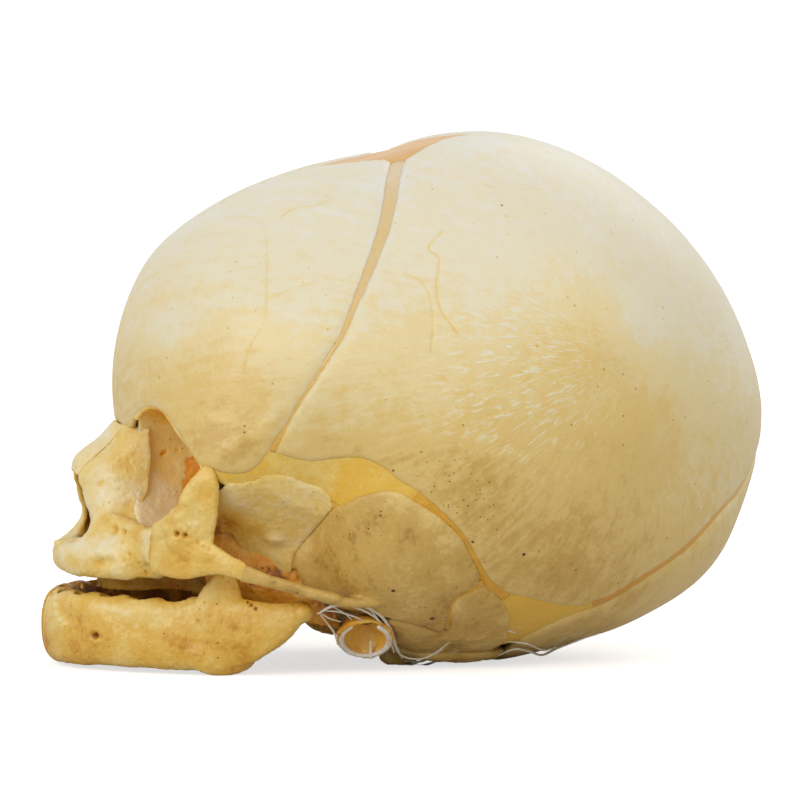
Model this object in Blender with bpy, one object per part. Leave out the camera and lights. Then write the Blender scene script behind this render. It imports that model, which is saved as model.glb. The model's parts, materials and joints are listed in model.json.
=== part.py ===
"""Fetal skull near term, bone by bone, in metres.

The face looks along -X, the skull's left side is -Y and +Z is up. The skull stands on the plane
Z = 0, as on a table. Every place is a share of three reference lengths, one for each axis, and
the outer surface of the braincase is one function of direction from the braincase's centre, on
which the flat bones and the membranes between them are laid out by angles in degrees.
"""

import math
from dataclasses import dataclass

import bmesh
import bpy
import numpy as np
from mathutils import Matrix, Vector
from mathutils.geometry import delaunay_2d_cdt

MM = 0.001

# Reference lengths that the shares of places follow: front to back, side to side, upwards
ALONG = 100.0 * MM
ACROSS = 100.0 * MM
UPWARD = 100.0 * MM

# Walls of the flat bones
FRONTAL_WALL = 1.6 * MM
PARIETAL_WALL = 1.5 * MM
OCCIPITAL_WALL = 1.9 * MM
TEMPORAL_WALL = 1.7 * MM
MASTOID_WALL = 2.4 * MM
WING_WALL = 1.7 * MM
ORBIT_WALL = 1.1 * MM

# Dried membranes
MEMBRANE_WALL = 0.7 * MM
MEMBRANE_SINK = 0.35 * MM
FONTANELLE_SINK = 0.9 * MM
SUTURE_GAP = 0.4 * MM

# Half widths of the open sutures
METOPIC_HALF = 1.0 * MM
SAGITTAL_HALF = 1.3 * MM
CORONAL_HALF = 1.0 * MM
LAMBDOID_HALF = 1.0 * MM
SQUAMOSAL_HALF = 0.9 * MM

# Gap between bones that meet at a face, and the thickness of the cartilage between some of them
BONE_GAP = 0.4 * MM
SYMPHYSIS_WIDTH = 1.6 * MM
CARTILAGE_WIDTH = 1.4 * MM

# Mandible
MANDIBLE_DEPTH = 13.2 * MM
MANDIBLE_THICKNESS = 6.6 * MM
CONDYLE_WIDTH = 6.6 * MM
CONDYLE_DEPTH = 4.0 * MM
CRYPT_WIDTH = 3.4 * MM
CRYPT_LENGTH = 4.6 * MM
CRYPT_DEPTH = 4.0 * MM
JAW_PAD_WALL = 0.8 * MM

# Upper face
MAXILLA_DEPTH = 6.2 * MM
MAXILLA_THICKNESS = 5.8 * MM
PALATE_WALL = 1.6 * MM
ZYGOMATIC_DEPTH = 6.6 * MM
ZYGOMATIC_THICKNESS = 2.8 * MM
ARCH_DEPTH = 3.4 * MM
ARCH_THICKNESS = 2.2 * MM
NASAL_WALL = 1.4 * MM
PROCESS_WALL = 1.4 * MM
CHEEK_WALL = 2.4 * MM
SEPTUM_WALL = 1.2 * MM
CONCHA_WIDTH = 4.2 * MM
CONCHA_WALL = 1.2 * MM
ETHMOID_WIDTH = 3.8 * MM
ETHMOID_HEIGHT = 8.6 * MM

# Base
BASILAR_WIDTH = 12.0 * MM
BASILAR_THICKNESS = 4.6 * MM
LATERAL_WIDTH = 8.4 * MM
LATERAL_THICKNESS = 3.2 * MM
SPHENOID_WIDTH = 13.0 * MM
SPHENOID_HEIGHT = 8.4 * MM
PTERYGOID_WIDTH = 5.0 * MM
PTERYGOID_WALL = 1.5 * MM
PETROUS_GIRTH = 9.6 * MM
RING_RADIUS = 4.2 * MM
RING_TUBE = 0.75 * MM

# Fineness of the fused shapes and of the plates
VOXEL = 0.5 * MM
PLATE_SPACING = 8.0 * MM

# Surface of the braincase
CENTRE_SHARE = (0.055, 0.0, 0.44)
HALF_BREADTH_SHARE = 0.41
# The whole braincase is this much broader than its radius function alone
BROAD_SHARE = 1.07
# Radius in the midline every 15 degrees, from the forehead over the crown and round below
MIDLINE_SHARES = (
    0.560, 0.569, 0.565, 0.529, 0.494, 0.474, 0.488, 0.508,
    0.520, 0.530, 0.546, 0.565, 0.584, 0.578, 0.568, 0.522,
    0.478, 0.456, 0.448, 0.450, 0.460, 0.480, 0.510, 0.540,
)  # fmt: skip
# Swellings and hollows: degrees round from the front, degrees up, reach in degrees, height share
SWELLING_SHARES = (
    (125, 18, 34, 0.042),
    (30, 16, 20, 0.020),
    (56, -12, 16, -0.030),
    (33, -9, 11, 0.050),
    (66, -33, 17, 0.025),
    (42, -26, 13, -0.060),
)

# Lines on that surface, each in degrees round from the front and degrees up
CORONAL_DEGREES = (
    (53.5, 74.7), (59.5, 67.7), (64, 57), (64.5, 48), (63, 38), (61.3, 30), (59.4, 22.4), (57, 17.5),
    (54.5, 12.7), (51, 7), (48.2, 2.2), (46.5, -0.8), (44.4, -4.6),
)  # fmt: skip
CORONAL_WIDTH_SHARES = (1.35, 1.25, 1.15, 1.05, 1.0, 1.0, 0.95, 0.9, 0.8, 0.75, 0.7, 0.7, 0.7)
LAMBDOID_DEGREES = (
    (176, -6), (170, -10), (165, -14), (160.5, -16.5), (156.4, -20), (152, -25), (148, -29.5), (144.5, -34.5),
    (141.5, -40), (138, -43.5),
)  # fmt: skip
LAMBDOID_WIDTH_SHARES = (1.3, 1.1, 1.0, 1.0, 1.0, 1.0, 1.0, 1.0, 1.1, 1.2)
SQUAMOSAL_DEGREES = (
    (77, -15.3), (81, -18), (84.5, -20.8), (88, -24.2), (91.5, -28.6), (94.5, -33.4), (98, -38.4), (103, -42.4),
    (107.5, -44.4),
)  # fmt: skip
SQUAMOSAL_WIDTH_SHARES = (1.2, 1.0, 0.9, 0.9, 0.9, 1.0, 1.1, 1.2, 1.3)
METOPIC_DEGREES = (-1.6, 10, 25, 40, 55, 66)
METOPIC_WIDTH_SHARES = (0.45, 0.5, 0.6, 0.9, 1.3, 1.8)
SAGITTAL_DEGREES = (98, 110, 125, 140, 155, 168, 178)
SAGITTAL_WIDTH_SHARES = (1.5, 1.15, 1.0, 0.95, 0.9, 1.0, 1.3)
FRONTAL_CROWN_EDGE_DEGREES = ((13, 69.5), (24, 73), (40, 75.2))
PARIETAL_CROWN_EDGE_DEGREES = ((72, 80.5), (100, 84.2), (135, 84.5))
FRONTAL_TEMPLE_EDGE_DEGREES = ((42, -7.2), (39.5, -8.7), (36.8, -8.5), (34.6, -7.4))
FRONTAL_ORBIT_EDGE_DEGREES = (
    (32.6, -6.8), (30.5, -4.4), (28, -2.2), (25, 0), (22, 2.2), (18, 3.2), (13.5, 2.2), (10.6, 0.6),
)  # fmt: skip
FRONTAL_NASAL_EDGE_DEGREES = ((8.6, -1.4), (4.5, -1.7))
PARIETAL_TEMPLE_EDGE_DEGREES = (
    (73.5, -11.8), (70, -9), (67, -7.5), (63, -6.4), (57, -6.8), (51.5, -7.3), (48, -6.3),
)  # fmt: skip
PARIETAL_MASTOID_EDGE_DEGREES = ((136, -44.2), (128, -45.2), (119, -44.7), (111.5, -43.6))
SQUAMA_MASTOID_EDGE_DEGREES = ((136, -47.4), (132, -51.6), (128.5, -57), (127, -61))
SQUAMA_BASE_EDGE_DEGREES = (
    (131, -66), (138, -70.5), (148, -74), (163, -76.5),
)  # fmt: skip
TEMPORAL_TOP_EDGE_DEGREES = (
    (74.6, -15.2), (70.5, -14.6), (65.5, -15.6), (61, -17.2), (57.8, -19),
)  # fmt: skip
TEMPORAL_FRONT_EDGE_DEGREES = (
    (55.6, -20.2), (51.7, -23.4), (47.1, -27.3), (42.6, -30.4), (39.5, -33.0), (38.2, -35.3),
)  # fmt: skip
TEMPORAL_BASE_EDGE_DEGREES = (
    (38.8, -37.5), (42, -43), (48, -45.8), (55, -47), (62, -48.5), (70, -51.5), (79, -55), (86.5, -57.8),
)  # fmt: skip
TEMPORAL_REAR_EDGE_DEGREES = ((87.6, -52), (87.6, -46.5), (90.6, -43), (95.4, -40.6))
WING_TOP_EDGE_DEGREES = (
    (36.2, -10.8), (39.8, -11), (43, -9.8), (46, -10.8), (48.8, -13.2), (51.8, -14.4), (54, -16.8),
)  # fmt: skip
WING_REAR_EDGE_DEGREES = (
    (54.4, -19.4), (51, -22.8), (46.8, -26.5), (42.2, -29.8), (39, -32.4), (37.4, -34.6),
)  # fmt: skip
WING_BASE_EDGE_DEGREES = ((36.6, -36.6), (33, -38), (28.6, -37))
WING_FRONT_EDGE_DEGREES = ((26.6, -31), (27.6, -24), (30.3, -17.4), (33.2, -13))
MASTOID_TOP_EDGE_DEGREES = ((90.4, -47.4), (92.6, -44.8), (97, -42.8), (102, -45), (107, -47.2))
MASTOID_REAR_EDGE_DEGREES = ((110.8, -50), (114.4, -54.5), (118, -59.5), (120.5, -64))
MASTOID_BASE_EDGE_DEGREES = ((116, -68), (107, -68.5), (98, -67), (92, -63.5))
MASTOID_FRONT_EDGE_DEGREES = ((90.4, -59), (90.2, -53))
FRONTAL_HEART_DEGREES = (28, 24)
PARIETAL_HEART_DEGREES = (118, 16)
OCCIPITAL_HEART_DEGREES = (180, -38)
TEMPORAL_HEART_DEGREES = (70, -33)
WING_HEART_DEGREES = (40, -24)
MASTOID_HEART_DEGREES = (104, -56)
BACK_OF_OPENING_DEGREES = 258.5
LAMBDA_DEGREES = 186.5

# Rim of the orbit below the frontal bone, from the outer side down and round to the nose
ORBIT_RIM_SHARES = (
    (-0.404, -0.307, 0.372),
    (-0.416, -0.306, 0.342),
    (-0.434, -0.298, 0.312),
    (-0.451, -0.270, 0.276),
    (-0.472, -0.215, 0.256),
    (-0.488, -0.145, 0.256),
    (-0.492, -0.108, 0.288),
    (-0.486, -0.092, 0.335),
    (-0.484, -0.086, 0.390),
)
ORBIT_CORNER_SHARE = (-0.489, -0.090, 0.419)
ORBIT_APEX_SHARE = (-0.225, -0.085, 0.325)

# Strokes: along, across, up, half of the broad way and half of the thin way. The palate's broad
# way is a share of ACROSS, and every other one of the stroke's own named sizes. The first two
# numbers are the powers of a full and of a flat section
FULL_SHARE = 0.85
FLAT_SHARE = 0.72
MANDIBLE_BODY_SHARES = (
    (-0.607, -0.004, 0.070, 0.50, 0.50),
    (-0.588, -0.065, 0.072, 0.505, 0.51),
    (-0.545, -0.123, 0.073, 0.49, 0.51),
    (-0.490, -0.166, 0.072, 0.485, 0.50),
    (-0.435, -0.200, 0.071, 0.48, 0.47),
    (-0.380, -0.226, 0.073, 0.50, 0.39),
    (-0.325, -0.246, 0.076, 0.475, 0.30),
    (-0.282, -0.262, 0.085, 0.37, 0.27),
    (-0.254, -0.271, 0.094, 0.29, 0.26),
    (-0.232, -0.278, 0.107, 0.19, 0.27),
)
CORONOID_SHARES = (
    (-0.360, -0.228, 0.100, 0.33, 0.26),
    (-0.350, -0.236, 0.145, 0.28, 0.22),
    (-0.345, -0.242, 0.174, 0.16, 0.18),
)
SYMPHYSIS_SHARES = (0.90, 0.86)
CONDYLE_SHARE = (-0.213, -0.280, 0.115)
MANDIBLE_ANGLE_SHARE = (-0.350, -0.238, 0.036)
ANGLE_WIDTH_SHARES = (0.46, 0.30, 0.32)
MANDIBLE_CRYPT_SHARES = (
    (-0.597, -0.034, 0.135, 0.72),
    (-0.572, -0.085, 0.139, 0.78),
    (-0.531, -0.131, 0.138, 0.95),
    (-0.480, -0.168, 0.136, 1.10),
    (-0.424, -0.200, 0.135, 1.15),
)
ALVEOLAR_SHARES = (
    (-0.592, -0.012, 0.192, 0.48, 0.48),
    (-0.574, -0.075, 0.193, 0.50, 0.50),
    (-0.535, -0.130, 0.193, 0.50, 0.50),
    (-0.490, -0.160, 0.193, 0.50, 0.50),
    (-0.440, -0.170, 0.197, 0.50, 0.48),
    (-0.408, -0.168, 0.205, 0.44, 0.40),
)
MAXILLA_BODY_SHARES = (
    (-0.535, -0.112, 0.215, 0.44, 0.40),
    (-0.500, -0.135, 0.220, 0.56, 0.52),
    (-0.465, -0.150, 0.222, 0.56, 0.62),
    (-0.425, -0.152, 0.222, 0.50, 0.56),
    (-0.404, -0.150, 0.222, 0.40, 0.42),
)
CHEEK_ROOT_SHARES = (
    (-0.475, -0.150, 0.226, 0.42, 0.46),
    (-0.466, -0.200, 0.222, 0.44, 0.46),
    (-0.455, -0.240, 0.216, 0.46, 0.40),
)
# Panels: rows of places on the outer face, from the top down, each from the nose outwards
PROCESS_PANEL_SHARES = (
    ((-0.501, -0.036, 0.423), (-0.498, -0.052, 0.422), (-0.494, -0.065, 0.421), (-0.489, -0.076, 0.42)),
    ((-0.522, -0.036, 0.398), (-0.513, -0.056, 0.398), (-0.501, -0.07, 0.397), (-0.489, -0.079, 0.396)),
    ((-0.546, -0.036, 0.376), (-0.532, -0.06, 0.376), (-0.512, -0.075, 0.375), (-0.489, -0.081, 0.374)),
    ((-0.567, -0.036, 0.356), (-0.549, -0.062, 0.355), (-0.521, -0.079, 0.354), (-0.489, -0.083, 0.353)),
    ((-0.58, -0.035, 0.335), (-0.564, -0.056, 0.335), (-0.534, -0.078, 0.334), (-0.49, -0.085, 0.333)),
    ((-0.575, -0.039, 0.315), (-0.559, -0.062, 0.314), (-0.532, -0.083, 0.313), (-0.491, -0.089, 0.312)),
    ((-0.569, -0.044, 0.293), (-0.554, -0.069, 0.292), (-0.53, -0.09, 0.291), (-0.493, -0.099, 0.29)),
    ((-0.562, -0.047, 0.272), (-0.552, -0.076, 0.27), (-0.531, -0.099, 0.269), (-0.497, -0.114, 0.268)),
    ((-0.56, -0.048, 0.249), (-0.564, -0.082, 0.247), (-0.546, -0.116, 0.246), (-0.514, -0.144, 0.245)),
    ((-0.576, -0.046, 0.226), (-0.582, -0.086, 0.224), (-0.56, -0.126, 0.223), (-0.53, -0.156, 0.223)),
    ((-0.6, -0.04, 0.202), (-0.598, -0.086, 0.2), (-0.576, -0.124, 0.2), (-0.546, -0.156, 0.2)),
)
CHEEK_PANEL_SHARES = (
    ((-0.522, -0.116, 0.256), (-0.5, -0.15, 0.249), (-0.486, -0.188, 0.247), (-0.472, -0.225, 0.246)),
    ((-0.542, -0.126, 0.236), (-0.519, -0.159, 0.233), (-0.496, -0.192, 0.229), (-0.475, -0.229, 0.226)),
    ((-0.564, -0.132, 0.212), (-0.532, -0.168, 0.211), (-0.499, -0.196, 0.209), (-0.468, -0.224, 0.208)),
    ((-0.569, -0.132, 0.192), (-0.534, -0.169, 0.192), (-0.496, -0.193, 0.192), (-0.46, -0.206, 0.194)),
)
NASAL_PANEL_SHARES = (
    ((-0.504, 0.006, 0.427), (-0.504, -0.021, 0.426), (-0.499, -0.044, 0.423)),
    ((-0.536, 0.006, 0.404), (-0.532, -0.02, 0.402), (-0.52, -0.044, 0.397)),
    ((-0.562, 0.006, 0.385), (-0.558, -0.02, 0.382), (-0.544, -0.044, 0.375)),
    ((-0.582, 0.006, 0.367), (-0.578, -0.019, 0.363), (-0.565, -0.042, 0.355)),
    ((-0.586, 0.006, 0.346), (-0.584, -0.018, 0.342), (-0.578, -0.034, 0.338)),
)
FACE_HEART_SHARE = (-0.30, 0.0, 0.28)
# More strokes
MAXILLA_RIM_SHARES = (
    (-0.525, -0.108, 0.262, 0.30, 0.30),
    (-0.498, -0.145, 0.246, 0.32, 0.32),
    (-0.478, -0.195, 0.240, 0.32, 0.32),
    (-0.455, -0.250, 0.246, 0.32, 0.32),
)
NASAL_SILL_SHARES = (
    (-0.586, -0.010, 0.205, 0.36, 0.20),
    (-0.566, -0.045, 0.214, 0.30, 0.22),
    (-0.545, -0.080, 0.225, 0.30, 0.24),
    (-0.526, -0.100, 0.245, 0.36, 0.24),
)
NASAL_SPINE_SHARES = (
    (-0.575, -0.006, 0.205, 0.34, 0.22),
    (-0.613, -0.005, 0.2165, 0.11, 0.11),
)
PALATE_SHARES = (
    (-0.565, -0.040, 0.212, 0.038, 0.50),
    (-0.520, -0.070, 0.206, 0.064, 0.50),
    (-0.460, -0.070, 0.205, 0.070, 0.48),
    (-0.398, -0.070, 0.205, 0.070, 0.48),
)
MAXILLA_CRYPT_SHARES = (
    (-0.583, -0.036, 0.163, 0.72),
    (-0.560, -0.085, 0.163, 0.78),
    (-0.523, -0.132, 0.163, 0.95),
    (-0.478, -0.161, 0.164, 1.10),
    (-0.428, -0.172, 0.168, 1.10),
)
ZYGOMATIC_BODY_SHARES = (
    (-0.474, -0.205, 0.220, 0.56, 0.60),
    (-0.450, -0.250, 0.220, 0.66, 0.60),
    (-0.420, -0.285, 0.218, 0.66, 0.52),
    (-0.385, -0.312, 0.212, 0.52, 0.46),
    (-0.350, -0.332, 0.202, 0.34, 0.42),
    (-0.310, -0.340, 0.190, 0.26, 0.40),
)
ZYGOMATIC_RISE_SHARES = (
    (-0.415, -0.288, 0.225, 0.62, 0.48),
    (-0.406, -0.302, 0.270, 0.56, 0.48),
    (-0.400, -0.311, 0.310, 0.53, 0.46),
    (-0.391, -0.314, 0.338, 0.42, 0.48),
    (-0.385, -0.312, 0.358, 0.24, 0.46),
)
INFRAORBITAL_SHARES = (
    (-0.430, -0.292, 0.288, 0.27, 0.52),
    (-0.452, -0.256, 0.260, 0.30, 0.54),
    (-0.478, -0.205, 0.246, 0.30, 0.54),
)
ARCH_SHARES = (
    (-0.315, -0.340, 0.190, 0.42, 0.50),
    (-0.285, -0.342, 0.178, 0.46, 0.50),
    (-0.245, -0.336, 0.167, 0.50, 0.62),
    (-0.200, -0.322, 0.163, 0.52, 1.00),
    (-0.165, -0.298, 0.166, 0.60, 1.30),
)
ARCH_TAIL_SHARES = (
    (-0.200, -0.322, 0.160, 0.42, 0.60),
    (-0.150, -0.326, 0.146, 0.34, 0.50),
    (-0.105, -0.312, 0.138, 0.42, 0.80),
)
CONCHA_SHARES = (
    (-0.510, -0.046, 0.262, 0.40, 0.50),
    (-0.450, -0.044, 0.262, 0.50, 0.50),
    (-0.390, -0.044, 0.258, 0.40, 0.50),
)
ETHMOID_SHARES = (
    (-0.404, -0.040, 0.345, 0.44, 0.48),
    (-0.375, -0.042, 0.343, 0.50, 0.54),
    (-0.345, -0.044, 0.338, 0.44, 0.52),
)
PALATINE_FLOOR_SHARES = (
    (-0.390, -0.052, 0.205, 0.052, 0.48),
    (-0.345, -0.050, 0.205, 0.050, 0.48),
)
PALATINE_WALL_SHARES = (
    (-0.362, -0.104, 0.205, 1.3, 0.60),
    (-0.358, -0.100, 0.240, 1.2, 0.46),
    (-0.356, -0.094, 0.270, 1.0, 0.46),
)
SPHENOID_BODY_SHARES = (
    (-0.176, 0.0, 0.205, 0.46, 0.42),
    (-0.220, 0.0, 0.242, 0.46, 0.44),
    (-0.262, 0.0, 0.268, 0.42, 0.44),
    (-0.290, 0.0, 0.284, 0.34, 0.40),
)
LESSER_WING_SHARES = (
    (-0.240, -0.010, 0.305, 0.40, 0.14),
    (-0.245, -0.060, 0.335, 0.34, 0.13),
    (-0.255, -0.115, 0.370, 0.26, 0.11),
    (-0.270, -0.165, 0.395, 0.18, 0.10),
)
SELLA_BACK_SHARES = (
    (-0.170, -0.045, 0.262, 0.20, 0.12),
    (-0.170, 0.045, 0.262, 0.20, 0.12),
)
WING_ROOT_SHARES = (
    (-0.225, -0.090, 0.232, 1.20, 1.50),
    (-0.232, -0.140, 0.230, 1.30, 1.20),
    (-0.240, -0.190, 0.232, 1.40, 1.00),
    (-0.252, -0.238, 0.245, 1.40, 0.90),
)
PTERYGOID_SHARES = (
    (-0.245, -0.105, 0.225, 0.52, 1.10),
    (-0.290, -0.094, 0.185, 0.50, 0.90),
    (-0.312, -0.090, 0.140, 0.42, 0.56),
)
PTERYGOID_OUTER_SHARES = (
    (-0.250, -0.130, 0.225, 0.52, 1.00),
    (-0.285, -0.130, 0.190, 0.52, 0.66),
    (-0.300, -0.140, 0.152, 0.48, 0.50),
)
PETROUS_SHARES = (
    (0.105, -0.215, 0.085, 0.40, 0.36),
    (0.040, -0.205, 0.108, 0.46, 0.42),
    (-0.020, -0.182, 0.122, 0.48, 0.44),
    (-0.080, -0.142, 0.140, 0.42, 0.40),
    (-0.128, -0.104, 0.168, 0.25, 0.24),
)
PROMONTORY_SHARE = (-0.070, -0.178, 0.080)
PROMONTORY_WIDTH_SHARES = (0.62, 0.34, 0.50)
BASILAR_SHARES = (
    (-0.072, 0.0, 0.072, 0.40, 0.42),
    (-0.105, 0.0, 0.105, 0.48, 0.50),
    (-0.140, 0.0, 0.150, 0.48, 0.54),
    (-0.165, 0.0, 0.182, 0.48, 0.54),
)
CLIVUS_CARTILAGE_SHARES = (
    (-0.148, 0.0, 0.160, 0.44, 0.46),
    (-0.176, 0.0, 0.200, 0.44, 0.46),
)
LATERAL_SHARES = (
    (-0.062, -0.082, 0.062, 0.34, 0.52),
    (-0.020, -0.112, 0.036, 0.46, 0.52),
    (0.040, -0.128, 0.024, 0.52, 0.50),
    (0.100, -0.125, 0.022, 0.52, 0.50),
    (0.150, -0.110, 0.024, 0.46, 0.46),
)
JUGULAR_SHARES = (
    (0.060, -0.140, 0.026, 0.46, 0.42),
    (0.066, -0.166, 0.038, 0.34, 0.38),
)
JAW_PAD_SHARE = 0.42
OCCIPITAL_CONDYLE_SHARE = (-0.015, -0.095, 0.0165)
CONDYLE_WIDTH_SHARES = (0.46, 0.27, 0.26)
RING_SHARE = (-0.097, -0.250, 0.060)
# Up the ring's own plane from there to the edge of the squama that the ring hangs from
RING_HANG_SHARE = 0.042
RING_FACING = (-0.10, -0.72, -0.69)
RING_OPEN_DEGREES = 70

# Faces along which bones are trimmed: a place and the direction that the face looks
CHEEK_SEAM_SHARE = (-0.462, -0.232, 0.225)
CHEEK_SEAM_FACING = (0.42, -0.86, -0.12)
ARCH_SEAM_SHARE = (-0.325, -0.335, 0.190)
ARCH_SEAM_FACING = (0.98, 0.0, -0.20)
NASAL_TOP_SHARE = (-0.505, -0.040, 0.4225)
NASAL_TOP_FACING = (-0.12, 0.0, 0.99)
NASAL_SEAM_SHARE = (-0.530, -0.0385, 0.380)
NASAL_SEAM_FACING = (0.12, -0.99, 0.0)
PALATE_SEAM_SHARE = (-0.382, -0.07, 0.205)
CLIVUS_SEAM_SHARE = (-0.160, 0.0, 0.178)
CLIVUS_SEAM_FACING = (-0.66, 0.0, 0.75)

# Vertical sheets in the midline, as outlines of along and up
SEPTUM_SHARES = (
    (-0.535, 0.262), (-0.552, 0.335), (-0.530, 0.372), (-0.470, 0.392), (-0.365, 0.388), (-0.355, 0.325),
    (-0.410, 0.262),
)  # fmt: skip
VOMER_SHARES = (
    (-0.545, 0.222), (-0.545, 0.250), (-0.400, 0.250), (-0.350, 0.300), (-0.340, 0.285), (-0.352, 0.222),
)  # fmt: skip


def place(share):
    """A share of the three reference lengths as a point in metres."""
    return np.asarray(share, float) * (ALONG, ACROSS, UPWARD)


def aim(degrees):
    """Unit direction on the left side, from degrees round from the front and degrees up."""
    turn, lift = np.radians(np.asarray(degrees, float)).T
    flat = np.cos(lift)
    return np.stack([-flat * np.cos(turn), -flat * np.sin(turn), np.sin(lift)], axis=-1)


def midline(angles, halves=None):
    """Directions along the midline, each moved to the left by its half width in metres."""
    angles = np.radians(np.asarray(angles, float))
    found = np.stack([-np.cos(angles), np.zeros_like(angles), np.sin(angles)], axis=-1)
    if halves is not None:
        found[:, 1] = -np.asarray(halves) / (ACROSS * radius(found))
    return unit(found)


def unit(vectors):
    """Each vector at length one."""
    vectors = np.asarray(vectors, float)
    return vectors / np.linalg.norm(vectors, axis=-1, keepdims=True)


def curve_through(points, count):
    """Evenly spaced points on a smooth curve through the given ones."""
    points = np.asarray(points, float)
    if len(points) < 3:
        return np.array([points[0] + (points[-1] - points[0]) * t for t in np.linspace(0, 1, count)])
    padded = np.vstack([2 * points[0] - points[1], points, 2 * points[-1] - points[-2]])
    fine = []
    for i in range(len(points) - 1):
        a, b, c, d = padded[i : i + 4]
        for t in np.linspace(0, 1, 12, endpoint=i == len(points) - 2):
            bend = (2 * a - 5 * b + 4 * c - d) * t**2 + (3 * b - a - 3 * c + d) * t**3
            fine.append(0.5 * (2 * b + (c - a) * t + bend))
    fine = np.array(fine)
    run = np.concatenate([[0], np.cumsum(np.linalg.norm(np.diff(fine[:, :3], axis=0), axis=1))])
    steps = np.linspace(0, run[-1], count)
    return np.stack([np.interp(steps, run, column) for column in fine.T], axis=-1)


def radius(directions):
    """Radius share of the braincase in each unit direction."""
    directions = np.asarray(directions, float)
    turn = np.degrees(np.arctan2(directions[..., 2], -directions[..., 0])) % 360
    shares = np.array(MIDLINE_SHARES)
    spacing = 360 / len(shares)
    slot = np.floor(turn / spacing).astype(int) % len(shares)
    t = turn / spacing - np.floor(turn / spacing)
    a, b, c, d = (shares[(slot + step) % len(shares)] for step in (-1, 0, 1, 2))
    bend = (2 * a - 5 * b + 4 * c - d) * t**2 + (3 * b - a - 3 * c + d) * t**3
    middle = 0.5 * (2 * b + (c - a) * t + bend)
    side = np.abs(directions[..., 1])
    found = 1 / np.sqrt((1 - side**2) / middle**2 + (side / HALF_BREADTH_SHARE) ** 2)
    folded = directions.copy()
    folded[..., 1] = -side
    for turned, lifted, reach, height in SWELLING_SHARES:
        off = np.degrees(np.arccos(np.clip(folded @ aim((turned, lifted)), -1, 1)))
        found = found + height * np.exp(-((off / reach) ** 2))
    return found


def on_vault(directions, depth=0.0):
    """Points of the braincase's surface, or as far below it as the depth in metres says."""
    directions = np.asarray(directions, float)
    reach = np.array((ALONG, ACROSS * BROAD_SHARE, UPWARD))
    outer = place(CENTRE_SHARE) + directions * radius(directions)[..., None] * reach
    inward = unit(place(CENTRE_SHARE) - outer)
    return outer + inward * np.asarray(depth)[..., None]


def beside(line, halves, side):
    """Directions of a line moved sideways on the surface by half widths in metres."""
    line = unit(line)
    ahead = unit(np.gradient(line, axis=0))
    across = unit(np.cross(ahead, line))
    return unit(line + side * across * (np.asarray(halves) / (ACROSS * radius(line)))[:, None])


class Suture:
    """An open seam between two flat bones: its centre line and half width along it."""

    def __init__(self, line, widths, half, samples):
        table = np.hstack([line, np.asarray(widths, float)[:, None]])
        table = curve_through(table, samples)
        self.line = unit(table[:, :3])
        self.halves = table[:, 3] * half

    def edge(self, side):
        return beside(self.line, self.halves, side)


def smooth_edge(degrees, samples):
    """An edge of a plate through points given in degrees, as directions."""
    return unit(curve_through(aim(degrees), samples))


def new_object(name, points, faces):
    """A mesh object of its own, with its faces pointing out."""
    mesh = bpy.data.meshes.new(name)
    mesh.from_pydata([tuple(p) for p in points], [], faces)
    shape = bmesh.new()
    shape.from_mesh(mesh)
    bmesh.ops.recalc_face_normals(shape, faces=shape.faces)
    shape.to_mesh(mesh)
    shape.free()
    made = bpy.data.objects.new(name, mesh)
    bpy.context.scene.collection.objects.link(made)
    return made


def grid_shell(name, outer, inner):
    """A closed plate between two grids of points of the same size."""
    rows, columns = outer.shape[:2]
    points = np.vstack([outer.reshape(-1, 3), inner.reshape(-1, 3)])
    below = rows * columns

    def at(i, j, layer=0):
        return layer + i * columns + j

    faces = []
    for i in range(rows - 1):
        for j in range(columns - 1):
            faces.append((at(i, j), at(i, j + 1), at(i + 1, j + 1), at(i + 1, j)))
            faces.append((at(i, j, below), at(i + 1, j, below), at(i + 1, j + 1, below), at(i, j + 1, below)))
    rim = [(i, 0) for i in range(rows)] + [(rows - 1, j) for j in range(1, columns)]
    rim += [(i, columns - 1) for i in range(rows - 2, -1, -1)] + [(0, j) for j in range(columns - 2, 0, -1)]
    for (a, b), (c, d) in zip(rim, rim[1:] + rim[:1]):
        faces.append((at(a, b), at(c, d), at(c, d, below), at(a, b, below)))
    return new_object(name, points, faces)


def flat_view(directions, heart):
    """Directions as distances round a heart direction, on a flat plane."""
    level = (0.0, 0.0, 1.0) if abs(heart[2]) < 0.9 else (0.0, 1.0, 0.0)
    side = unit(np.cross(level, heart))
    other = np.cross(heart, side)
    off = np.arccos(np.clip(directions @ heart, -1, 1))
    turn = np.arctan2(directions @ other, directions @ side)
    return np.stack([off * np.cos(turn), off * np.sin(turn)], axis=-1), side, other


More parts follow.
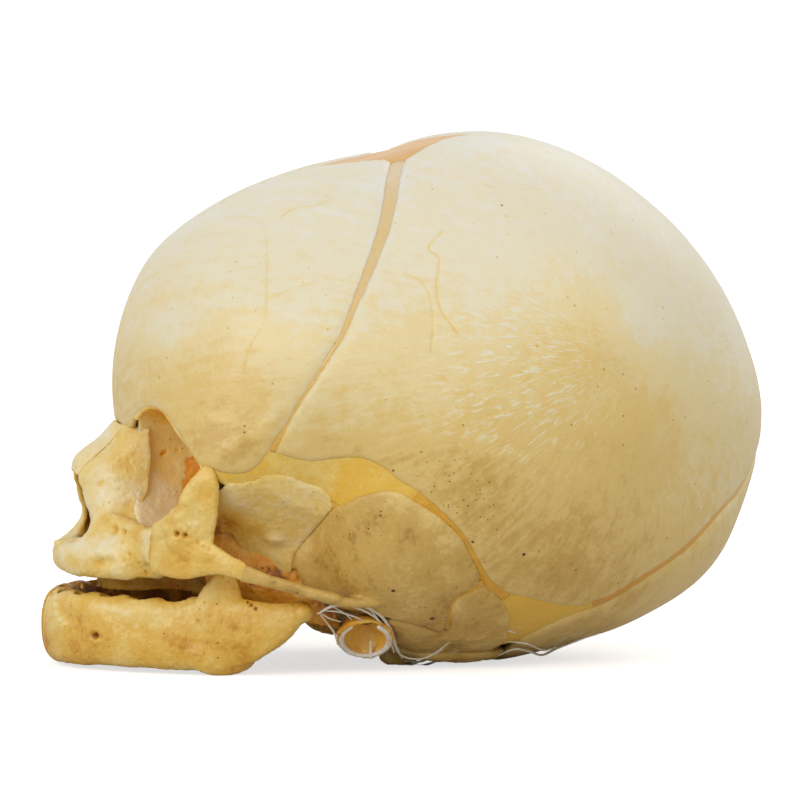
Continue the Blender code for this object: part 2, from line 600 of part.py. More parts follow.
def spread(outline, heart, spacing):
    """Directions that cover an outline evenly, and the triangles between them."""
    flat, side, other = flat_view(outline, heart)
    count = len(flat)
    step = spacing / (ACROSS * float(radius(heart)))
    reach = int(np.abs(flat).max() / step) + 2
    inside = []
    for row in range(-reach, reach + 1):
        for column in range(-reach, reach + 1):
            spot = np.array((column + 0.5 * (row % 2), row * math.sqrt(0.75))) * step
            ahead = np.roll(flat, -1, axis=0) - flat
            along = np.clip(((spot - flat) * ahead).sum(axis=1) / (ahead**2).sum(axis=1), 0, 1)
            clear = np.linalg.norm(flat + along[:, None] * ahead - spot, axis=1).min() > 0.6 * step
            a, b = flat, np.roll(flat, -1, axis=0)
            crossing = (a[:, 1] > spot[1]) != (b[:, 1] > spot[1])
            at = a[:, 0] + (spot[1] - a[:, 1]) / np.where(crossing, b[:, 1] - a[:, 1], 1) * (b[:, 0] - a[:, 0])
            if clear and (crossing & (at > spot[0])).sum() % 2:
                inside.append(spot)
    spots = np.vstack([flat, np.array(inside).reshape(-1, 2)])
    ring = [(i, (i + 1) % count) for i in range(count)]
    found = delaunay_2d_cdt([Vector(spot) for spot in spots], ring, [list(range(count))], 1, 1e-7)
    order = [ids[0] for ids in found[3]]
    triangles = [tuple(order[i] for i in face) for face in found[2]]
    off = np.linalg.norm(spots, axis=1)
    turn = np.arctan2(spots[:, 1], spots[:, 0])
    away = np.cos(turn)[:, None] * side + np.sin(turn)[:, None] * other
    directions = np.cos(off)[:, None] * heart + np.sin(off)[:, None] * away
    directions[:count] = outline
    return directions, triangles


def vault_plate(name, outline, heart, wall, spacing=PLATE_SPACING, depth=0.0, sink=0.0):
    """A curved plate of the braincase inside a closed outline of directions."""
    heart = aim(heart) if len(heart) == 2 else unit(heart)
    around = len(outline)
    directions, triangles = spread(outline, heart, spacing)
    flat, _, _ = flat_view(directions, heart)
    edge_off = np.linalg.norm(flat, axis=1)
    depths = depth + sink * np.clip(1 - edge_off / edge_off[:around].mean(), 0, 1)
    depths[:around] = depth
    points = np.vstack([on_vault(directions, depths), on_vault(directions, depths + wall)])
    below = len(directions)
    faces = [*triangles, *(tuple(below + i for i in reversed(face)) for face in triangles)]
    for j in range(around):
        k = (j + 1) % around
        faces.append((j, below + j, below + k, k))
    return new_object(name, points, faces)


def inset(outline, gap):
    """A closed outline of directions drawn in by a gap in metres."""
    ahead = unit(np.roll(outline, -1, axis=0) - np.roll(outline, 1, axis=0))
    inward = unit(np.cross(outline, ahead))
    heart = unit(outline.mean(axis=0))
    if ((heart - outline) * inward).sum(axis=1).mean() < 0:
        inward = -inward
    return unit(outline + inward * (gap / (ACROSS * radius(outline)))[:, None])


def strip(name, first, second, columns=3, sink=MEMBRANE_SINK):
    """A strip of membrane between two bone edges that face each other, sunk along its middle."""
    gap = SUTURE_GAP / (ACROSS * radius(first))[:, None]
    across = unit(second - first)
    near, far = unit(first + across * gap), unit(second - across * gap)
    shares = np.linspace(0, 1, columns)
    directions = np.stack([unit(near + (far - near) * share) for share in shares], axis=1)
    depth = np.tile(sink * (1 + 2.4 * shares * (1 - shares)), (len(first), 1))
    return grid_shell(name, on_vault(directions, depth), on_vault(directions, depth + MEMBRANE_WALL))


def resampled(edge, count):
    """The same broken line with another number of evenly spaced points."""
    run = np.concatenate([[0], np.cumsum(np.linalg.norm(np.diff(edge, axis=0), axis=1))])
    steps = np.linspace(0, run[-1], count)
    return unit(np.stack([np.interp(steps, run, column) for column in edge.T], axis=-1))


def cut_short(first, second, start, end):
    """Both edges of a strip with a length in metres taken off each end."""
    middle = (first + second) / 2
    run = np.concatenate([[0], np.cumsum(np.linalg.norm(np.diff(middle, axis=0), axis=1))])
    mean = ACROSS * radius(unit(middle)).mean()
    steps = np.linspace(start / mean, run[-1] - end / mean, len(first))
    short = [np.stack([np.interp(steps, run, column) for column in edge.T], axis=-1) for edge in (first, second)]
    return unit(short[0]), unit(short[1])


@dataclass(frozen=True)
class Stroke:
    """A rounded bar along a path, with an oval section that is broad one way."""

    table: tuple
    broad: float
    thin: float
    facing: tuple
    # Power of the section's cosine and sine: an oval at one, squarer below it
    square: float = 1.0

    def shape(self, name, sides=12):
        table = curve_through(self.table, 3 * len(self.table))
        path = table[:, :3] * (ALONG, ACROSS, UPWARD)
        ahead = unit(np.gradient(path, axis=0))
        wide = np.asarray(self.facing, float) - ahead * (ahead @ np.asarray(self.facing, float))[:, None]
        wide = unit(wide)
        narrow = np.cross(ahead, wide)
        broad, thin = table[:, 3] * self.broad, table[:, 4] * self.thin
        rings = []
        for index, offset, scale in self.stations(len(path)):
            reach = min(broad[index], thin[index])
            middle = path[index] + ahead[index] * offset * reach
            turns = np.linspace(0, 2 * math.pi, sides, endpoint=False)
            rings.append(
                middle
                + np.outer(self.squared(np.cos(turns)), wide[index]) * broad[index] * scale
                + np.outer(self.squared(np.sin(turns)), narrow[index]) * thin[index] * scale
            )
        first = path[0] - ahead[0] * min(broad[0], thin[0])
        last = path[-1] + ahead[-1] * min(broad[-1], thin[-1])
        points = np.vstack([*rings, first, last])
        faces = []
        for i in range(len(rings) - 1):
            for j in range(sides):
                k = (j + 1) % sides
                faces.append((i * sides + j, i * sides + k, (i + 1) * sides + k, (i + 1) * sides + j))
        end = (len(rings) - 1) * sides
        for j in range(sides):
            k = (j + 1) % sides
            faces.append((len(points) - 2, k, j))
            faces.append((len(points) - 1, end + j, end + k))
        return new_object(name, points, faces)

    def squared(self, values):
        return np.sign(values) * np.abs(values) ** self.square

    @staticmethod
    def stations(count):
        """Index on the path, offset along it and scale of each ring, with rounded ends."""
        yield 0, -0.7, 0.7
        for index in range(count):
            yield index, 0.0, 1.0
        yield count - 1, 0.7, 0.7


def panel(name, table, wall, columns=7):
    """A curved plate through rows of places, with its wall towards the inside of the face."""
    grid = np.array([curve_through(row, columns) for row in table])
    grid = np.stack([curve_through(grid[:, index], 2 * len(table)) for index in range(columns)], axis=1)
    grid = grid * (ALONG, ACROSS, UPWARD)
    away = unit(np.cross(np.gradient(grid, axis=0), np.gradient(grid, axis=1)))
    outward = (away * (grid - place(FACE_HEART_SHARE))).sum() > 0
    return grid_shell(name, grid, grid - away * wall * (1 if outward else -1))


def blob(name, share, halves, turn=None, around=12):
    """An egg-shaped mass at a place, with its three half lengths in metres."""
    mesh = bpy.data.meshes.new(name)
    shape = bmesh.new()
    bmesh.ops.create_uvsphere(shape, u_segments=around, v_segments=around // 2 + 1, radius=1.0)
    where = Matrix.Translation(Vector(place(share))) @ (turn or Matrix()) @ Matrix.Diagonal((*halves, 1.0))
    bmesh.ops.transform(shape, matrix=where, verts=shape.verts)
    bmesh.ops.recalc_face_normals(shape, faces=shape.faces)
    shape.to_mesh(mesh)
    shape.free()
    made = bpy.data.objects.new(name, mesh)
    bpy.context.scene.collection.objects.link(made)
    return made


def bake(made):
    """Applies the object's modifiers."""
    graph = bpy.context.evaluated_depsgraph_get()
    old = made.data
    made.data = bpy.data.meshes.new_from_object(made.evaluated_get(graph))
    made.modifiers.clear()
    bpy.data.meshes.remove(old)
    return made


def joined(name, pieces):
    """One object of several closed shapes that overlap."""
    shape = bmesh.new()
    for piece in pieces:
        shape.from_mesh(piece.data)
        old = piece.data
        bpy.data.objects.remove(piece)
        bpy.data.meshes.remove(old)
    mesh = bpy.data.meshes.new(name)
    shape.to_mesh(mesh)
    shape.free()
    made = bpy.data.objects.new(name, mesh)
    bpy.context.scene.collection.objects.link(made)
    return made


def fused(name, pieces, triangles, smooth=4):
    """Overlapping shapes grown together as one rounded bone."""
    made = joined(name, pieces)
    remesh = made.modifiers.new("grow together", "REMESH")
    remesh.mode = "VOXEL"
    remesh.voxel_size = VOXEL
    soften = made.modifiers.new("soften", "SMOOTH")
    soften.factor = 0.5
    soften.iterations = smooth
    bake(made)
    share = triangles / (2 * len(made.data.polygons))
    thin_out = made.modifiers.new("thin out", "DECIMATE")
    thin_out.ratio = min(1.0, share)
    return bake(made)


def united(name, first, *others):
    """Closed shapes joined into one by exact unions."""
    for other in others:
        union = first.modifiers.new("union", "BOOLEAN")
        union.operation = "UNION"
        union.solver = "EXACT"
        union.object = other
        bake(first)
        remove(other)
    first.name = name
    return first


def carved(first, *cutters):
    """The first shape without what the cutters take."""
    for cutter in cutters:
        cut = first.modifiers.new("cut", "BOOLEAN")
        cut.operation = "DIFFERENCE"
        cut.solver = "EXACT"
        cut.object = cutter
        bake(first)
        remove(cutter)
    return first


def remove(made):
    """Deletes an object and its mesh."""
    mesh = made.data
    bpy.data.objects.remove(made)
    bpy.data.meshes.remove(mesh)


def trimmed(made, share, facing, back=0.0):
    """Takes away what lies past a flat face, set back by a length in metres."""
    facing = unit(facing)
    where = place(share) - facing * back
    shape = bmesh.new()
    shape.from_mesh(made.data)
    bmesh.ops.triangulate(shape, faces=shape.faces)
    bmesh.ops.bisect_plane(
        shape,
        geom=[*shape.verts, *shape.edges, *shape.faces],
        dist=VOXEL / 500,
        plane_co=Vector(where),
        plane_no=Vector(facing),
        clear_outer=True,
    )
    edges = [edge for edge in shape.edges if edge.is_boundary]
    bmesh.ops.triangle_fill(shape, edges=edges, use_beauty=True, use_dissolve=False, normal=Vector(facing))
    bmesh.ops.recalc_face_normals(shape, faces=shape.faces)
    shape.to_mesh(made.data)
    shape.free()
    return made


def centred(made):
    """Puts the object's origin in the middle of its own box."""
    corners = np.array([point.co for point in made.data.vertices])
    middle = Vector((corners.min(axis=0) + corners.max(axis=0)) / 2)
    made.data.transform(Matrix.Translation(-middle))
    made.location = middle


def sheet(name, outline, wall):
    """A flat plate in the midline with an outline of along and up."""
    count = len(outline)
    points = [place((x, 0.0, z)) + (0.0, side * wall / 2, 0.0) for side in (-1, 1) for x, z in outline]
    faces = [tuple(range(count)), tuple(reversed(range(count, 2 * count)))]
    faces += [(i, (i + 1) % count, (i + 1) % count + count, i + count) for i in range(count)]
    return new_object(name, points, faces)


class Finish:
    """Plain materials of the bones, membranes and cartilage."""

    def __init__(self):
        self.made = {
            "bone_pale": self.make("bone_pale", (0.72, 0.66, 0.52), 0.55),
            "bone_warm": self.make("bone_warm", (0.66, 0.53, 0.32), 0.5),
            "bone_amber": self.make("bone_amber", (0.55, 0.38, 0.16), 0.45),
            "membrane": self.make("membrane", (0.52, 0.34, 0.13), 0.35),
            "cartilage": self.make("cartilage", (0.45, 0.27, 0.09), 0.4),
        }

    @staticmethod
    def make(name, colour, roughness):
        material = bpy.data.materials.new(name)
        material.use_nodes = True
        shader = material.node_tree.nodes["Principled BSDF"]
        shader.inputs["Base Color"].default_value = (*colour, 1.0)
        shader.inputs["Roughness"].default_value = roughness
        shader.inputs["Metallic"].default_value = 0.0
        return material

    def dress(self, made, name):
        made.data.materials.clear()
        made.data.materials.append(self.made[name])


class Skull:
    """Builds every bone of the left side, its right twin, and the pieces of the midline."""

    def __init__(self):
        self.finish = Finish()
        self.sutures()
        self.nodes = {}

    def sutures(self):
        """Edges that neighbouring plates share."""
        self.coronal = Suture(aim(CORONAL_DEGREES), CORONAL_WIDTH_SHARES, CORONAL_HALF, 16)
        self.lambdoid = Suture(aim(LAMBDOID_DEGREES), LAMBDOID_WIDTH_SHARES, LAMBDOID_HALF, 12)
        self.squamosal = Suture(aim(SQUAMOSAL_DEGREES), SQUAMOSAL_WIDTH_SHARES, SQUAMOSAL_HALF, 10)
        self.metopic = midline(METOPIC_DEGREES, np.array(METOPIC_WIDTH_SHARES) * METOPIC_HALF)
        self.metopic = unit(curve_through(self.metopic, 10))
        self.sagittal = midline(SAGITTAL_DEGREES, np.array(SAGITTAL_WIDTH_SHARES) * SAGITTAL_HALF)
        self.sagittal = unit(curve_through(self.sagittal, 12))
        # The coronal line runs down the left side, so the frontal bone lies on its right hand
        self.frontal_coronal = self.coronal.edge(-1.0)
        self.parietal_coronal = self.coronal.edge(1.0)
        if self.frontal_coronal[8][0] > self.parietal_coronal[8][0]:
            self.frontal_coronal, self.parietal_coronal = self.parietal_coronal, self.frontal_coronal
        self.parietal_lambdoid = self.lambdoid.edge(-1.0)
        self.squama_lambdoid = self.lambdoid.edge(1.0)
        if self.parietal_lambdoid[6][2] < self.squama_lambdoid[6][2]:
            self.parietal_lambdoid, self.squama_lambdoid = self.squama_lambdoid, self.parietal_lambdoid
        self.parietal_squamosal = self.squamosal.edge(1.0)
        self.temporal_squamosal = self.squamosal.edge(-1.0)
        if self.parietal_squamosal[3][2] < self.temporal_squamosal[3][2]:
            self.parietal_squamosal, self.temporal_squamosal = self.temporal_squamosal, self.parietal_squamosal
        # The temporal bone keeps the squamosal edge as far back as the mastoid part
        self.temporal_side = self.temporal_squamosal[:7]

    def add(self, made, name, finish, pair=True):
        """Keeps a finished bone, and its mirrored twin when it has one."""
        made.name = f"{name}_left" if pair else name
        made.data.name = made.name
        self.finish.dress(made, finish)
        self.nodes[made.name] = made
        if pair:
            self.nodes[f"{name}_right"] = self.mirrored(made, f"{name}_right")
            centred(self.nodes[f"{name}_right"])
        centred(made)

    @staticmethod
    def mirrored(made, name):
        shape = bmesh.new()
        shape.from_mesh(made.data)
        bmesh.ops.transform(shape, matrix=Matrix.Diagonal((1.0, -1.0, 1.0, 1.0)), verts=shape.verts)
        bmesh.ops.reverse_faces(shape, faces=shape.faces)
        mesh = bpy.data.meshes.new(name)
        shape.to_mesh(mesh)
        shape.free()
        mesh.materials.append(made.data.materials[0])
        twin = bpy.data.objects.new(name, mesh)
        bpy.context.scene.collection.objects.link(twin)
        return twin

    # Braincase

    def orbit_rim(self):
        """Rim of the orbit: the frontal bone's edge, then the points below it, as one ring."""
        above = on_vault(smooth_edge(FRONTAL_ORBIT_EDGE_DEGREES, 9), np.full(9, FRONTAL_WALL / 2))[::-1]
        above = np.vstack([place(ORBIT_CORNER_SHARE), above])
        below = [place(share) for share in ORBIT_RIM_SHARES]
        return above, np.array(below)

    def orbit_sheet(self, name, rim, start, end, rows=6):
        """A wall of the orbit from its rim towards the apex."""
        above, below = self.orbit_rim()
        mouth = np.vstack([above, below]).mean(axis=0)
        apex = place(ORBIT_APEX_SHARE)
        shares = np.linspace(start, end, rows)
        inner, outer = [], []
        for share in shares:
            axis = mouth + (apex - mouth) * share
            narrowing = math.cos(share * math.pi / 2) ** 0.75
            ring = axis + (rim - mouth) * narrowing
            away = unit(rim - mouth)
            inner.append(ring)
            outer.append(ring + away * ORBIT_WALL)
        return grid_shell(name, np.array(outer), np.array(inner))

    def frontal(self):
        outline = np.vstack([
            self.metopic,
            smooth_edge(FRONTAL_CROWN_EDGE_DEGREES, 4),
            self.frontal_coronal,
            smooth_edge(FRONTAL_TEMPLE_EDGE_DEGREES, 4),
            smooth_edge(FRONTAL_ORBIT_EDGE_DEGREES, 9),
            smooth_edge(FRONTAL_NASAL_EDGE_DEGREES, 2),
        ])
        plate = vault_plate("frontal plate", outline, FRONTAL_HEART_DEGREES, FRONTAL_WALL)
        above, _ = self.orbit_rim()
        roof = self.orbit_sheet("orbital roof", above, 0.0, 0.62)
        self.add(united("frontal", plate, roof), "frontal", "bone_pale")

    def parietal(self):
        outline = np.vstack([
            self.sagittal,
            self.parietal_lambdoid,
            smooth_edge(PARIETAL_MASTOID_EDGE_DEGREES, 4),
            self.parietal_squamosal[::-1],
            smooth_edge(PARIETAL_TEMPLE_EDGE_DEGREES, 6),
            self.parietal_coronal[::-1],
            smooth_edge(PARIETAL_CROWN_EDGE_DEGREES, 4),
        ])
        plate = vault_plate("parietal plate", outline, PARIETAL_HEART_DEGREES, PARIETAL_WALL)
        self.add(plate, "parietal", "bone_pale")

    def occipital(self):
        left = np.vstack([
            self.squama_lambdoid,
            smooth_edge(SQUAMA_MASTOID_EDGE_DEGREES, 4),
            smooth_edge(SQUAMA_BASE_EDGE_DEGREES, 5),
        ])
        right = (left * (1, -1, 1))[::-1]
        outline = np.vstack([midline([LAMBDA_DEGREES]), left, midline([BACK_OF_OPENING_DEGREES]), right])
        squama = vault_plate("squama", outline, OCCIPITAL_HEART_DEGREES, OCCIPITAL_WALL)
        trimmed(squama, (0, 0, 0), (0, 0, -1))
        self.add(squama, "occipital_squama", "bone_pale", pair=False)

    def temporal(self):
        outline = np.vstack([
            self.temporal_side[::-1],
            smooth_edge(TEMPORAL_TOP_EDGE_DEGREES, 5),
            smooth_edge(TEMPORAL_FRONT_EDGE_DEGREES, 4),
            smooth_edge(TEMPORAL_BASE_EDGE_DEGREES, 7),
            smooth_edge(TEMPORAL_REAR_EDGE_DEGREES, 3),
        ])
        plate = vault_plate("squamous part", outline, TEMPORAL_HEART_DEGREES, TEMPORAL_WALL)
        arch = fused(
            "arch",
            [
                Stroke(ARCH_SHARES, ARCH_DEPTH, ARCH_THICKNESS, (0, 0, 1)).shape("arch"),
                Stroke(ARCH_TAIL_SHARES, ARCH_DEPTH, ARCH_THICKNESS, (0, 0, 1)).shape("tail"),
            ],
            200,
        )
        trimmed(arch, ARCH_SEAM_SHARE, -np.array(ARCH_SEAM_FACING), BONE_GAP / 2)
        self.add(united("temporal", plate, arch), "temporal_squama", "bone_warm")

    def mastoid(self):
        outline = np.vstack([
            smooth_edge(MASTOID_TOP_EDGE_DEGREES, 4),
            smooth_edge(MASTOID_REAR_EDGE_DEGREES, 4),
            smooth_edge(MASTOID_BASE_EDGE_DEGREES, 4),
            smooth_edge(MASTOID_FRONT_EDGE_DEGREES, 4),
        ])
        plate = vault_plate("mastoid part", outline, MASTOID_HEART_DEGREES, MASTOID_WALL)
        pyramid = Stroke(PETROUS_SHARES, PETROUS_GIRTH, PETROUS_GIRTH, (0, 0, 1)).shape("pyramid")
        bulge = blob("bulge", PROMONTORY_SHARE, np.array(PROMONTORY_WIDTH_SHARES) * PETROUS_GIRTH)
        rock = fused("petrous", [plate, pyramid, bulge], 380, smooth=2)
        trimmed(rock, (0, 0, 0), (0, 0, -1))
        self.add(rock, "petrous", "bone_amber")

    def ring(self):
        """The open ring that carries the eardrum."""
        facing = Vector(unit(RING_FACING))
        up = (Vector((0, 0, 1)) - facing * facing.z).normalized()
        side = facing.cross(up)
        half_gap = math.radians(RING_OPEN_DEGREES / 2)
        turns = np.linspace(half_gap, 2 * math.pi - half_gap, 15)
        hang = Vector(place(Vector(RING_SHARE) + up * RING_HANG_SHARE))
        centre = hang - up * RING_RADIUS
        rings = []
        for turn in turns:
            away = up * math.cos(turn) + side * math.sin(turn)
            for spin in np.linspace(0, 2 * math.pi, 6, endpoint=False):
                reach = RING_RADIUS + RING_TUBE * math.cos(spin)
                rings.append(centre + away * reach + facing * RING_TUBE * math.sin(spin))
        faces = [
            (i * 6 + j, i * 6 + (j + 1) % 6, (i + 1) * 6 + (j + 1) % 6, (i + 1) * 6 + j)
            for i in range(len(turns) - 1)
            for j in range(6)
        ]
        faces += [tuple(range(6)), tuple(range(len(rings) - 6, len(rings)))]
        self.add(new_object("ring", rings, faces), "tympanic_ring", "bone_warm")

    def greater_wing(self):
        outline = np.vstack([
            smooth_edge(WING_TOP_EDGE_DEGREES, 6),
            smooth_edge(WING_REAR_EDGE_DEGREES, 5),
            smooth_edge(WING_BASE_EDGE_DEGREES, 4),
            smooth_edge(WING_FRONT_EDGE_DEGREES, 4),
        ])
        plate = vault_plate("wing plate", outline, WING_HEART_DEGREES, WING_WALL)
        _, below = self.orbit_rim()
        wall = self.orbit_sheet("outer orbital wall", curve_through(below[:4], 5), 0.34, 0.84, rows=4)
        strokes = [
            Stroke(WING_ROOT_SHARES, WING_WALL, WING_WALL, (1, 0, 0)).shape("root"),
            Stroke(PTERYGOID_SHARES, PTERYGOID_WIDTH, PTERYGOID_WALL, (1, 0, 0.6)).shape("inner plate"),
            Stroke(PTERYGOID_OUTER_SHARES, PTERYGOID_WIDTH, PTERYGOID_WALL, (1, 0, 0.6)).shape("outer plate"),
        ]
        self.add(fused("wing", [plate, wall, *strokes], 560, smooth=2), "greater_wing", "bone_warm")

    def sphenoid(self):
        body = Stroke(SPHENOID_BODY_SHARES, SPHENOID_WIDTH, SPHENOID_HEIGHT, (0, 1, 0)).shape("body")
        wings = []
        for side in (1, -1):
            table = tuple((x, y * side, z, broad, thin) for x, y, z, broad, thin in LESSER_WING_SHARES)
            wings.append(Stroke(table, SPHENOID_WIDTH, SPHENOID_HEIGHT, (1, 0, 0)).shape("lesser wing"))
        back = Stroke(SELLA_BACK_SHARES, SPHENOID_WIDTH, SPHENOID_HEIGHT, (0, 0, 1)).shape("back of the saddle")
        made = fused("sphenoid", [body, back, *wings], 420, smooth=3)
        trimmed(made, CLIVUS_SEAM_SHARE, -np.array(CLIVUS_SEAM_FACING), CARTILAGE_WIDTH / 2 + BONE_GAP)
        self.add(made, "sphenoid_body", "bone_amber", pair=False)

    def basilar(self):
        bar = Stroke(BASILAR_SHARES, BASILAR_WIDTH, BASILAR_THICKNESS, (0, 1, 0)).shape("bar")
        made = fused("basilar", [bar], 220)
        trimmed(made, CLIVUS_SEAM_SHARE, CLIVUS_SEAM_FACING, CARTILAGE_WIDTH / 2 + BONE_GAP)
        self.add(made, "occipital_basilar", "bone_amber", pair=False)

    def clivus_cartilage(self):
        """The disc of cartilage between the sphenoid body and the basilar part."""
        disc = Stroke(CLIVUS_CARTILAGE_SHARES, BASILAR_WIDTH, BASILAR_THICKNESS, (0, 1, 0))
        made = disc.shape("disc", sides=16)
        trimmed(made, CLIVUS_SEAM_SHARE, CLIVUS_SEAM_FACING, -CARTILAGE_WIDTH / 2)
        trimmed(made, CLIVUS_SEAM_SHARE, -np.array(CLIVUS_SEAM_FACING), -CARTILAGE_WIDTH / 2)
        self.add(made, "clivus_cartilage", "cartilage", pair=False)

    def lateral(self):
        strokes = [
            Stroke(LATERAL_SHARES, LATERAL_WIDTH, LATERAL_THICKNESS, (0, 1, 0)).shape("lateral"),
            Stroke(JUGULAR_SHARES, LATERAL_WIDTH, LATERAL_THICKNESS, (1, 0, 0)).shape("jugular"),
            blob("condyle", OCCIPITAL_CONDYLE_SHARE, np.array(CONDYLE_WIDTH_SHARES) * LATERAL_WIDTH),
        ]
        made = fused("lateral", strokes, 260, smooth=3)
        trimmed(made, (0, 0, 0), (0, 0, -1))
        self.add(made, "occipital_lateral", "bone_amber")

    # Membranes

    def membranes(self):
        reversed_side = (1, -1, 1)
        metopic = cut_short(self.metopic, self.metopic * reversed_side, 0.0, SUTURE_GAP * 2)
        self.add(strip("metopic", *metopic), "metopic_suture", "membrane", pair=False)
        sagittal = cut_short(self.sagittal, self.sagittal * reversed_side, SUTURE_GAP * 2, SUTURE_GAP * 2)
        self.add(strip("sagittal", *sagittal), "sagittal_suture", "membrane", pair=False)
        coronal = cut_short(self.frontal_coronal, self.parietal_coronal, SUTURE_GAP * 2, SUTURE_GAP * 2)
        self.add(strip("coronal", *coronal), "coronal_suture", "membrane")
        lambdoid = cut_short(self.parietal_lambdoid, self.squama_lambdoid, SUTURE_GAP * 2, SUTURE_GAP * 2)
        self.add(strip("lambdoid", *lambdoid), "lambdoid_suture", "membrane")
        squamosal = cut_short(self.parietal_squamosal, self.temporal_squamosal, SUTURE_GAP * 2, SUTURE_GAP * 2)
        self.add(strip("squamosal", *squamosal), "squamosal_suture", "membrane")
        crown = np.vstack([
            self.metopic[-1:],
            smooth_edge(FRONTAL_CROWN_EDGE_DEGREES, 4),
            self.frontal_coronal[:1],
            self.parietal_coronal[:1],
            smooth_edge(PARIETAL_CROWN_EDGE_DEGREES, 4),
            self.sagittal[:1],
        ])
        crown = np.vstack([crown, (crown * reversed_side)[::-1]])
        self.add(
            vault_plate(
                "crown", inset(crown, SUTURE_GAP), unit(crown.mean(axis=0)), MEMBRANE_WALL,
                depth=MEMBRANE_SINK, sink=FONTANELLE_SINK,
            ),
            "anterior_fontanelle", "membrane", pair=False,
        )  # fmt: skip
        back = np.vstack([self.sagittal[-1:], self.parietal_lambdoid[:1], self.squama_lambdoid[:1]])
        back = np.vstack([back, midline([LAMBDA_DEGREES]), (back * reversed_side)[::-1]])
        self.add(
            vault_plate(
                "back", inset(back, SUTURE_GAP), unit(back.mean(axis=0)), MEMBRANE_WALL,
                depth=MEMBRANE_SINK,
            ),
            "posterior_fontanelle", "membrane", pair=False,
        )  # fmt: skip
        upper = np.vstack([
            smooth_edge(FRONTAL_TEMPLE_EDGE_DEGREES, 4)[::-1],
            self.frontal_coronal[-1:],
            self.parietal_coronal[-1:],
            smooth_edge(PARIETAL_TEMPLE_EDGE_DEGREES, 6)[::-1],
            self.parietal_squamosal[:1],
        ])
        lower = np.vstack([
            smooth_edge(WING_TOP_EDGE_DEGREES, 6),
            smooth_edge(TEMPORAL_TOP_EDGE_DEGREES, 5)[::-1],
            self.temporal_side[:1],
        ])
        self.add(
            strip("temple", resampled(upper, 16), resampled(lower, 16), columns=4),
            "sphenoidal_fontanelle", "membrane",
        )  # fmt: skip
        mastoid = np.vstack([
            self.parietal_lambdoid[-1:],
            smooth_edge(PARIETAL_MASTOID_EDGE_DEGREES, 4),
            self.parietal_squamosal[-1:],
            self.temporal_squamosal[-1:],
            smooth_edge(MASTOID_REAR_EDGE_DEGREES, 4),
            smooth_edge(SQUAMA_MASTOID_EDGE_DEGREES, 4)[::-1],
            self.squama_lambdoid[-1:],
        ])
        self.add(
            vault_plate(
                "mastoid", inset(mastoid, SUTURE_GAP), (123, -50), MEMBRANE_WALL,
                depth=MEMBRANE_SINK, sink=MEMBRANE_SINK,
            ),
            "mastoid_fontanelle", "membrane",
        )  # fmt: skip

    # Face

    def crypts(self, table):
        """Egg-shaped cutters for the open tooth crypts of a jaw."""
        cutters = []
        for index, (x, y, z, size) in enumerate(table):
            before, after = table[max(index - 1, 0)], table[min(index + 1, len(table) - 1)]
            turn = Matrix.Rotation(math.atan2(after[1] - before[1], after[0] - before[0]), 4, "Z")
            halves = (CRYPT_LENGTH * size / 2, CRYPT_WIDTH / 2, CRYPT_DEPTH)
            cutters.append(blob("crypt", (x, y, z), halves, turn, around=8))
        return cutters

    def maxilla(self):
        up = (0, 0, 1)
        strokes = [
            Stroke(ALVEOLAR_SHARES, MAXILLA_DEPTH, MAXILLA_THICKNESS, up).shape("alveolar"),
            Stroke(MAXILLA_BODY_SHARES, MAXILLA_DEPTH, MAXILLA_THICKNESS, up, FULL_SHARE).shape("body"),
            Stroke(CHEEK_ROOT_SHARES, MAXILLA_DEPTH, MAXILLA_THICKNESS, up).shape("cheek root"),
            Stroke(MAXILLA_RIM_SHARES, MAXILLA_DEPTH, MAXILLA_THICKNESS, up).shape("rim"),
            Stroke(NASAL_SILL_SHARES, MAXILLA_DEPTH, MAXILLA_THICKNESS, up).shape("sill"),
            Stroke(NASAL_SPINE_SHARES, MAXILLA_DEPTH, MAXILLA_THICKNESS, up).shape("spine"),
            Stroke(PALATE_SHARES, ACROSS, PALATE_WALL, (0, 1, 0)).shape("palate"),
        ]
        _, below = self.orbit_rim()
        floor = self.orbit_sheet("orbital floor", curve_through(below[3:7], 6), 0.02, 0.42, rows=4)
        process = panel("frontal process", PROCESS_PANEL_SHARES, PROCESS_WALL)
        trimmed(process, NASAL_SEAM_SHARE, -np.array(NASAL_SEAM_FACING), BONE_GAP / 2)
        cheek = panel("cheek", CHEEK_PANEL_SHARES, CHEEK_WALL)
        made = fused("maxilla", [*strokes, floor, process, cheek], 760, smooth=3)
        trimmed(made, (0, 0, 0), (0, 1, 0), BONE_GAP / 2)
        trimmed(made, CHEEK_SEAM_SHARE, CHEEK_SEAM_FACING, BONE_GAP / 2)
        trimmed(made, NASAL_TOP_SHARE, NASAL_TOP_FACING, BONE_GAP)
        carved(made, *self.crypts(MAXILLA_CRYPT_SHARES))
        self.add(made, "maxilla", "bone_warm")

    def zygomatic(self):
        strokes = [
            Stroke(
                ZYGOMATIC_BODY_SHARES, ZYGOMATIC_DEPTH, ZYGOMATIC_THICKNESS, (0, 0, 1), FLAT_SHARE
            ).shape("body"),
            Stroke(
                ZYGOMATIC_RISE_SHARES, ZYGOMATIC_DEPTH, ZYGOMATIC_THICKNESS, (1, -0.35, 0), FLAT_SHARE
            ).shape("rise"),
            Stroke(INFRAORBITAL_SHARES, ZYGOMATIC_DEPTH, ZYGOMATIC_THICKNESS, (0, 0, 1)).shape("rim"),
        ]
        made = fused("zygomatic", strokes, 420, smooth=3)
        trimmed(made, CHEEK_SEAM_SHARE, -np.array(CHEEK_SEAM_FACING), BONE_GAP / 2)
        trimmed(made, ARCH_SEAM_SHARE, ARCH_SEAM_FACING, BONE_GAP / 2)
        self.add(made, "zygomatic", "bone_warm")

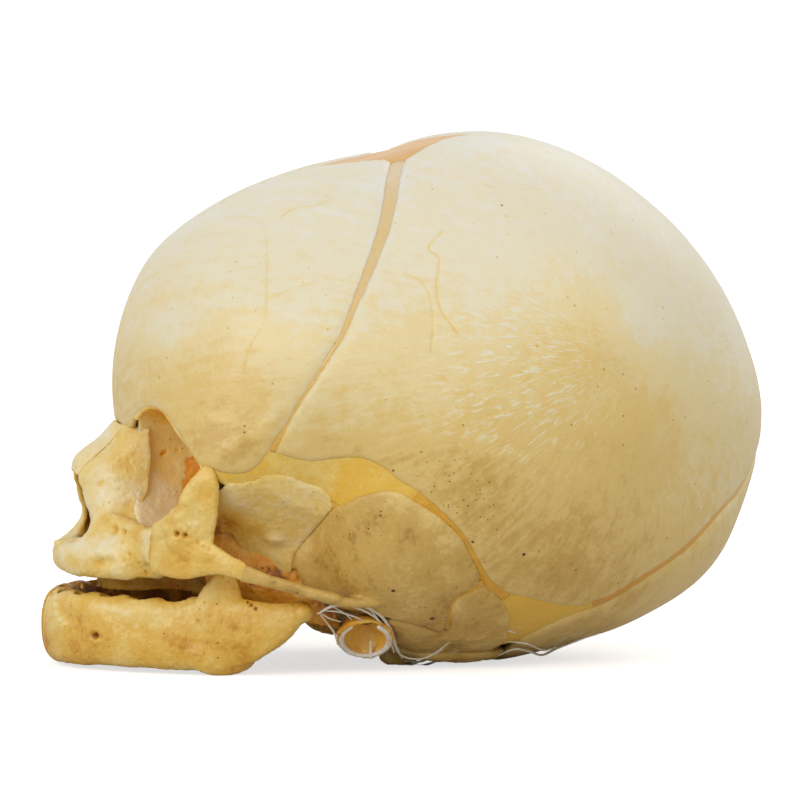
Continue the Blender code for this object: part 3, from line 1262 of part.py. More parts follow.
    def nose(self):
        bone = fused("nasal", [panel("nasal", NASAL_PANEL_SHARES, NASAL_WALL)], 160, smooth=1)
        trimmed(bone, (0, 0, 0), (0, 1, 0), BONE_GAP / 2)
        trimmed(bone, NASAL_TOP_SHARE, NASAL_TOP_FACING, BONE_GAP)
        trimmed(bone, NASAL_SEAM_SHARE, NASAL_SEAM_FACING, BONE_GAP / 2)
        self.add(bone, "nasal_bone", "bone_warm")
        bar = Stroke(CONCHA_SHARES, CONCHA_WIDTH, CONCHA_WALL, (0, -0.5, 1)).shape("concha")
        concha = fused("concha", [bar], 100, smooth=1)
        self.add(concha, "nasal_concha", "bone_amber")
        self.add(sheet("septum", SEPTUM_SHARES, SEPTUM_WALL), "nasal_septum", "bone_amber", pair=False)
        self.add(sheet("vomer", VOMER_SHARES, SEPTUM_WALL), "vomer", "bone_amber", pair=False)

    def inner_orbit(self):
        _, below = self.orbit_rim()
        tear = self.orbit_sheet("lacrimal", curve_through(below[6:9], 5), 0.1, 0.3, rows=3)
        self.add(tear, "lacrimal", "bone_amber")
        mass = Stroke(ETHMOID_SHARES, ETHMOID_HEIGHT, ETHMOID_WIDTH, (0, 0, 1)).shape("ethmoid")
        side = self.orbit_sheet("inner orbital wall", curve_through(below[6:9], 5), 0.36, 0.76, rows=4)
        self.add(fused("ethmoid", [mass, side], 220, smooth=2), "ethmoid_labyrinth", "bone_amber")

    def palatine(self):
        strokes = [
            Stroke(PALATINE_FLOOR_SHARES, ACROSS, PALATE_WALL, (0, 1, 0)).shape("floor"),
            Stroke(PALATINE_WALL_SHARES, PALATE_WALL, PALATE_WALL, (1, 0, 0)).shape("wall"),
        ]
        made = fused("palatine", strokes, 220, smooth=2)
        trimmed(made, PALATE_SEAM_SHARE, (-1, 0, 0), 0.0)
        trimmed(made, (0, 0, 0), (0, 1, 0), BONE_GAP / 2)
        self.add(made, "palatine", "bone_amber")

    # Lower jaw

    def mandible(self):
        up = (0, 0, 1)
        half = CONDYLE_DEPTH / 2
        angle = np.array(ANGLE_WIDTH_SHARES) * (MANDIBLE_DEPTH, MANDIBLE_THICKNESS, MANDIBLE_DEPTH)
        strokes = [
            Stroke(MANDIBLE_BODY_SHARES, MANDIBLE_DEPTH, MANDIBLE_THICKNESS, up, FULL_SHARE).shape("body"),
            Stroke(CORONOID_SHARES, MANDIBLE_DEPTH, MANDIBLE_THICKNESS, (1, 0, 0)).shape("coronoid"),
            blob("condyle", CONDYLE_SHARE, (half, CONDYLE_WIDTH / 2, half)),
            blob("angle", MANDIBLE_ANGLE_SHARE, angle),
        ]
        made = fused("mandible", strokes, 560)
        trimmed(made, (0, 0, 0), (0, 0, -1))
        trimmed(made, (0, 0, 0), (0, 1, 0), SYMPHYSIS_WIDTH / 2 + BONE_GAP)
        carved(made, *self.crypts(MANDIBLE_CRYPT_SHARES))
        self.add(made, "mandible", "bone_warm")

    def symphysis(self):
        x, _, z, broad, thin = MANDIBLE_BODY_SHARES[0]
        half = SYMPHYSIS_WIDTH / ACROSS
        broad, thin = np.array((broad, thin)) * SYMPHYSIS_SHARES
        table = ((x, -half, z, broad, thin), (x, half, z, broad, thin))
        bar = Stroke(table, MANDIBLE_DEPTH, MANDIBLE_THICKNESS, (0, 0, 1), FULL_SHARE)
        made = bar.shape("symphysis", sides=16)
        trimmed(made, (0, 0, 0), (0, 1, 0), -SYMPHYSIS_WIDTH / 2)
        trimmed(made, (0, 0, 0), (0, -1, 0), -SYMPHYSIS_WIDTH / 2)
        self.add(made, "mandible_symphysis", "cartilage", pair=False)

    def jaw_pads(self):
        """Pads between the condyles and the temporal bones."""
        half = CONDYLE_DEPTH / 2
        x, y, z = place(CONDYLE_SHARE)
        base = z + half + BONE_GAP
        halves = (half, CONDYLE_WIDTH * JAW_PAD_SHARE, JAW_PAD_WALL / 2)
        share = (x / ALONG, y / ACROSS, (base + JAW_PAD_WALL / 2) / UPWARD)
        self.add(blob("pad", share, halves, around=8), "jaw_pad", "cartilage")

    def hinge(self):
        """The moving pieces hang from an empty on the line through both condyles."""
        axis = bpy.data.objects.new("jaw_axis", None)
        x, _, z = place(CONDYLE_SHARE)
        axis.location = (x, 0.0, z)
        bpy.context.scene.collection.objects.link(axis)
        bpy.context.view_layer.update()
        for name in ("mandible_left", "mandible_right", "mandible_symphysis"):
            piece = self.nodes[name]
            piece.parent = axis
            piece.matrix_parent_inverse = axis.matrix_world.inverted()

    def smooth_shading(self):
        for made in self.nodes.values():
            made.data.shade_smooth()
            made.data.set_sharp_from_angle(angle=math.radians(42))

    def build(self):
        self.frontal()
        self.parietal()
        self.occipital()
        self.temporal()
        self.mastoid()
        self.ring()
        self.greater_wing()
        self.sphenoid()
        self.basilar()
        self.clivus_cartilage()
        self.lateral()
        self.membranes()
        self.maxilla()
        self.zygomatic()
        self.nose()
        self.inner_orbit()
        self.palatine()
        self.mandible()
        self.symphysis()
        self.jaw_pads()
        self.hinge()
        self.smooth_shading()


for old in list(bpy.data.objects):
    bpy.data.objects.remove(old)
Skull().build()
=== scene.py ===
"""Fine surface and finish of a dry fetal skull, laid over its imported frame.

Every length in a table is in millimetres and every angle in degrees, unless its name says
otherwise. The face looks along -X, the left side is -Y and +Z is up. The left side of each pair
is shaped here and its twin is the same shape mirrored.
"""

from __future__ import annotations

import json
import logging
import math
from dataclasses import dataclass, field
from enum import Enum
from functools import cached_property
from typing import Protocol

import bmesh
import bpy
import numpy as np
from mathutils import Matrix, Vector, noise
from mathutils.geometry import delaunay_2d_cdt

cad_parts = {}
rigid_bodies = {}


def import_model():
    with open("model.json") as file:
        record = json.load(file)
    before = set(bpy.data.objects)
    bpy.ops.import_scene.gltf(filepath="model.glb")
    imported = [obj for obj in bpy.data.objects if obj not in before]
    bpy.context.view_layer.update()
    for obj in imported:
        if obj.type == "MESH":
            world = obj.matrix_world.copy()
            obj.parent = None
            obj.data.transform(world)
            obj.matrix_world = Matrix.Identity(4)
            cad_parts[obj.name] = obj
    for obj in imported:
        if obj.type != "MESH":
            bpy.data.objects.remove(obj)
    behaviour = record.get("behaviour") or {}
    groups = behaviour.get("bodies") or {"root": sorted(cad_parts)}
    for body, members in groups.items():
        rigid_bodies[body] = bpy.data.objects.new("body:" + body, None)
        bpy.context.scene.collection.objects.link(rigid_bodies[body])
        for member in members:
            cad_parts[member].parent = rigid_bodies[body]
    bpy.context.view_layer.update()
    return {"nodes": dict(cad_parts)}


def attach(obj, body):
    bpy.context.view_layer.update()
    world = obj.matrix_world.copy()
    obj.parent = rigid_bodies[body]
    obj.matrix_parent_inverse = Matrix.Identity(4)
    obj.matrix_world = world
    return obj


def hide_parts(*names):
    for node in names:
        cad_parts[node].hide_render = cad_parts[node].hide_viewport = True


log = logging.getLogger("fetal skull")

Points = np.ndarray
Spot = tuple[float, float, float]
Table = tuple[tuple[float, ...], ...]
Object = bpy.types.Object
Node = bpy.types.Node
Socket = bpy.types.NodeSocket

MM = 0.001
FULL_TURN = 2 * math.pi
FLIP = (1, -1, 1)
# The stored tone holds real stain and also painted highlights and painted shade.
STAIN_AND_SHADING = "stain_and_shading"


def unit(vectors: Points) -> Points:
    """Each vector at length one."""
    vectors = np.asarray(vectors, float)
    return vectors / np.linalg.norm(vectors, axis=-1, keepdims=True)


def aim(degrees: Table | Points) -> Points:
    """Unit directions on the left side.

    Args:
        degrees: pairs of degrees round from the front and degrees up.

    Returns:
        One unit vector for each pair.
    """
    turn, lift = np.radians(np.asarray(degrees, float)).T
    flat = np.cos(lift)
    return np.stack([-flat * np.cos(turn), -flat * np.sin(turn), np.sin(lift)], axis=-1)


def degrees_off(directions: Points, spot: tuple[float, float]) -> Points:
    """Degrees between unit directions and one that is given in degrees round and up."""
    return np.degrees(np.arccos(np.clip(directions @ aim((spot,))[0], -1, 1)))


def bell(off: Points, reach: float) -> Points:
    """1 at no distance, and falling off smoothly over the reach."""
    return np.exp(-((off / reach) ** 2))


def step(values: Points, start: float, end: float) -> Points:
    """A smooth step from 0 at start to 1 at end."""
    t = np.clip((np.asarray(values, float) - start) / (end - start), 0, 1)
    return t * t * (3 - 2 * t)


def run_of(line: Points) -> Points:
    """Distance along a broken line at each of its points."""
    return np.concatenate([[0], np.cumsum(np.linalg.norm(np.diff(line, axis=0), axis=1))])


def at_steps(line: Points, run: Points, count: int, endpoint: bool = True) -> Points:
    """A number of evenly spaced points on a broken line.

    Args:
        line: the line's points, one in each row.
        run: distance along the line at each of them.
        count: how many points to give back.
        endpoint: whether the last one is the line's end.

    Returns:
        An array with count rows and the columns of the line.
    """
    steps = np.linspace(0, run[-1], count, endpoint=endpoint)
    return np.stack([np.interp(steps, run, column) for column in line.T], axis=-1)


def smooth_through(points: Points | Table, count: int) -> Points:
    """Evenly spaced points on a smooth curve.

    Args:
        points: the points that the curve passes, with any further columns.
        count: how many points to give back.

    Returns:
        An array with count rows and the columns of points.
    """
    points = np.asarray(points, float)
    padded = np.vstack([2 * points[0] - points[1], points, 2 * points[-1] - points[-2]])
    fine = []
    for index in range(len(points) - 1):
        a, b, c, d = padded[index : index + 4]
        for t in np.linspace(0, 1, 16, endpoint=index == len(points) - 2):
            bend = (2 * a - 5 * b + 4 * c - d) * t**2 + (3 * b - a - 3 * c + d) * t**3
            fine.append(0.5 * (2 * b + (c - a) * t + bend))
    fine = np.array(fine)
    return at_steps(fine, run_of(fine[:, :3]), count)


def evenly(line: Points, spacing: float, closed: bool = False) -> Points:
    """The same broken line with points at an even spacing.

    Args:
        line: points of any dimension.
        spacing: distance between the new points.
        closed: whether the line comes back to its first point.

    Returns:
        The new points; a closed line's first point isn't repeated.
    """
    line = np.vstack([line, line[:1]]) if closed else np.asarray(line, float)
    run = run_of(line)
    return at_steps(line, run, max(int(run[-1] / spacing), 3), endpoint=not closed)


def distance_to(points: Points, line: Points, closed: bool = False) -> Points:
    """Distance of each point to a broken line, in the plane or in space."""
    ends = np.roll(line, -1, axis=0) if closed else line[1:]
    starts = line if closed else line[:-1]
    found = np.full(len(points), np.inf)
    for start, end in zip(starts, ends):
        ahead = end - start
        along = np.clip((points - start) @ ahead / max(ahead @ ahead, 1e-12), 0, 1)
        np.minimum(found, np.linalg.norm(start + along[:, None] * ahead - points, axis=1), out=found)
    return found


def inside(points: Points, outline: Points) -> Points:
    """Whether each point of the plane lies inside a closed outline."""
    found = np.zeros(len(points), bool)
    for a, b in zip(outline, np.roll(outline, -1, axis=0)):
        crossing = (a[1] > points[:, 1]) != (b[1] > points[:, 1])
        if b[1] != a[1]:
            at = a[0] + (points[:, 1] - a[1]) / (b[1] - a[1]) * (b[0] - a[0])
            found ^= crossing & (at > points[:, 0])
    return found


def grain(points: Points, size: float, seed: float, octaves: int = 1) -> Points:
    """Smooth noise at each point.

    Args:
        points: places in millimetres.
        size: size of the largest features in millimetres.
        seed: shifts the noise, so that two fields differ.
        octaves: how many finer layers it has.

    Returns:
        One number of about -1 to 1 for each point.
    """
    shift = Vector((seed * 17.3, seed * -9.1, seed * 4.7))
    if octaves == 1:
        return np.array([noise.noise(Vector(p) / size + shift) for p in points])
    return np.array([noise.fractal(Vector(p) / size + shift, 0.9, 2.1, octaves) for p in points])


def shell_faces(rows: int, columns: int, ring: bool = False) -> list:
    """Faces of a closed sheet between two grids of points.

    Args:
        rows: rows of both grids.
        columns: columns of both grids.
        ring: whether the last column meets the first.

    Returns:
        Tuples of point numbers, the outer grid's points first.
    """
    below = rows * columns
    faces = []
    for i in range(rows - 1):
        for j in range(columns if ring else columns - 1):
            k = (j + 1) % columns
            a, b, c, d = i * columns + j, i * columns + k, (i + 1) * columns + k, (i + 1) * columns + j
            faces.append((a, b, c, d))
            faces.append((below + a, below + d, below + c, below + b))
    if ring:
        rims = [[i * columns + j for j in range(columns)] for i in (0, rows - 1)]
    else:
        rim = [(i, 0) for i in range(rows)] + [(rows - 1, j) for j in range(1, columns)]
        rim += [(i, columns - 1) for i in range(rows - 2, -1, -1)]
        rim += [(0, j) for j in range(columns - 2, 0, -1)]
        rims = [[i * columns + j for i, j in rim]]
    for rim in rims:
        faces += [(a, b, below + b, below + a) for a, b in zip(rim, rim[1:] + rim[:1])]
    return faces


def closed_mesh(name: str, points: Points, faces: list) -> bpy.types.Mesh:
    """A mesh with its faces pointing out.

    Args:
        name: name of the mesh.
        points: places in millimetres.
        faces: tuples of point numbers.

    Returns:
        The new mesh.
    """
    mesh = bpy.data.meshes.new(name)
    mesh.from_pydata([tuple(point) for point in np.asarray(points) * MM], [], [tuple(face) for face in faces])
    shape = bmesh.new()
    shape.from_mesh(mesh)
    bmesh.ops.recalc_face_normals(shape, faces=shape.faces)
    shape.to_mesh(mesh)
    shape.free()
    return mesh


def placed(name: str, data: bpy.types.ID) -> Object:
    """A new object in the scene that holds a mesh, a lamp or a camera."""
    made = bpy.data.objects.new(name, data)
    bpy.context.scene.collection.objects.link(made)
    return made


def paint(mesh: bpy.types.Mesh, tones: Points) -> None:
    """Stores the tone at each point of a mesh."""
    layer = mesh.attributes.get(STAIN_AND_SHADING) or mesh.attributes.new(STAIN_AND_SHADING, "FLOAT", "POINT")
    layer.data.foreach_set("value", np.asarray(tones, np.float32))


def new_object(name: str, points: Points, faces: list, tones: Points | None = None) -> Object:
    """A mesh object with its faces pointing out.

    Args:
        name: name of the object and of its mesh.
        points: places in millimetres.
        faces: tuples of point numbers.
        tones: tone at each point.

    Returns:
        The new object, in the scene.
    """
    mesh = closed_mesh(name, points, faces)
    if tones is not None:
        paint(mesh, tones)
    mesh.shade_smooth()
    return placed(name, mesh)


def mirrored(made: Object, name: str) -> Object:
    """The right twin of a left piece."""
    mesh = made.data.copy()
    mesh.name = name
    mesh.transform(Matrix.Diagonal((1.0, -1.0, 1.0, 1.0)))
    mesh.flip_normals()
    return placed(name, mesh)


def read(mesh: bpy.types.Mesh, what: str) -> Points:
    """The places ("co", in metres) or the directions ("normal") of a mesh's points."""
    flat = np.empty(len(mesh.vertices) * 3)
    mesh.vertices.foreach_get(what, flat)
    return flat.reshape(-1, 3)


@dataclass(frozen=True)
class Braincase:
    """Outer surface of the braincase as one function of direction from its centre."""

    centre: Spot = (5.5, 0.0, 44.0)
    half_breadth: float = 41.0
    broad: float = 1.07
    midline: tuple[float, ...] = (
        56.0, 56.9, 56.5, 52.9, 49.4, 47.4, 48.8, 50.8, 52.0, 53.0, 54.6, 56.5, 58.4, 57.8, 56.8, 52.2,
        47.8, 45.6, 44.8, 45.0, 46.0, 48.0, 51.0, 54.0,
    )  # fmt: skip
    swellings: Table = (
        (125, 18, 34, 4.2), (30, 16, 20, 2.0), (56, -12, 16, -3.0), (33, -9, 11, 5.0), (66, -33, 17, 2.5),
        (42, -26, 13, -6.0),
    )  # fmt: skip

    def radius(self, directions: Points) -> Points:
        """Radius in each unit direction, before the case is broadened."""
        turn = np.degrees(np.arctan2(directions[..., 2], -directions[..., 0])) % 360
        table = np.array(self.midline)
        spacing = 360 / len(table)
        slot = np.floor(turn / spacing).astype(int) % len(table)
        t = turn / spacing - np.floor(turn / spacing)
        a, b, c, d = (table[(slot + shift) % len(table)] for shift in (-1, 0, 1, 2))
        bend, twist = (2 * a - 5 * b + 4 * c - d) * t**2, (3 * b - a - 3 * c + d) * t**3
        middle = 0.5 * (2 * b + (c - a) * t + bend + twist)
        side = np.abs(directions[..., 1])
        found = 1 / np.sqrt((1 - side**2) / middle**2 + (side / self.half_breadth) ** 2)
        folded = np.stack([directions[..., 0], -side, directions[..., 2]], axis=-1)
        for turned, lifted, reach, height in self.swellings:
            found = found + height * bell(degrees_off(folded, (turned, lifted)), reach)
        return found

    def at(self, directions: Points, depth: Points | float = 0.0) -> Points:
        """Points of the surface, or as far below it as the depth says."""
        stretch = np.array((1.0, self.broad, 1.0))
        outer = np.array(self.centre) + directions * self.radius(directions)[..., None] * stretch
        inward = unit(np.array(self.centre) - outer)
        return outer + inward * np.asarray(depth)[..., None]

    def degrees(self, points: Points) -> tuple[Points, Points]:
        """Degrees round from the front and degrees up of places, folded to the left side."""
        away = unit((points - np.array(self.centre)) / (1.0, self.broad, 1.0))
        return np.degrees(np.arctan2(np.abs(away[:, 1]), -away[:, 0])), np.degrees(np.arcsin(away[:, 2]))


CASE = Braincase()


@dataclass(frozen=True)
class ToneMap:
    """Tone over the braincase, of stain and of painted light and shade: by height, and by spots on it."""

    heights: tuple[float, ...] = (0.0, 14.0, 28.0, 42.0, 55.0, 68.0, 80.0, 94.0)
    # Deeper towards the bottom: partly real stain and partly painted shade of the light from above.
    levels: tuple[float, ...] = (0.62, 0.6, 0.56, 0.5, 0.4, 0.24, 0.12, 0.08)
    # Spots (22, 18) and (133, 22) are painted highlights on the frontal and parietal eminences, and (38, -1)
    # is a painted shadow under the brow's outer edge.
    spots: Table = (
        (118, 22, 12, 0.13), (122, 4, 20, 0.06), (30, 6, 15, 0.12), (22, 18, 7, -0.12),
        (133, 22, 8, -0.16), (52, 20, 16, -0.05), (162, 4, 26, -0.16), (92, -14, 13, 0.12),
        (76, -8, 8, 0.07), (118, -32, 16, 0.1), (38, -1, 7, 0.12), (62, -9, 10, 0.06),
    )  # fmt: skip

    def at(self, points: Points) -> Points:
        """Tone at places in millimetres, of stain and of painted light and shade."""
        away = aim(np.stack(CASE.degrees(points), axis=-1))
        found = np.interp(points[:, 2], self.heights, self.levels)
        for turn, lift, reach, tone in self.spots:
            found = found + tone * bell(degrees_off(away, (turn, lift)), reach)
        return found


TONES = ToneMap()


@dataclass(frozen=True)
class Groove:
    """A fine furrow or stain line on a flat bone."""

    line: Table
    width: float
    depth: float
    tone: float


@dataclass
class Plate:
    """A flat bone, or a wide membrane, of the braincase inside a closed outline."""

    RINGS = ((1, 0.3), (2, 0.75), (2, 1.35))
    GROOVE_SHARES = (-1.5, -0.7, 0.0, 0.7, 1.5)
    EDGE_SPACING = 0.7
    EDGE_GAP = 0.18
    INNER_TONE = 0.62

    name: str
    outline: Points
    heart: tuple[float, float]
    wall: float
    spacing: float = 1.3
    ragged: float = 0.16
    edge_depth: float = 0.55
    edge_reach: float = 1.3
    base_depth: float = 0.0
    sag: float = 0.0
    relief: float = 0.10
    seed: int = 1
    grow: float = 0.0
    grooves: tuple[Groove, ...] = ()
    tone_shift: float = 0.0
    edge_tone: float = 0.10
    edge_tone_reach: float = 1.2

    @cached_property
    def axes(self) -> tuple[Points, Points, Points, float]:
        """The heart's direction, two directions beside it, and the flat plane's scale."""
        heart = aim((self.heart,))[0]
        side = unit(np.cross((0.0, 0.0, 1.0), heart))
        return heart, side, np.cross(heart, side), float(CASE.radius(heart))

    def flatten(self, directions: Points) -> Points:
        """Directions as places round the heart on a flat plane, in millimetres."""
        heart, side, other, scale = self.axes
        off = np.arccos(np.clip(directions @ heart, -1, 1))
        turn = np.arctan2(directions @ other, directions @ side)
        return np.stack([off * np.cos(turn), off * np.sin(turn)], axis=-1) * scale

    def lift(self, flat: Points) -> Points:
        """Places on the flat plane as directions again."""
        heart, side, other, scale = self.axes
        flat = flat / scale
        off = np.linalg.norm(flat, axis=1)
        turn = np.arctan2(flat[:, 1], flat[:, 0])
        away = np.cos(turn)[:, None] * side + np.sin(turn)[:, None] * other
        return np.cos(off)[:, None] * heart + np.sin(off)[:, None] * away

    def track(self, groove: Groove) -> Points:
        """A groove's line on the flat plane."""
        return evenly(self.flatten(unit(smooth_through(aim(groove.line), 60))), 0.6)

    def edge(self) -> tuple[Points, Points]:
        """The outline on the flat plane, made uneven, and its inward directions."""
        line = evenly(self.flatten(self.outline), self.EDGE_SPACING, closed=True)
        ahead = unit(np.roll(line, -1, axis=0) - np.roll(line, 1, axis=0))
        inward = np.stack([-ahead[:, 1], ahead[:, 0]], axis=-1)
        spin = (line[:, 0] * np.roll(line[:, 1], -1) - line[:, 1] * np.roll(line[:, 0], -1)).sum()
        inward = inward if spin > 0 else -inward
        deep = np.hstack([line, np.zeros((len(line), 1))])
        wave = 0.6 * grain(deep, 2.2, self.seed) + 0.6 * grain(deep, 0.9, self.seed + 3)
        return line + inward * (wave * self.ragged - self.grow)[:, None], inward

    def spots(self, line: Points, inward: Points) -> Points:
        """Places inside the outline at which the plate has a point."""
        rings = [line[::every] + inward[::every] * deep for every, deep in self.RINGS]
        low, high = line.min(axis=0), line.max(axis=0)
        rows = np.arange(low[1], high[1], self.spacing * math.sqrt(0.75))
        columns = np.arange(low[0], high[0], self.spacing)
        half = self.spacing / 2
        grid = np.array([(x + half * (index % 2), y) for index, y in enumerate(rows) for x in columns])
        grid = grid[inside(grid, line)]
        grid = grid[distance_to(grid, line, closed=True) > self.RINGS[-1][1] + 0.6 * self.spacing]
        for groove in self.grooves:
            track = self.track(groove)
            across = unit(np.gradient(track, axis=0))[:, ::-1] * (1, -1)
            grid = grid[distance_to(grid, track) > groove.width * 1.6 + 0.3]
            rings += [track + across * groove.width * share for share in self.GROOVE_SHARES]
        extra = np.vstack(rings)
        clear = inside(extra, line) & (distance_to(extra, line, closed=True) > self.EDGE_GAP)
        return np.vstack([grid, extra[clear]])

    def mesh(self) -> tuple[Points, list, Points]:
        """Points, faces and tones of the closed plate."""
        line, inward = self.edge()
        spots = np.vstack([line, self.spots(line, inward)])
        ring = [(i, (i + 1) % len(line)) for i in range(len(line))]
        found = delaunay_2d_cdt([Vector(p) for p in spots], ring, [list(range(len(line)))], 1, 1e-4)
        used, renumbered = np.unique(np.array([tuple(face) for face in found[2]]), return_inverse=True)
        triangles = renumbered.reshape(-1, 3)
        flat = np.array([tuple(point) for point in found[0]])[used]
        directions = self.lift(flat)
        off = distance_to(flat, line, closed=True)
        places = CASE.at(directions)
        drop = self.edge_depth * (1 - step(off, -0.2 * self.edge_reach, self.edge_reach)) ** 1.5
        uneven = self.relief * (grain(places, 9.0, self.seed + 5) + 0.35 * grain(places, 3.1, self.seed + 6))
        depth = self.base_depth + drop - uneven * step(off, 0, 4)
        depth = depth + self.sag * step(off, 0, max(off.max(), 1.0))
        tones = TONES.at(places) + self.tone_shift + self.edge_tone * bell(off, self.edge_tone_reach)
        for groove in self.grooves:
            mark = bell(distance_to(flat, self.track(groove)), groove.width)
            depth = depth + groove.depth * mark
            tones = tones + groove.tone * mark
        wall = self.wall * (0.45 + 0.55 * step(off, 0, 2.5))
        points = np.vstack([CASE.at(directions, depth), CASE.at(directions, depth + wall)])
        points[:, 2] = np.maximum(points[:, 2], 0.0)
        below = len(flat)
        faces = [tuple(face) for face in triangles] + [tuple(below + face[::-1]) for face in triangles]
        sides = np.vstack([triangles[:, [0, 1]], triangles[:, [1, 2]], triangles[:, [2, 0]]])
        seen = {tuple(side) for side in sides.tolist()}
        faces += [(a, below + a, below + b, b) for a, b in seen if (b, a) not in seen]
        return points, faces, np.concatenate([tones, np.full(below, self.INNER_TONE)])

    def build(self) -> Object:
        """The plate as an object."""
        return new_object(self.name, *self.mesh())


@dataclass
class Ribbon:
    """A narrow strip of membrane in an open suture, tucked under both bones."""

    SPACING = 0.45
    COLUMNS = 9

    name: str
    first: Points
    second: Points
    tuck: float = 0.45
    depth: float = 0.62
    crown: float = 0.14
    thick: float = 0.35
    braid: float = 0.10
    braid_size: float = 0.8
    tone_shift: float = 0.12
    seed: int = 1

    def build(self) -> Object:
        """The strip as an object."""
        count = int(run_of(CASE.at(self.first))[-1] / self.SPACING)
        first, second = (unit(at_steps(line, run_of(line), count)) for line in (self.first, self.second))
        across = unit(second - first)
        tuck = (self.tuck / CASE.radius(first))[:, None]
        near, far = first - across * tuck, second + across * tuck
        shares = np.linspace(0, 1, self.COLUMNS)
        flat = np.stack([unit(near + (far - near) * share) for share in shares], axis=1).reshape(-1, 3)
        places = CASE.at(flat)
        swell = np.tile(np.sin(shares * math.pi), count)
        rough = self.braid * grain(places, self.braid_size, self.seed) * swell
        depth = self.depth - self.crown * swell**2 + rough
        tones = TONES.at(places) + self.tone_shift - 0.8 * rough + 0.10 * grain(places, 6.0, self.seed + 2)
        points = np.vstack([CASE.at(flat, depth), CASE.at(flat, depth + self.thick)])
        return new_object(self.name, points, shell_faces(count, self.COLUMNS), np.concatenate([tones, tones]))


@dataclass
class Edges:
    """Edges of the flat bones in degrees, and the outlines that they make together."""

    coronal: Table = (
        (53.5, 74.7), (59.5, 67.7), (64, 57), (64.5, 48), (63, 38), (61.3, 30), (59.4, 22.4), (57, 17.5),
        (54.5, 12.7), (51, 7), (48.2, 2.2), (46.5, -0.8), (44.4, -4.6),
    )  # fmt: skip
    coronal_halves: tuple[float, ...] = (
        1.35, 1.25, 1.15, 1.0, 0.8, 0.55, 0.36, 0.27, 0.22, 0.2, 0.2, 0.3, 0.5,
    )  # fmt: skip
    lambdoid: Table = (
        (176, -6), (170, -10), (165, -14), (160.5, -16.5), (156.4, -20), (152, -25), (148, -29.5),
        (144.5, -34.5), (141.5, -40), (138, -43.5),
    )  # fmt: skip
    lambdoid_halves: tuple[float, ...] = (1.3, 1.1, 0.8, 0.7, 0.7, 0.7, 0.7, 0.8, 0.9, 1.2)
    squamosal: Table = (
        (77, -15.3), (81, -18), (84.5, -20.8), (88, -24.2), (91.5, -28.6), (94.5, -33.4), (98, -38.4),
        (103, -42.4), (107.5, -44.4),
    )  # fmt: skip
    squamosal_halves: tuple[float, ...] = (1.0, 0.75, 0.55, 0.46, 0.45, 0.5, 0.6, 0.7, 0.9)
    metopic: tuple[float, ...] = (-1.6, 10, 25, 40, 55, 66)
    metopic_halves: tuple[float, ...] = (0.25, 0.3, 0.4, 0.6, 0.9, 1.8)
    sagittal: tuple[float, ...] = (98, 110, 125, 140, 155, 168, 178)
    sagittal_halves: tuple[float, ...] = (1.95, 1.2, 0.9, 0.8, 0.8, 1.0, 1.7)
    frontal_crown: Table = ((13, 69.5), (24, 73), (40, 75.2))
    parietal_crown: Table = ((72, 80.5), (100, 84.2), (135, 84.5))
    frontal_temple: Table = ((42, -7.2), (39.5, -8.7), (36.8, -8.5), (34.6, -7.4))
    frontal_orbit: Table = (
        (32.6, -6.8), (30.5, -4.4), (28, -2.2), (25, 0), (22, 2.2), (18, 3.2), (13.5, 2.2), (10.6, 0.6),
    )  # fmt: skip
    frontal_nasal: Table = ((8.6, -1.4), (4.5, -1.7))
    parietal_temple: Table = (
        (73.5, -11.8), (70, -9), (67, -7.5), (63, -6.4), (57, -6.8), (51.5, -7.3), (48, -6.3),
    )  # fmt: skip
    parietal_mastoid: Table = ((136, -44.2), (128, -45.2), (119, -44.7), (111.5, -43.6))
    squama_mastoid: Table = ((136, -47.4), (132, -51.6), (128.5, -57), (127, -61))
    squama_base: Table = ((131, -66), (138, -70.5), (148, -74), (163, -76.5))
    temporal_top: Table = ((74.6, -15.2), (70.5, -14.6), (65.5, -15.6), (61, -17.2), (57.8, -19))
    temporal_front: Table = (
        (55.2, -19.8), (51.3, -23.0), (46.8, -26.9), (42.3, -30.1), (39.2, -32.7), (38.0, -35.1),
    )  # fmt: skip
    temporal_base: Table = (
        (38.8, -37.5), (42, -43), (48, -45.8), (55, -47), (62, -48.5), (70, -51.5), (79, -55),
        (86.5, -57.8),
    )  # fmt: skip
    temporal_rear: Table = ((87.4, -56.4), (87.7, -52), (87.7, -46.6), (90.8, -43.2), (96.0, -40.4))
    wing_top: Table = (
        (36.2, -10.8), (39.8, -11), (43, -9.8), (46, -10.8), (48.8, -13.2), (51.8, -14.4), (54, -16.8),
    )  # fmt: skip
    wing_rear: Table = (
        (54.6, -19.6), (51.1, -22.9), (46.7, -26.6), (42.2, -29.9), (39, -32.5), (37.5, -34.7),
    )  # fmt: skip
    wing_base: Table = ((36.6, -36.6), (33, -38), (28.6, -37))
    wing_front: Table = ((26.6, -31), (27.6, -24), (30.3, -17.4), (33.2, -13))
    mastoid_rear: Table = ((110.8, -50), (114.4, -54.5), (118, -59.5), (120.5, -64))
    mastoid_base: Table = (
        (121, -67), (116, -71), (105, -74.5), (92, -74.5), (80, -73), (70, -70), (63, -64), (63.5, -57),
        (64.3, -51.6),
    )  # fmt: skip
    mastoid_under: Table = ((67, -51.4), (72, -53.2), (79, -56.0), (84.5, -58.2), (87.4, -58.7))
    mastoid_rise: Table = ((88.1, -56.8), (88.3, -52), (88.3, -47.0), (91.2, -43.8), (96.4, -40.8))
    opening_back: float = 258.5
    lambda_point: float = 186.5
    left_metopic: Points = field(init=False)
    left_sagittal: Points = field(init=False)
    frontal_coronal: Points = field(init=False)
    parietal_coronal: Points = field(init=False)
    parietal_lambdoid: Points = field(init=False)
    squama_lambdoid: Points = field(init=False)
    parietal_squamosal: Points = field(init=False)
    temporal_squamosal: Points = field(init=False)

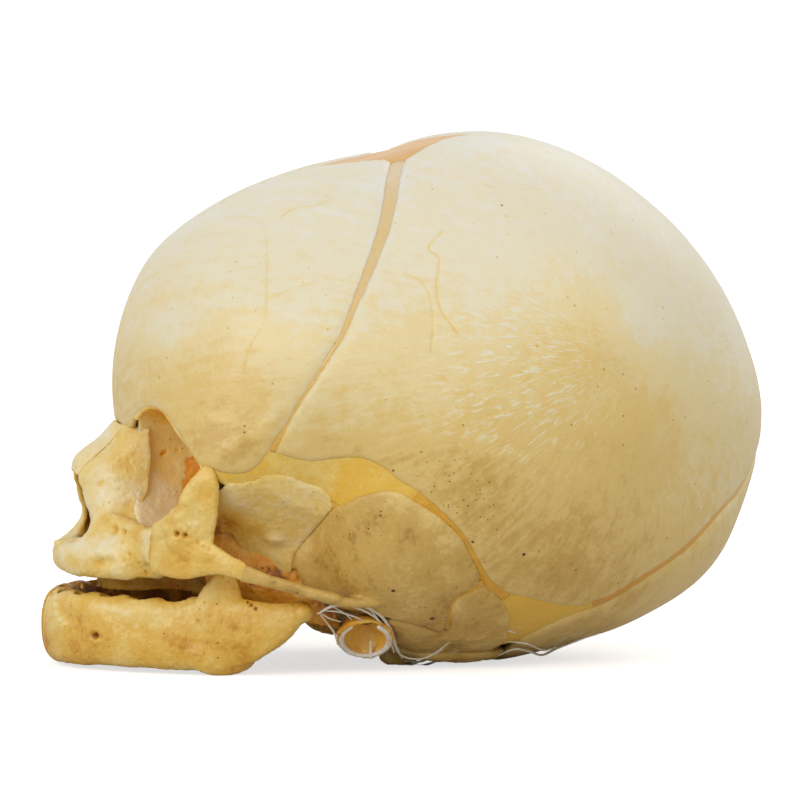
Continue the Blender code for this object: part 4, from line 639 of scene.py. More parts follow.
    def __post_init__(self) -> None:
        """Works out both sides of each suture."""
        sides = self.sides
        self.frontal_coronal, self.parietal_coronal = sides(self.coronal, self.coronal_halves, 0, False)
        self.parietal_lambdoid, self.squama_lambdoid = sides(self.lambdoid, self.lambdoid_halves, 2, True)
        upper, lower = sides(self.squamosal, self.squamosal_halves, 2, True)
        self.parietal_squamosal, self.temporal_squamosal = upper, lower
        self.left_metopic = self.near_midline(self.metopic, self.metopic_halves, 40)
        self.left_sagittal = self.near_midline(self.sagittal, self.sagittal_halves, 60)

    @staticmethod
    def smooth(degrees: Table) -> Points:
        """A finely divided edge through points in degrees."""
        return unit(smooth_through(aim(degrees), 8 * len(degrees)))

    @staticmethod
    def joined(*edges: Table | Points) -> Points:
        """Edges one after another: a table in degrees is smoothed, directions stay as they are."""
        return np.vstack([edge if isinstance(edge, np.ndarray) else Edges.smooth(edge) for edge in edges])

    @staticmethod
    def on_midline(angle: float) -> Points:
        """The direction on the midline at degrees from the front over the top."""
        turned = math.radians(angle)
        return np.array([[-math.cos(turned), 0.0, math.sin(turned)]])

    @staticmethod
    def both_sides(left: Points, *end: Points) -> Points:
        """A left half outline, the end that it has on the midline, and its mirror image."""
        return np.vstack([left, *end, (left * FLIP)[::-1]])

    @staticmethod
    def near_midline(angles: tuple[float, ...], halves: tuple[float, ...], count: int) -> Points:
        """A line beside the midline on its left.

        Args:
            angles: degrees from the front over the top.
            halves: way across to the line in millimetres, at each of them.
            count: how many points to give back.

        Returns:
            Unit directions.
        """
        turned = np.radians(np.array(angles, float))
        line = np.stack([-np.cos(turned), np.zeros_like(turned), np.sin(turned)], axis=-1)
        line[:, 1] = -np.array(halves) / (CASE.radius(line) * CASE.broad)
        return unit(smooth_through(unit(line), count))

    @staticmethod
    def sides(line: Table, halves: tuple[float, ...], axis: int, upper: bool) -> tuple[Points, Points]:
        """Both edges of a suture.

        Args:
            line: the suture's middle in degrees.
            halves: half its width in millimetres, at each point of the line.
            axis: number of the axis that tells the edges apart.
            upper: whether the edge that lies further along that axis comes first.

        Returns:
            Unit directions of the first and of the second edge.
        """
        table = smooth_through(np.hstack([aim(line), np.array(halves)[:, None]]), 10 * len(line))
        middle = unit(table[:, :3])
        across = unit(np.cross(unit(np.gradient(middle, axis=0)), middle))
        off = (table[:, 3] / CASE.radius(middle))[:, None] * across
        pair = unit(middle + off), unit(middle - off)
        swap = (pair[0][len(middle) // 2][axis] > pair[1][len(middle) // 2][axis]) != upper
        return (pair[1], pair[0]) if swap else pair

    def frontal(self) -> Points:
        """Outline of the left frontal bone."""
        return self.joined(
            self.left_metopic, self.frontal_crown, self.frontal_coronal, self.frontal_temple,
            self.frontal_orbit, self.frontal_nasal,
        )  # fmt: skip

    def parietal(self) -> Points:
        """Outline of the left parietal bone."""
        return self.joined(
            self.left_sagittal, self.parietal_lambdoid, self.parietal_mastoid, self.parietal_squamosal[::-1],
            self.parietal_temple, self.parietal_coronal[::-1], self.parietal_crown,
        )  # fmt: skip

    def occipital(self) -> Points:
        """Outline of the squama of the occipital bone."""
        left = self.joined(self.squama_lambdoid, self.squama_mastoid, self.squama_base)
        both = self.both_sides(left, self.on_midline(self.opening_back))
        return np.vstack([self.on_midline(self.lambda_point), both])

    def temporal(self) -> Points:
        """Outline of the squamous part of the left temporal bone."""
        return self.joined(
            self.temporal_squamosal[:66][::-1], self.temporal_top, self.temporal_front, self.temporal_base,
            self.temporal_rear,
        )  # fmt: skip

    def wing(self) -> Points:
        """Outline of the outer face of the left greater wing."""
        return self.joined(self.wing_top, self.wing_rear, self.wing_base, self.wing_front)

    def mastoid(self) -> Points:
        """Outline of the left mastoid part."""
        return self.joined(
            self.temporal_squamosal[69:], self.mastoid_rear, self.mastoid_base, self.mastoid_under,
            self.mastoid_rise,
        )  # fmt: skip

    def temple(self) -> Points:
        """Outline of the membrane of the left sphenoidal fontanelle."""
        lower = self.joined(self.wing_top, self.smooth(self.temporal_top)[::-1], self.temporal_squamosal[:1])
        return self.joined(
            self.smooth(self.frontal_temple)[::-1], self.frontal_coronal[-1:], self.parietal_coronal[-1:],
            self.smooth(self.parietal_temple)[::-1], self.parietal_squamosal[:1], lower[::-1],
        )  # fmt: skip

    def asterion(self) -> Points:
        """Outline of the membrane of the left mastoid fontanelle."""
        return self.joined(
            self.parietal_lambdoid[-1:], self.parietal_mastoid, self.parietal_squamosal[-1:],
            self.temporal_squamosal[-1:], self.mastoid_rear, self.smooth(self.squama_mastoid)[::-1],
            self.squama_lambdoid[-1:],
        )  # fmt: skip

    def crown(self) -> Points:
        """Outline of the anterior fontanelle."""
        return self.both_sides(self.joined(
            self.left_metopic[-1:], self.frontal_crown, self.frontal_coronal[:1], self.parietal_coronal[:1],
            self.parietal_crown, self.left_sagittal[:1],
        ))  # fmt: skip

    def rear_corner(self) -> Points:
        """Outline of the posterior fontanelle."""
        left = self.joined(self.left_sagittal[-1:], self.parietal_lambdoid[:1], self.squama_lambdoid[:1])
        return self.both_sides(left, self.on_midline(self.lambda_point))


class Tint(Enum):
    """The finishes of the pieces, each with the name of its material."""

    VAULT = "vault bone"
    FACE = "face bone"
    TEMPLE = "temple bone"
    INNER = "inner bone"
    ORBIT = "orbit bone"
    FILM = "dried film"
    GOLDEN = "golden membrane"
    MEMBRANE = "dried membrane"


@dataclass
class Patch:
    """Lays out the nodes of a material or of the backdrop."""

    tree: bpy.types.NodeTree

    def node(self, kind: str, inputs: dict[str | int, Socket | float | tuple], operation: str = "") -> Node:
        """A new node.

        Args:
            kind: its type, without the beginning that all these types share.
            inputs: for each input, the socket to link to it or the value to set.
            operation: what it works out, where it has a choice.

        Returns:
            The node.
        """
        made = self.tree.nodes.new(f"ShaderNode{kind}")
        if operation:
            made.operation = operation
        for key, value in inputs.items():
            if isinstance(value, Socket):
                self.tree.links.new(value, made.inputs[key])
            else:
                made.inputs[key].default_value = value
        return made

    @cached_property
    def place(self) -> Socket:
        """Place on the object in metres."""
        return self.node("TexCoord", {}).outputs["Object"]

    @cached_property
    def stain_and_shading(self) -> Socket:
        """Tone stored in the mesh, of stain and of painted light and shade."""
        made = self.node("Attribute", {})
        made.attribute_name = STAIN_AND_SHADING
        return made.outputs["Fac"]

    def math(self, operation: str, first: Socket, second: Socket | float) -> Socket:
        """One sum of two numbers."""
        return self.node("Math", {0: first, 1: second}, operation).outputs[0]

    def add(self, first: Socket, second: Socket | float) -> Socket:
        """The first plus the second."""
        return self.math("ADD", first, second)

    def times(self, first: Socket, second: Socket | float) -> Socket:
        """The first times the second."""
        return self.math("MULTIPLY", first, second)

    def vector(self, operation: str, inputs: dict[str | int, Socket | float | tuple]) -> Node:
        """One sum of vectors."""
        return self.node("VectorMath", inputs, operation)

    def split(self, vector: Socket) -> list[Socket]:
        """The three parts of a vector."""
        return list(self.node("SeparateXYZ", {0: vector}).outputs)

    def join(self, x: Socket, y: Socket, z: Socket | float = 0.0) -> Socket:
        """A vector made of three parts."""
        return self.node("CombineXYZ", {0: x, 1: y, 2: z}).outputs[0]

    def folded(self) -> Socket:
        """Place on the object in metres, the same on both sides of the midline."""
        x, y, z = self.split(self.place)
        return self.join(x, self.times(self.math("ABSOLUTE", y, 0.0), -1.0), z)

    def wave(self, where: Socket, size: float, detail: float, height: float, seed: float) -> Socket:
        """Noise about zero.

        Args:
            where: place that it is read at.
            size: size of its features, in the unit of where.
            detail: how many finer layers it has.
            height: how far it reaches to both sides of zero.
            seed: shift of the noise.

        Returns:
            The socket with the number.
        """
        shifted = self.vector("ADD", {0: where, 1: (seed, seed * 0.37, -seed)}).outputs[0]
        inputs = {"Scale": 1 / size, "Detail": detail, "Roughness": 0.55, "Vector": shifted}
        return self.times(self.add(self.node("TexNoise", inputs).outputs["Fac"], -0.5), 2 * height)

    def between(self, value: Socket, start: float, end: float) -> Socket:
        """How far a number is on its way from start to end, from 0 to 1."""
        made = self.node("MapRange", {"Value": value, "From Min": start, "From Max": end})
        made.interpolation_type = "SMOOTHSTEP"
        return made.outputs["Result"]

    def near(self, where: Socket, spot: tuple[float, ...], inner: float, outer: float) -> Socket:
        """1 within the inner distance of a spot, 0 beyond the outer one, all in millimetres."""
        away = self.vector("DISTANCE", {0: where, 1: tuple(value * MM for value in spot)})
        return self.between(away.outputs["Value"], outer * MM, inner * MM)

    def rays(self, where: Socket, axis: Points) -> tuple[Socket, Socket]:
        """Fine rays out from one direction of the braincase.

        Args:
            where: place in metres.
            axis: the direction that the rays run out from.

        Returns:
            A place that changes slowly along the rays, and the distance from the axis in metres.
        """
        away = self.vector("ADD", {0: where, 1: tuple(-value * MM for value in CASE.centre)})
        level = Vector(axis).rotation_difference(Vector((0, 0, 1))).to_euler("XYZ")
        turn = self.node("VectorRotate", {"Vector": away.outputs[0]})
        turn.rotation_type = "EULER_XYZ"
        turn.inputs["Rotation"].default_value = tuple(level)
        x, y, _ = self.split(turn.outputs[0])
        flat = self.join(x, y)
        long = self.vector("LENGTH", {0: flat}).outputs["Value"]
        ahead = self.vector("NORMALIZE", {0: flat}).outputs[0]
        x, y, _ = self.split(self.vector("SCALE", {0: ahead, "Scale": 26.0}).outputs[0])
        return self.join(x, y, self.times(long, 330.0)), long

    def bump(self, height: Socket, strength: float, distance: float, normal: Socket | None) -> Socket:
        """Adds relief to a normal: a height that runs in with a strength below zero."""
        inputs = {"Strength": abs(strength), "Distance": distance, "Height": height}
        made = self.node("Bump", inputs if normal is None else inputs | {"Normal": normal})
        made.invert = strength < 0
        return made.outputs["Normal"]

    def pores(self, where: Socket, size: float, share: float) -> Socket:
        """1 in the middle of small scattered pits and 0 elsewhere.

        Args:
            where: place in metres.
            size: distance between places that may have one, in millimetres.
            share: share of those places that have one.

        Returns:
            The socket with the number.
        """
        cells = self.node("TexVoronoi", {"Scale": 1 / (size * MM), "Vector": where})
        near = {"Value": cells.outputs["Distance"], "From Min": 0.20, "From Max": 0.08}
        red = self.node("SeparateColor", {0: cells.outputs["Color"]}).outputs["Red"]
        chosen = self.math("LESS_THAN", red, share)
        return self.times(self.node("MapRange", near).outputs["Result"], chosen)


@dataclass(frozen=True)
class Ramp:
    """Colours of a tone scale: a place from 0 to 1 and a linear colour for each."""

    stops: Table

    def fill(self, ramp: bpy.types.ColorRamp) -> None:
        """Writes the scale into a colour ramp node."""
        ramp.interpolation = "EASE"
        while len(ramp.elements) > 1:
            ramp.elements.remove(ramp.elements[-1])
        for index, (at, *colour) in enumerate(self.stops):
            element = ramp.elements[0] if index == 0 else ramp.elements.new(at)
            element.position = at
            element.color = (*colour, 1.0)


BONE_RAMP = Ramp((
    (0.0, 0.8, 0.765, 0.66), (0.16, 0.8, 0.725, 0.52), (0.36, 0.8, 0.645, 0.325),
    (0.55, 0.76, 0.54, 0.18), (0.72, 0.62, 0.39, 0.09), (0.88, 0.4, 0.21, 0.03), (1.0, 0.1, 0.04, 0.008),
))  # fmt: skip
FACE_RAMP = Ramp((
    (0.0, 0.86, 0.81, 0.68), (0.18, 0.86, 0.76, 0.52), (0.36, 0.85, 0.68, 0.33),
    (0.55, 0.82, 0.58, 0.165), (0.72, 0.76, 0.46, 0.07), (0.88, 0.6, 0.28, 0.018),
    (1.0, 0.26, 0.09, 0.006),
))  # fmt: skip
MEMBRANE_RAMP = Ramp((
    (0.0, 0.76, 0.61, 0.4), (0.25, 0.74, 0.53, 0.25), (0.5, 0.8, 0.48, 0.11), (0.75, 0.72, 0.34, 0.03),
    (1.0, 0.34, 0.13, 0.015),
))  # fmt: skip
GOLDEN_RAMP = Ramp((
    (0.0, 0.86, 0.72, 0.42), (0.3, 0.86, 0.61, 0.17), (0.52, 0.84, 0.49, 0.045), (0.75, 0.74, 0.37, 0.02),
    (1.0, 0.34, 0.13, 0.01),
))  # fmt: skip
FILM_RAMP = Ramp((
    (0.0, 0.88, 0.87, 0.85), (0.35, 0.8, 0.74, 0.62), (0.65, 0.62, 0.46, 0.24), (1.0, 0.32, 0.16, 0.03),
))  # fmt: skip
AMBER_RAMP = Ramp((
    (0.0, 0.92, 0.78, 0.48), (0.3, 0.92, 0.68, 0.24), (0.55, 0.88, 0.5, 0.06), (0.8, 0.78, 0.31, 0.012),
    (1.0, 0.2, 0.06, 0.006),
))  # fmt: skip


@dataclass(frozen=True)
class Finish:
    """A finish worked out from the tone stored in the mesh, which holds stain and painted light and shade,
    with mottling, fibres and pores.
    """

    CLOUD_SIZE = 13.0
    MOTTLE_SIZE = 2.6
    FLECK_SIZE = 0.8
    LUMP_SIZE = 1.7
    GRAIN_SIZE = 0.45
    SPECK_SIZE = 0.8
    SPECK_DARK = 0.75
    EMINENCE = (125.0, 14.0)
    PALE_PATCH = (15.5, -42.0, 52.0)

    tint: Tint
    ramp: Ramp
    roughness: float = 0.42
    coat: float = 0.12
    bleed: float = 0.10
    mottle: float = 0.16
    cloud: float = 0.16
    fleck: float = 0.10
    fibre: float = 0.0
    fibre_bump: float = 0.0
    pore_size: float = 1.2
    pore_share: float = 0.10
    pore_dark: float = 0.35
    grain_bump: float = 0.35
    lump_bump: float = 0.30
    flecks: float = 0.0
    dots: Table = ()
    speckles: Table = ()

    def make(self) -> bpy.types.Material:
        """The finish as a material."""
        made = bpy.data.materials.new(self.tint.value)
        made.use_nodes = True
        tree = made.node_tree
        shader = tree.nodes["Principled BSDF"]
        shader.inputs["Roughness"].default_value = self.roughness
        shader.inputs["Coat Weight"].default_value = self.coat
        shader.inputs["Coat Roughness"].default_value = 0.28
        shader.inputs["Subsurface Weight"].default_value = self.bleed
        shader.inputs["Subsurface Radius"].default_value = (1.0, 0.55, 0.25)
        shader.inputs["Subsurface Scale"].default_value = 0.0012
        tone, normal = self.layers(Patch(tree))
        scale = tree.nodes.new("ShaderNodeValToRGB")
        self.ramp.fill(scale.color_ramp)
        tree.links.new(tone, scale.inputs["Fac"])
        tree.links.new(scale.outputs["Color"], shader.inputs["Base Color"])
        tree.links.new(normal, shader.inputs["Normal"])
        return made

    def layers(self, patch: Patch) -> tuple[Socket, Socket]:
        """The sockets with the tone and with the normal, layer on layer."""
        where = patch.folded()
        tone = patch.add(patch.stain_and_shading, patch.wave(where, self.CLOUD_SIZE * MM, 3.0, self.cloud, 1.0))
        tone = patch.add(tone, patch.wave(where, self.MOTTLE_SIZE * MM, 4.0, self.mottle, 7.0))
        tone = patch.add(tone, patch.wave(where, self.FLECK_SIZE * MM, 2.0, self.fleck, 13.0))
        normal = None
        if self.fibre:
            rays, away = patch.rays(where, aim((self.EMINENCE,))[0])
            fibre = patch.times(patch.wave(rays, 1.0, 3.0, 1.0, 3.0), patch.between(away, 0.010, 0.034))
            tone = patch.add(tone, patch.times(fibre, self.fibre))
            normal = patch.bump(fibre, self.fibre_bump, 0.00022, normal)
            marks = patch.between(patch.wave(rays, 0.62, 2.0, 1.0, 5.0), 0.10, 0.30)
            marks = patch.times(marks, self.flecks)
            marks = patch.times(marks, patch.near(where, self.PALE_PATCH, 6.0, 24.0))
            tone = patch.add(tone, marks)
            normal = patch.bump(marks, -0.5, 0.0002, normal)
        lumps = patch.wave(where, self.LUMP_SIZE * MM, 3.0, 1.0, 21.0)
        normal = patch.bump(lumps, self.lump_bump, 0.0003, normal)
        fine = patch.wave(where, self.GRAIN_SIZE * MM, 3.0, 1.0, 31.0)
        normal = patch.bump(fine, self.grain_bump, 0.00012, normal)
        pores = patch.pores(where, self.pore_size, self.pore_share)
        tone = patch.add(tone, patch.times(pores, self.pore_dark))
        normal = patch.bump(pores, -0.6, 0.0002, normal)
        for *spot, reach, share in self.speckles:
            specks = patch.pores(where, self.SPECK_SIZE, share)
            specks = patch.times(specks, patch.near(where, tuple(spot), 0.4 * reach, reach))
            tone = patch.add(tone, patch.times(specks, self.SPECK_DARK))
        for *spot, radius, dark in self.dots:
            dot = patch.near(patch.place, tuple(spot), 0.45 * radius, radius)
            tone = patch.add(tone, patch.times(dot, dark))
        return tone, normal


FINISHES = (
    Finish(
        Tint.VAULT, BONE_RAMP, fibre=0.16, fibre_bump=0.28, mottle=0.12, cloud=0.10, fleck=0.07,
        grain_bump=0.22, lump_bump=0.16, pore_share=0.05, flecks=-0.3,
        speckles=(
            (1.0, -43.7, 36.8, 6.5, 0.5), (6.0, -43.0, 32.0, 6.5, 0.5), (8.5, -41.0, 26.0, 5.0, 0.4),
        ),
        dots=(
            (16.6, -37.9, 22.0, 0.4, 0.8), (14.0, -28.9, 82.7, 0.32, 0.8), (7.2, -40.2, 24.4, 0.45, 0.4),
            (-7.1, -41.5, 37.3, 0.4, 0.35), (34.0, -27.0, 24.0, 0.35, 0.5),
        ),
    ),
    Finish(
        Tint.FACE, FACE_RAMP, mottle=0.17, cloud=0.14, fleck=0.12, grain_bump=0.4, lump_bump=0.45,
        pore_share=0.12, pore_size=1.0,
    ),
    Finish(
        Tint.TEMPLE, BONE_RAMP, mottle=0.14, cloud=0.12, fleck=0.10, grain_bump=0.3, lump_bump=0.22,
        pore_share=0.10, pore_size=1.0, dots=(
            (-6.1, -34.9, 15.6, 0.45, 0.9), (1.6, -29.1, 10.0, 0.6, 0.3),
        ),
    ),
    Finish(
        Tint.INNER, AMBER_RAMP, mottle=0.2, cloud=0.2, grain_bump=0.5, lump_bump=0.5, pore_share=0.2,
    ),
    Finish(
        Tint.ORBIT, AMBER_RAMP, mottle=0.14, cloud=0.12, fleck=0.08, grain_bump=0.4, lump_bump=0.4,
        pore_share=0.14, pore_size=1.1, pore_dark=0.6, bleed=0.2,
    ),
    Finish(
        Tint.FILM, FILM_RAMP, roughness=0.34, coat=0.3, mottle=0.20, cloud=0.20, fleck=0.14,
        grain_bump=0.4, lump_bump=0.4, pore_share=0.0, bleed=0.15,
    ),
    Finish(
        Tint.GOLDEN, GOLDEN_RAMP, roughness=0.36, coat=0.25, bleed=0.2, mottle=0.16, cloud=0.12,
        fleck=0.10, pore_share=0.0, grain_bump=0.3, lump_bump=0.4,
    ),
    Finish(
        Tint.MEMBRANE, MEMBRANE_RAMP, roughness=0.36, coat=0.25, bleed=0.2, mottle=0.10, cloud=0.10,
        fleck=0.06, pore_share=0.0, grain_bump=0.2, lump_bump=0.2,
    ),
)  # fmt: skip


class Shape(Protocol):
    """A closed shape that a bone is grown from or cut with."""

    def mesh(self) -> tuple:
        """Points in millimetres and faces; a plate gives its tones as well."""


class Maker(Protocol):
    """Something that builds one piece."""

    def build(self) -> Object:
        """The piece as an object in the scene."""


@dataclass
class Stroke:
    """A bar of bone along a path, with a flattened section that is broad one way.

    Each row of the table holds along, across and up in millimetres, and half of the broad and of
    the thin way as shares of the bar's two sizes.
    """

    START = ((-0.85, 0.5), (-0.5, 0.86))

    table: Table
    broad: float = 1.0
    thin: float = 1.0
    facing: Spot = (0.0, 0.0, 1.0)
    square: float = 0.85
    sides: int = 24

    def mesh(self) -> tuple[Points, list]:
        """Points in millimetres and faces of the bar."""
        table = smooth_through(self.table, 8 * len(self.table))
        path, broad, thin = table[:, :3], table[:, 3] * self.broad, table[:, 4] * self.thin
        ahead = unit(np.gradient(path, axis=0))
        facing = np.array(self.facing, float)
        wide = unit(facing - ahead * (ahead @ facing)[:, None])
        narrow = np.cross(ahead, wide)
        turns = np.linspace(0, FULL_TURN, self.sides, endpoint=False)
        round_wide = np.sign(np.cos(turns)) * np.abs(np.cos(turns)) ** self.square
        round_thin = np.sign(np.sin(turns)) * np.abs(np.sin(turns)) ** self.square
        last = len(path) - 1
        stations = [(0, offset, scale) for offset, scale in self.START]
        stations += [(index, 0.0, 1.0) for index in range(len(path))]
        stations += [(last, -offset, scale) for offset, scale in self.START[::-1]]
        rings = []
        for index, offset, scale in stations:
            middle = path[index] + ahead[index] * offset * min(broad[index], thin[index])
            across = np.outer(round_wide, wide[index]) * broad[index] * scale
            rings.append(middle + across + np.outer(round_thin, narrow[index]) * thin[index] * scale)
        start = path[0] - ahead[0] * min(broad[0], thin[0])
        end = path[-1] + ahead[-1] * min(broad[-1], thin[-1])
        points = np.vstack([*rings, start, end])
        top = (len(rings) - 1) * self.sides
        faces = []
        for i in range(0, top, self.sides):
            for j in range(self.sides):
                k = (j + 1) % self.sides
                faces.append((i + j, i + k, i + self.sides + k, i + self.sides + j))
        for j in range(self.sides):
            k = (j + 1) % self.sides
            faces.append((len(points) - 2, k, j))
            faces.append((len(points) - 1, top + j, top + k))
        return points, faces


@dataclass
class Sheet:
    """A curved plate through rows of places in millimetres, with its wall towards the head's inside."""

    rows: tuple[Table, ...]
    wall: float = 1.1
    within: Spot = (-30.0, 0.0, 28.0)
    spacing: float = 0.9

    def mesh(self) -> tuple[Points, list]:
        """Points in millimetres and faces of the plate."""
        broad = max(np.linalg.norm(np.diff(row, axis=0), axis=1).sum() for row in map(np.array, self.rows))
        first = np.array([row[0] for row in self.rows])
        long = np.linalg.norm(np.diff(first, axis=0), axis=1).sum()
        columns, rows = int(broad / self.spacing) + 3, int(long / self.spacing) + 3
        grid = np.array([smooth_through(row, columns) for row in self.rows])
        grid = np.stack([smooth_through(grid[:, index], rows) for index in range(columns)], axis=1)
        away = unit(np.cross(np.gradient(grid, axis=0), np.gradient(grid, axis=1)))
        outward = (away * (grid - np.array(self.within))).sum() > 0
        inner = grid - away * self.wall * (1 if outward else -1)
        return np.vstack([grid.reshape(-1, 3), inner.reshape(-1, 3)]), shell_faces(rows, columns)


@dataclass
class Egg:
    """An egg-shaped mass: its place and half lengths in millimetres, and its turn about Z in degrees."""

    place: Spot
    halves: Spot
    turn: float = 0.0

    def mesh(self) -> tuple[Points, list]:
        """Points in millimetres and faces of the mass."""
        shape = bmesh.new()
        bmesh.ops.create_icosphere(shape, subdivisions=3, radius=1.0)
        points = np.array([tuple(point.co) for point in shape.verts]) * self.halves
        faces = [tuple(point.index for point in face.verts) for face in shape.faces]
        shape.free()
        cosine, sine = math.cos(math.radians(self.turn)), math.sin(math.radians(self.turn))
        spin = np.array([[cosine, sine, 0], [-sine, cosine, 0], [0, 0, 1]])
        return points @ spin + self.place, faces


def crypt_eggs(crypts: Table, width: float = 3.4, length: float = 4.6, depth: float = 4.0) -> tuple[Egg, ...]:
    """Hollows of the tooth crypts along a jaw.

    Args:
        crypts: the place of each in millimetres, and its length as a share of the length.
        width: a crypt's way across the jaw.
        length: its way along the jaw.
        depth: half of its height.

    Returns:
        One mass to cut away for each crypt.
    """
    found = []
    for index, (x, y, z, size) in enumerate(crypts):
        before, after = crypts[max(index - 1, 0)], crypts[min(index + 1, len(crypts) - 1)]
        turn = math.degrees(math.atan2(after[1] - before[1], after[0] - before[0]))
        found.append(Egg((x, y, z), (length * size / 2, width / 2, depth), turn))
    return tuple(found)


@dataclass
class Copied:
    """A shape of the frame, taken as a mass for a sculpted bone."""

    WELD = 1e-6

    node: Object

    def mesh(self) -> tuple[Points, list]:
        """Points in millimetres and faces of the node, with its seams welded."""
        shape = bmesh.new()
        shape.from_mesh(self.node.data)
        bmesh.ops.remove_doubles(shape, verts=shape.verts, dist=self.WELD)
        points = np.array([tuple(point.co) for point in shape.verts]) / MM
        faces = [tuple(point.index for point in face.verts) for face in shape.faces]
        shape.free()
        return points, faces


@dataclass
class Shell:
    """A wall round a hollow such as the orbit, from its rim towards the apex."""

    rim: Points
    mouth: Points
    start: float
    end: float
    wall: float = 1.1
    rows: int = 24
    ring: bool = False
    apex: Spot = (-22.5, -8.5, 32.5)

    def mesh(self) -> tuple[Points, list]:
        """Points in millimetres and faces of the wall."""
        inner, outer = [], []
        for share in np.linspace(self.start, self.end, self.rows):
            axis = self.mouth + (np.array(self.apex) - self.mouth) * share
            ring = axis + (self.rim - self.mouth) * math.cos(share * math.pi / 2) ** 0.75
            inner.append(ring)
            outer.append(ring + unit(self.rim - self.mouth) * self.wall)
        return np.vstack([*outer, *inner]), shell_faces(self.rows, len(self.rim), self.ring)


@dataclass(frozen=True)
class Sight:
    """The view of the photograph, which gives the place of what lies at one of its pixels."""

    pixel: float = 0.177
    column: float = 400.0
    row: float = 659.3
    turn: float = 8.0
    lift: float = 5.0

    def axes(self) -> tuple[Points, Points, Points]:
        """The view's right, up and ahead."""
        turn, lift = math.radians(self.turn), math.radians(self.lift)
        right = np.array([math.cos(turn), -math.sin(turn), 0.0])
        up = np.array([math.sin(turn) * math.sin(lift), math.cos(turn) * math.sin(lift), math.cos(lift)])
        ahead = np.array([math.sin(turn) * math.cos(lift), math.cos(turn) * math.cos(lift), -math.sin(lift)])
        return right, up, ahead

    def line(self, column: float, row: float) -> Points:
        """Places along the line of sight through a pixel, in millimetres."""
        right, up, ahead = self.axes()
        start = right * (column - self.column) * self.pixel + up * (self.row - row) * self.pixel
        return start + np.linspace(-80, 20, 2001)[:, None] * ahead

    def pixels(self, points: Points) -> Points:
        """Column and row of places in millimetres."""
        right, up, _ = self.axes()
        columns = self.column + points @ right / self.pixel
        return np.stack([columns, self.row - points @ up / self.pixel], axis=-1)

    def across(self, column: float, row: float, across: float) -> Points:
        """The place at a pixel that lies a given way across."""
        line = self.line(column, row)
        return line[np.abs(line[:, 1] - across).argmin()]

    def on_case(self, column: float, row: float, out: float) -> Points:
        """The place at a pixel on the braincase, a given way out from its surface."""
        line = self.line(column, row) - np.array(CASE.centre)
        far = np.linalg.norm(line, axis=1)
        off = far - CASE.radius(line / far[:, None])
        first = int(np.argmax(off < 0)) if (off < 0).any() else int(off.argmin())
        return line[first] * (1 + out / far[first]) + np.array(CASE.centre)

    def strands(self, tables: tuple[Table, ...], on_case: bool = False) -> list[Stroke]:
        """Thin strands through pixels.

        Args:
            tables: for each strand, rows of column, row, place across or way out in millimetres,
                and half thickness.
            on_case: whether the third number is the way out from the braincase.

        Returns:
            Each strand as a bar.
        """
        seen = self.on_case if on_case else self.across
        rows = [tuple((*seen(x, y, way), half, half) for x, y, way, half in table) for table in tables]
        return [Stroke(row, square=1.0, sides=8) for row in rows]


SIGHT = Sight()


@dataclass
class Bundle:
    """Several thin strands as one piece."""

    name: str
    strands: list[Stroke]
    tone: float = 0.1
    swing: float = 0.2

    def build(self) -> Object:
        """The strands as an object."""
        points, faces, count = [], [], 0
        for strand in self.strands:
            places, sides = strand.mesh()
            points.append(places)
            faces += [tuple(index + count for index in side) for side in sides]
            count += len(places)
        points = np.vstack(points)
        points[:, 2] = np.maximum(points[:, 2], 0.02)
        return new_object(self.name, points, faces, self.tone + self.swing * grain(points, 3.0, 7.0))


def applied(made: Object) -> Object:
    """Applies the object's modifiers."""
    graph = bpy.context.evaluated_depsgraph_get()
    old = made.data
    made.data = bpy.data.meshes.new_from_object(made.evaluated_get(graph))
    made.data.name = made.name
    made.modifiers.clear()
    bpy.data.meshes.remove(old)
    return made


def refine(made: Object, voxel: float, smooth: int) -> Object:
    """Rebuilds a closed shape from even cells and softens it.

    Args:
        made: the shape.
        voxel: size of the cells in millimetres.
        smooth: rounds of smoothing.

    Returns:
        The same object.
    """
    remesh = made.modifiers.new("grow together", "REMESH")
    remesh.mode = "VOXEL"
    remesh.voxel_size = voxel * MM
    soften = made.modifiers.new("soften", "SMOOTH")
    soften.factor = 0.5
    soften.iterations = smooth
    return applied(made)


def grown(name: str, meshes: list[tuple[Points, list]], voxel: float, smooth: int) -> Object:
    """Closed shapes that overlap, grown together into one.

    Args:
        name: name of the object.
        meshes: points in millimetres and faces of each shape.
        voxel: size of the cells that the shapes are rebuilt with, in millimetres.
        smooth: rounds of smoothing.

    Returns:
        The new object.
    """
    shape = bmesh.new()
    for points, faces in meshes:
        single = closed_mesh("mass", points, faces)
        shape.from_mesh(single)
        bpy.data.meshes.remove(single)
    mesh = bpy.data.meshes.new(name)
    shape.to_mesh(mesh)
    shape.free()
    return refine(placed(name, mesh), voxel, smooth)


def take_away(made: Object, mesh: tuple[Points, list]) -> None:
    """Cuts a shape out of a bone."""
    cutter = new_object("cutter", *mesh)
    cut = made.modifiers.new("cut", "BOOLEAN")
    cut.operation = "DIFFERENCE"
    cut.solver = "EXACT"
    cut.object = cutter
    applied(made)
    old = cutter.data
    bpy.data.objects.remove(cutter)
    bpy.data.meshes.remove(old)


def trim(made: Object, place: Spot, facing: Spot) -> None:
    """Takes away what lies past a flat face and closes the cut."""
    shape = bmesh.new()
    shape.from_mesh(made.data)
    bmesh.ops.bisect_plane(
        shape,
        geom=[*shape.verts, *shape.edges, *shape.faces],
        dist=1e-7,
        plane_co=Vector(place) * MM,
        plane_no=Vector(facing),
        clear_outer=True,
    )
    edges = [edge for edge in shape.edges if edge.is_boundary]
    bmesh.ops.triangle_fill(shape, edges=edges, use_beauty=True, use_dissolve=False, normal=Vector(facing))
    shape.to_mesh(made.data)
    shape.free()


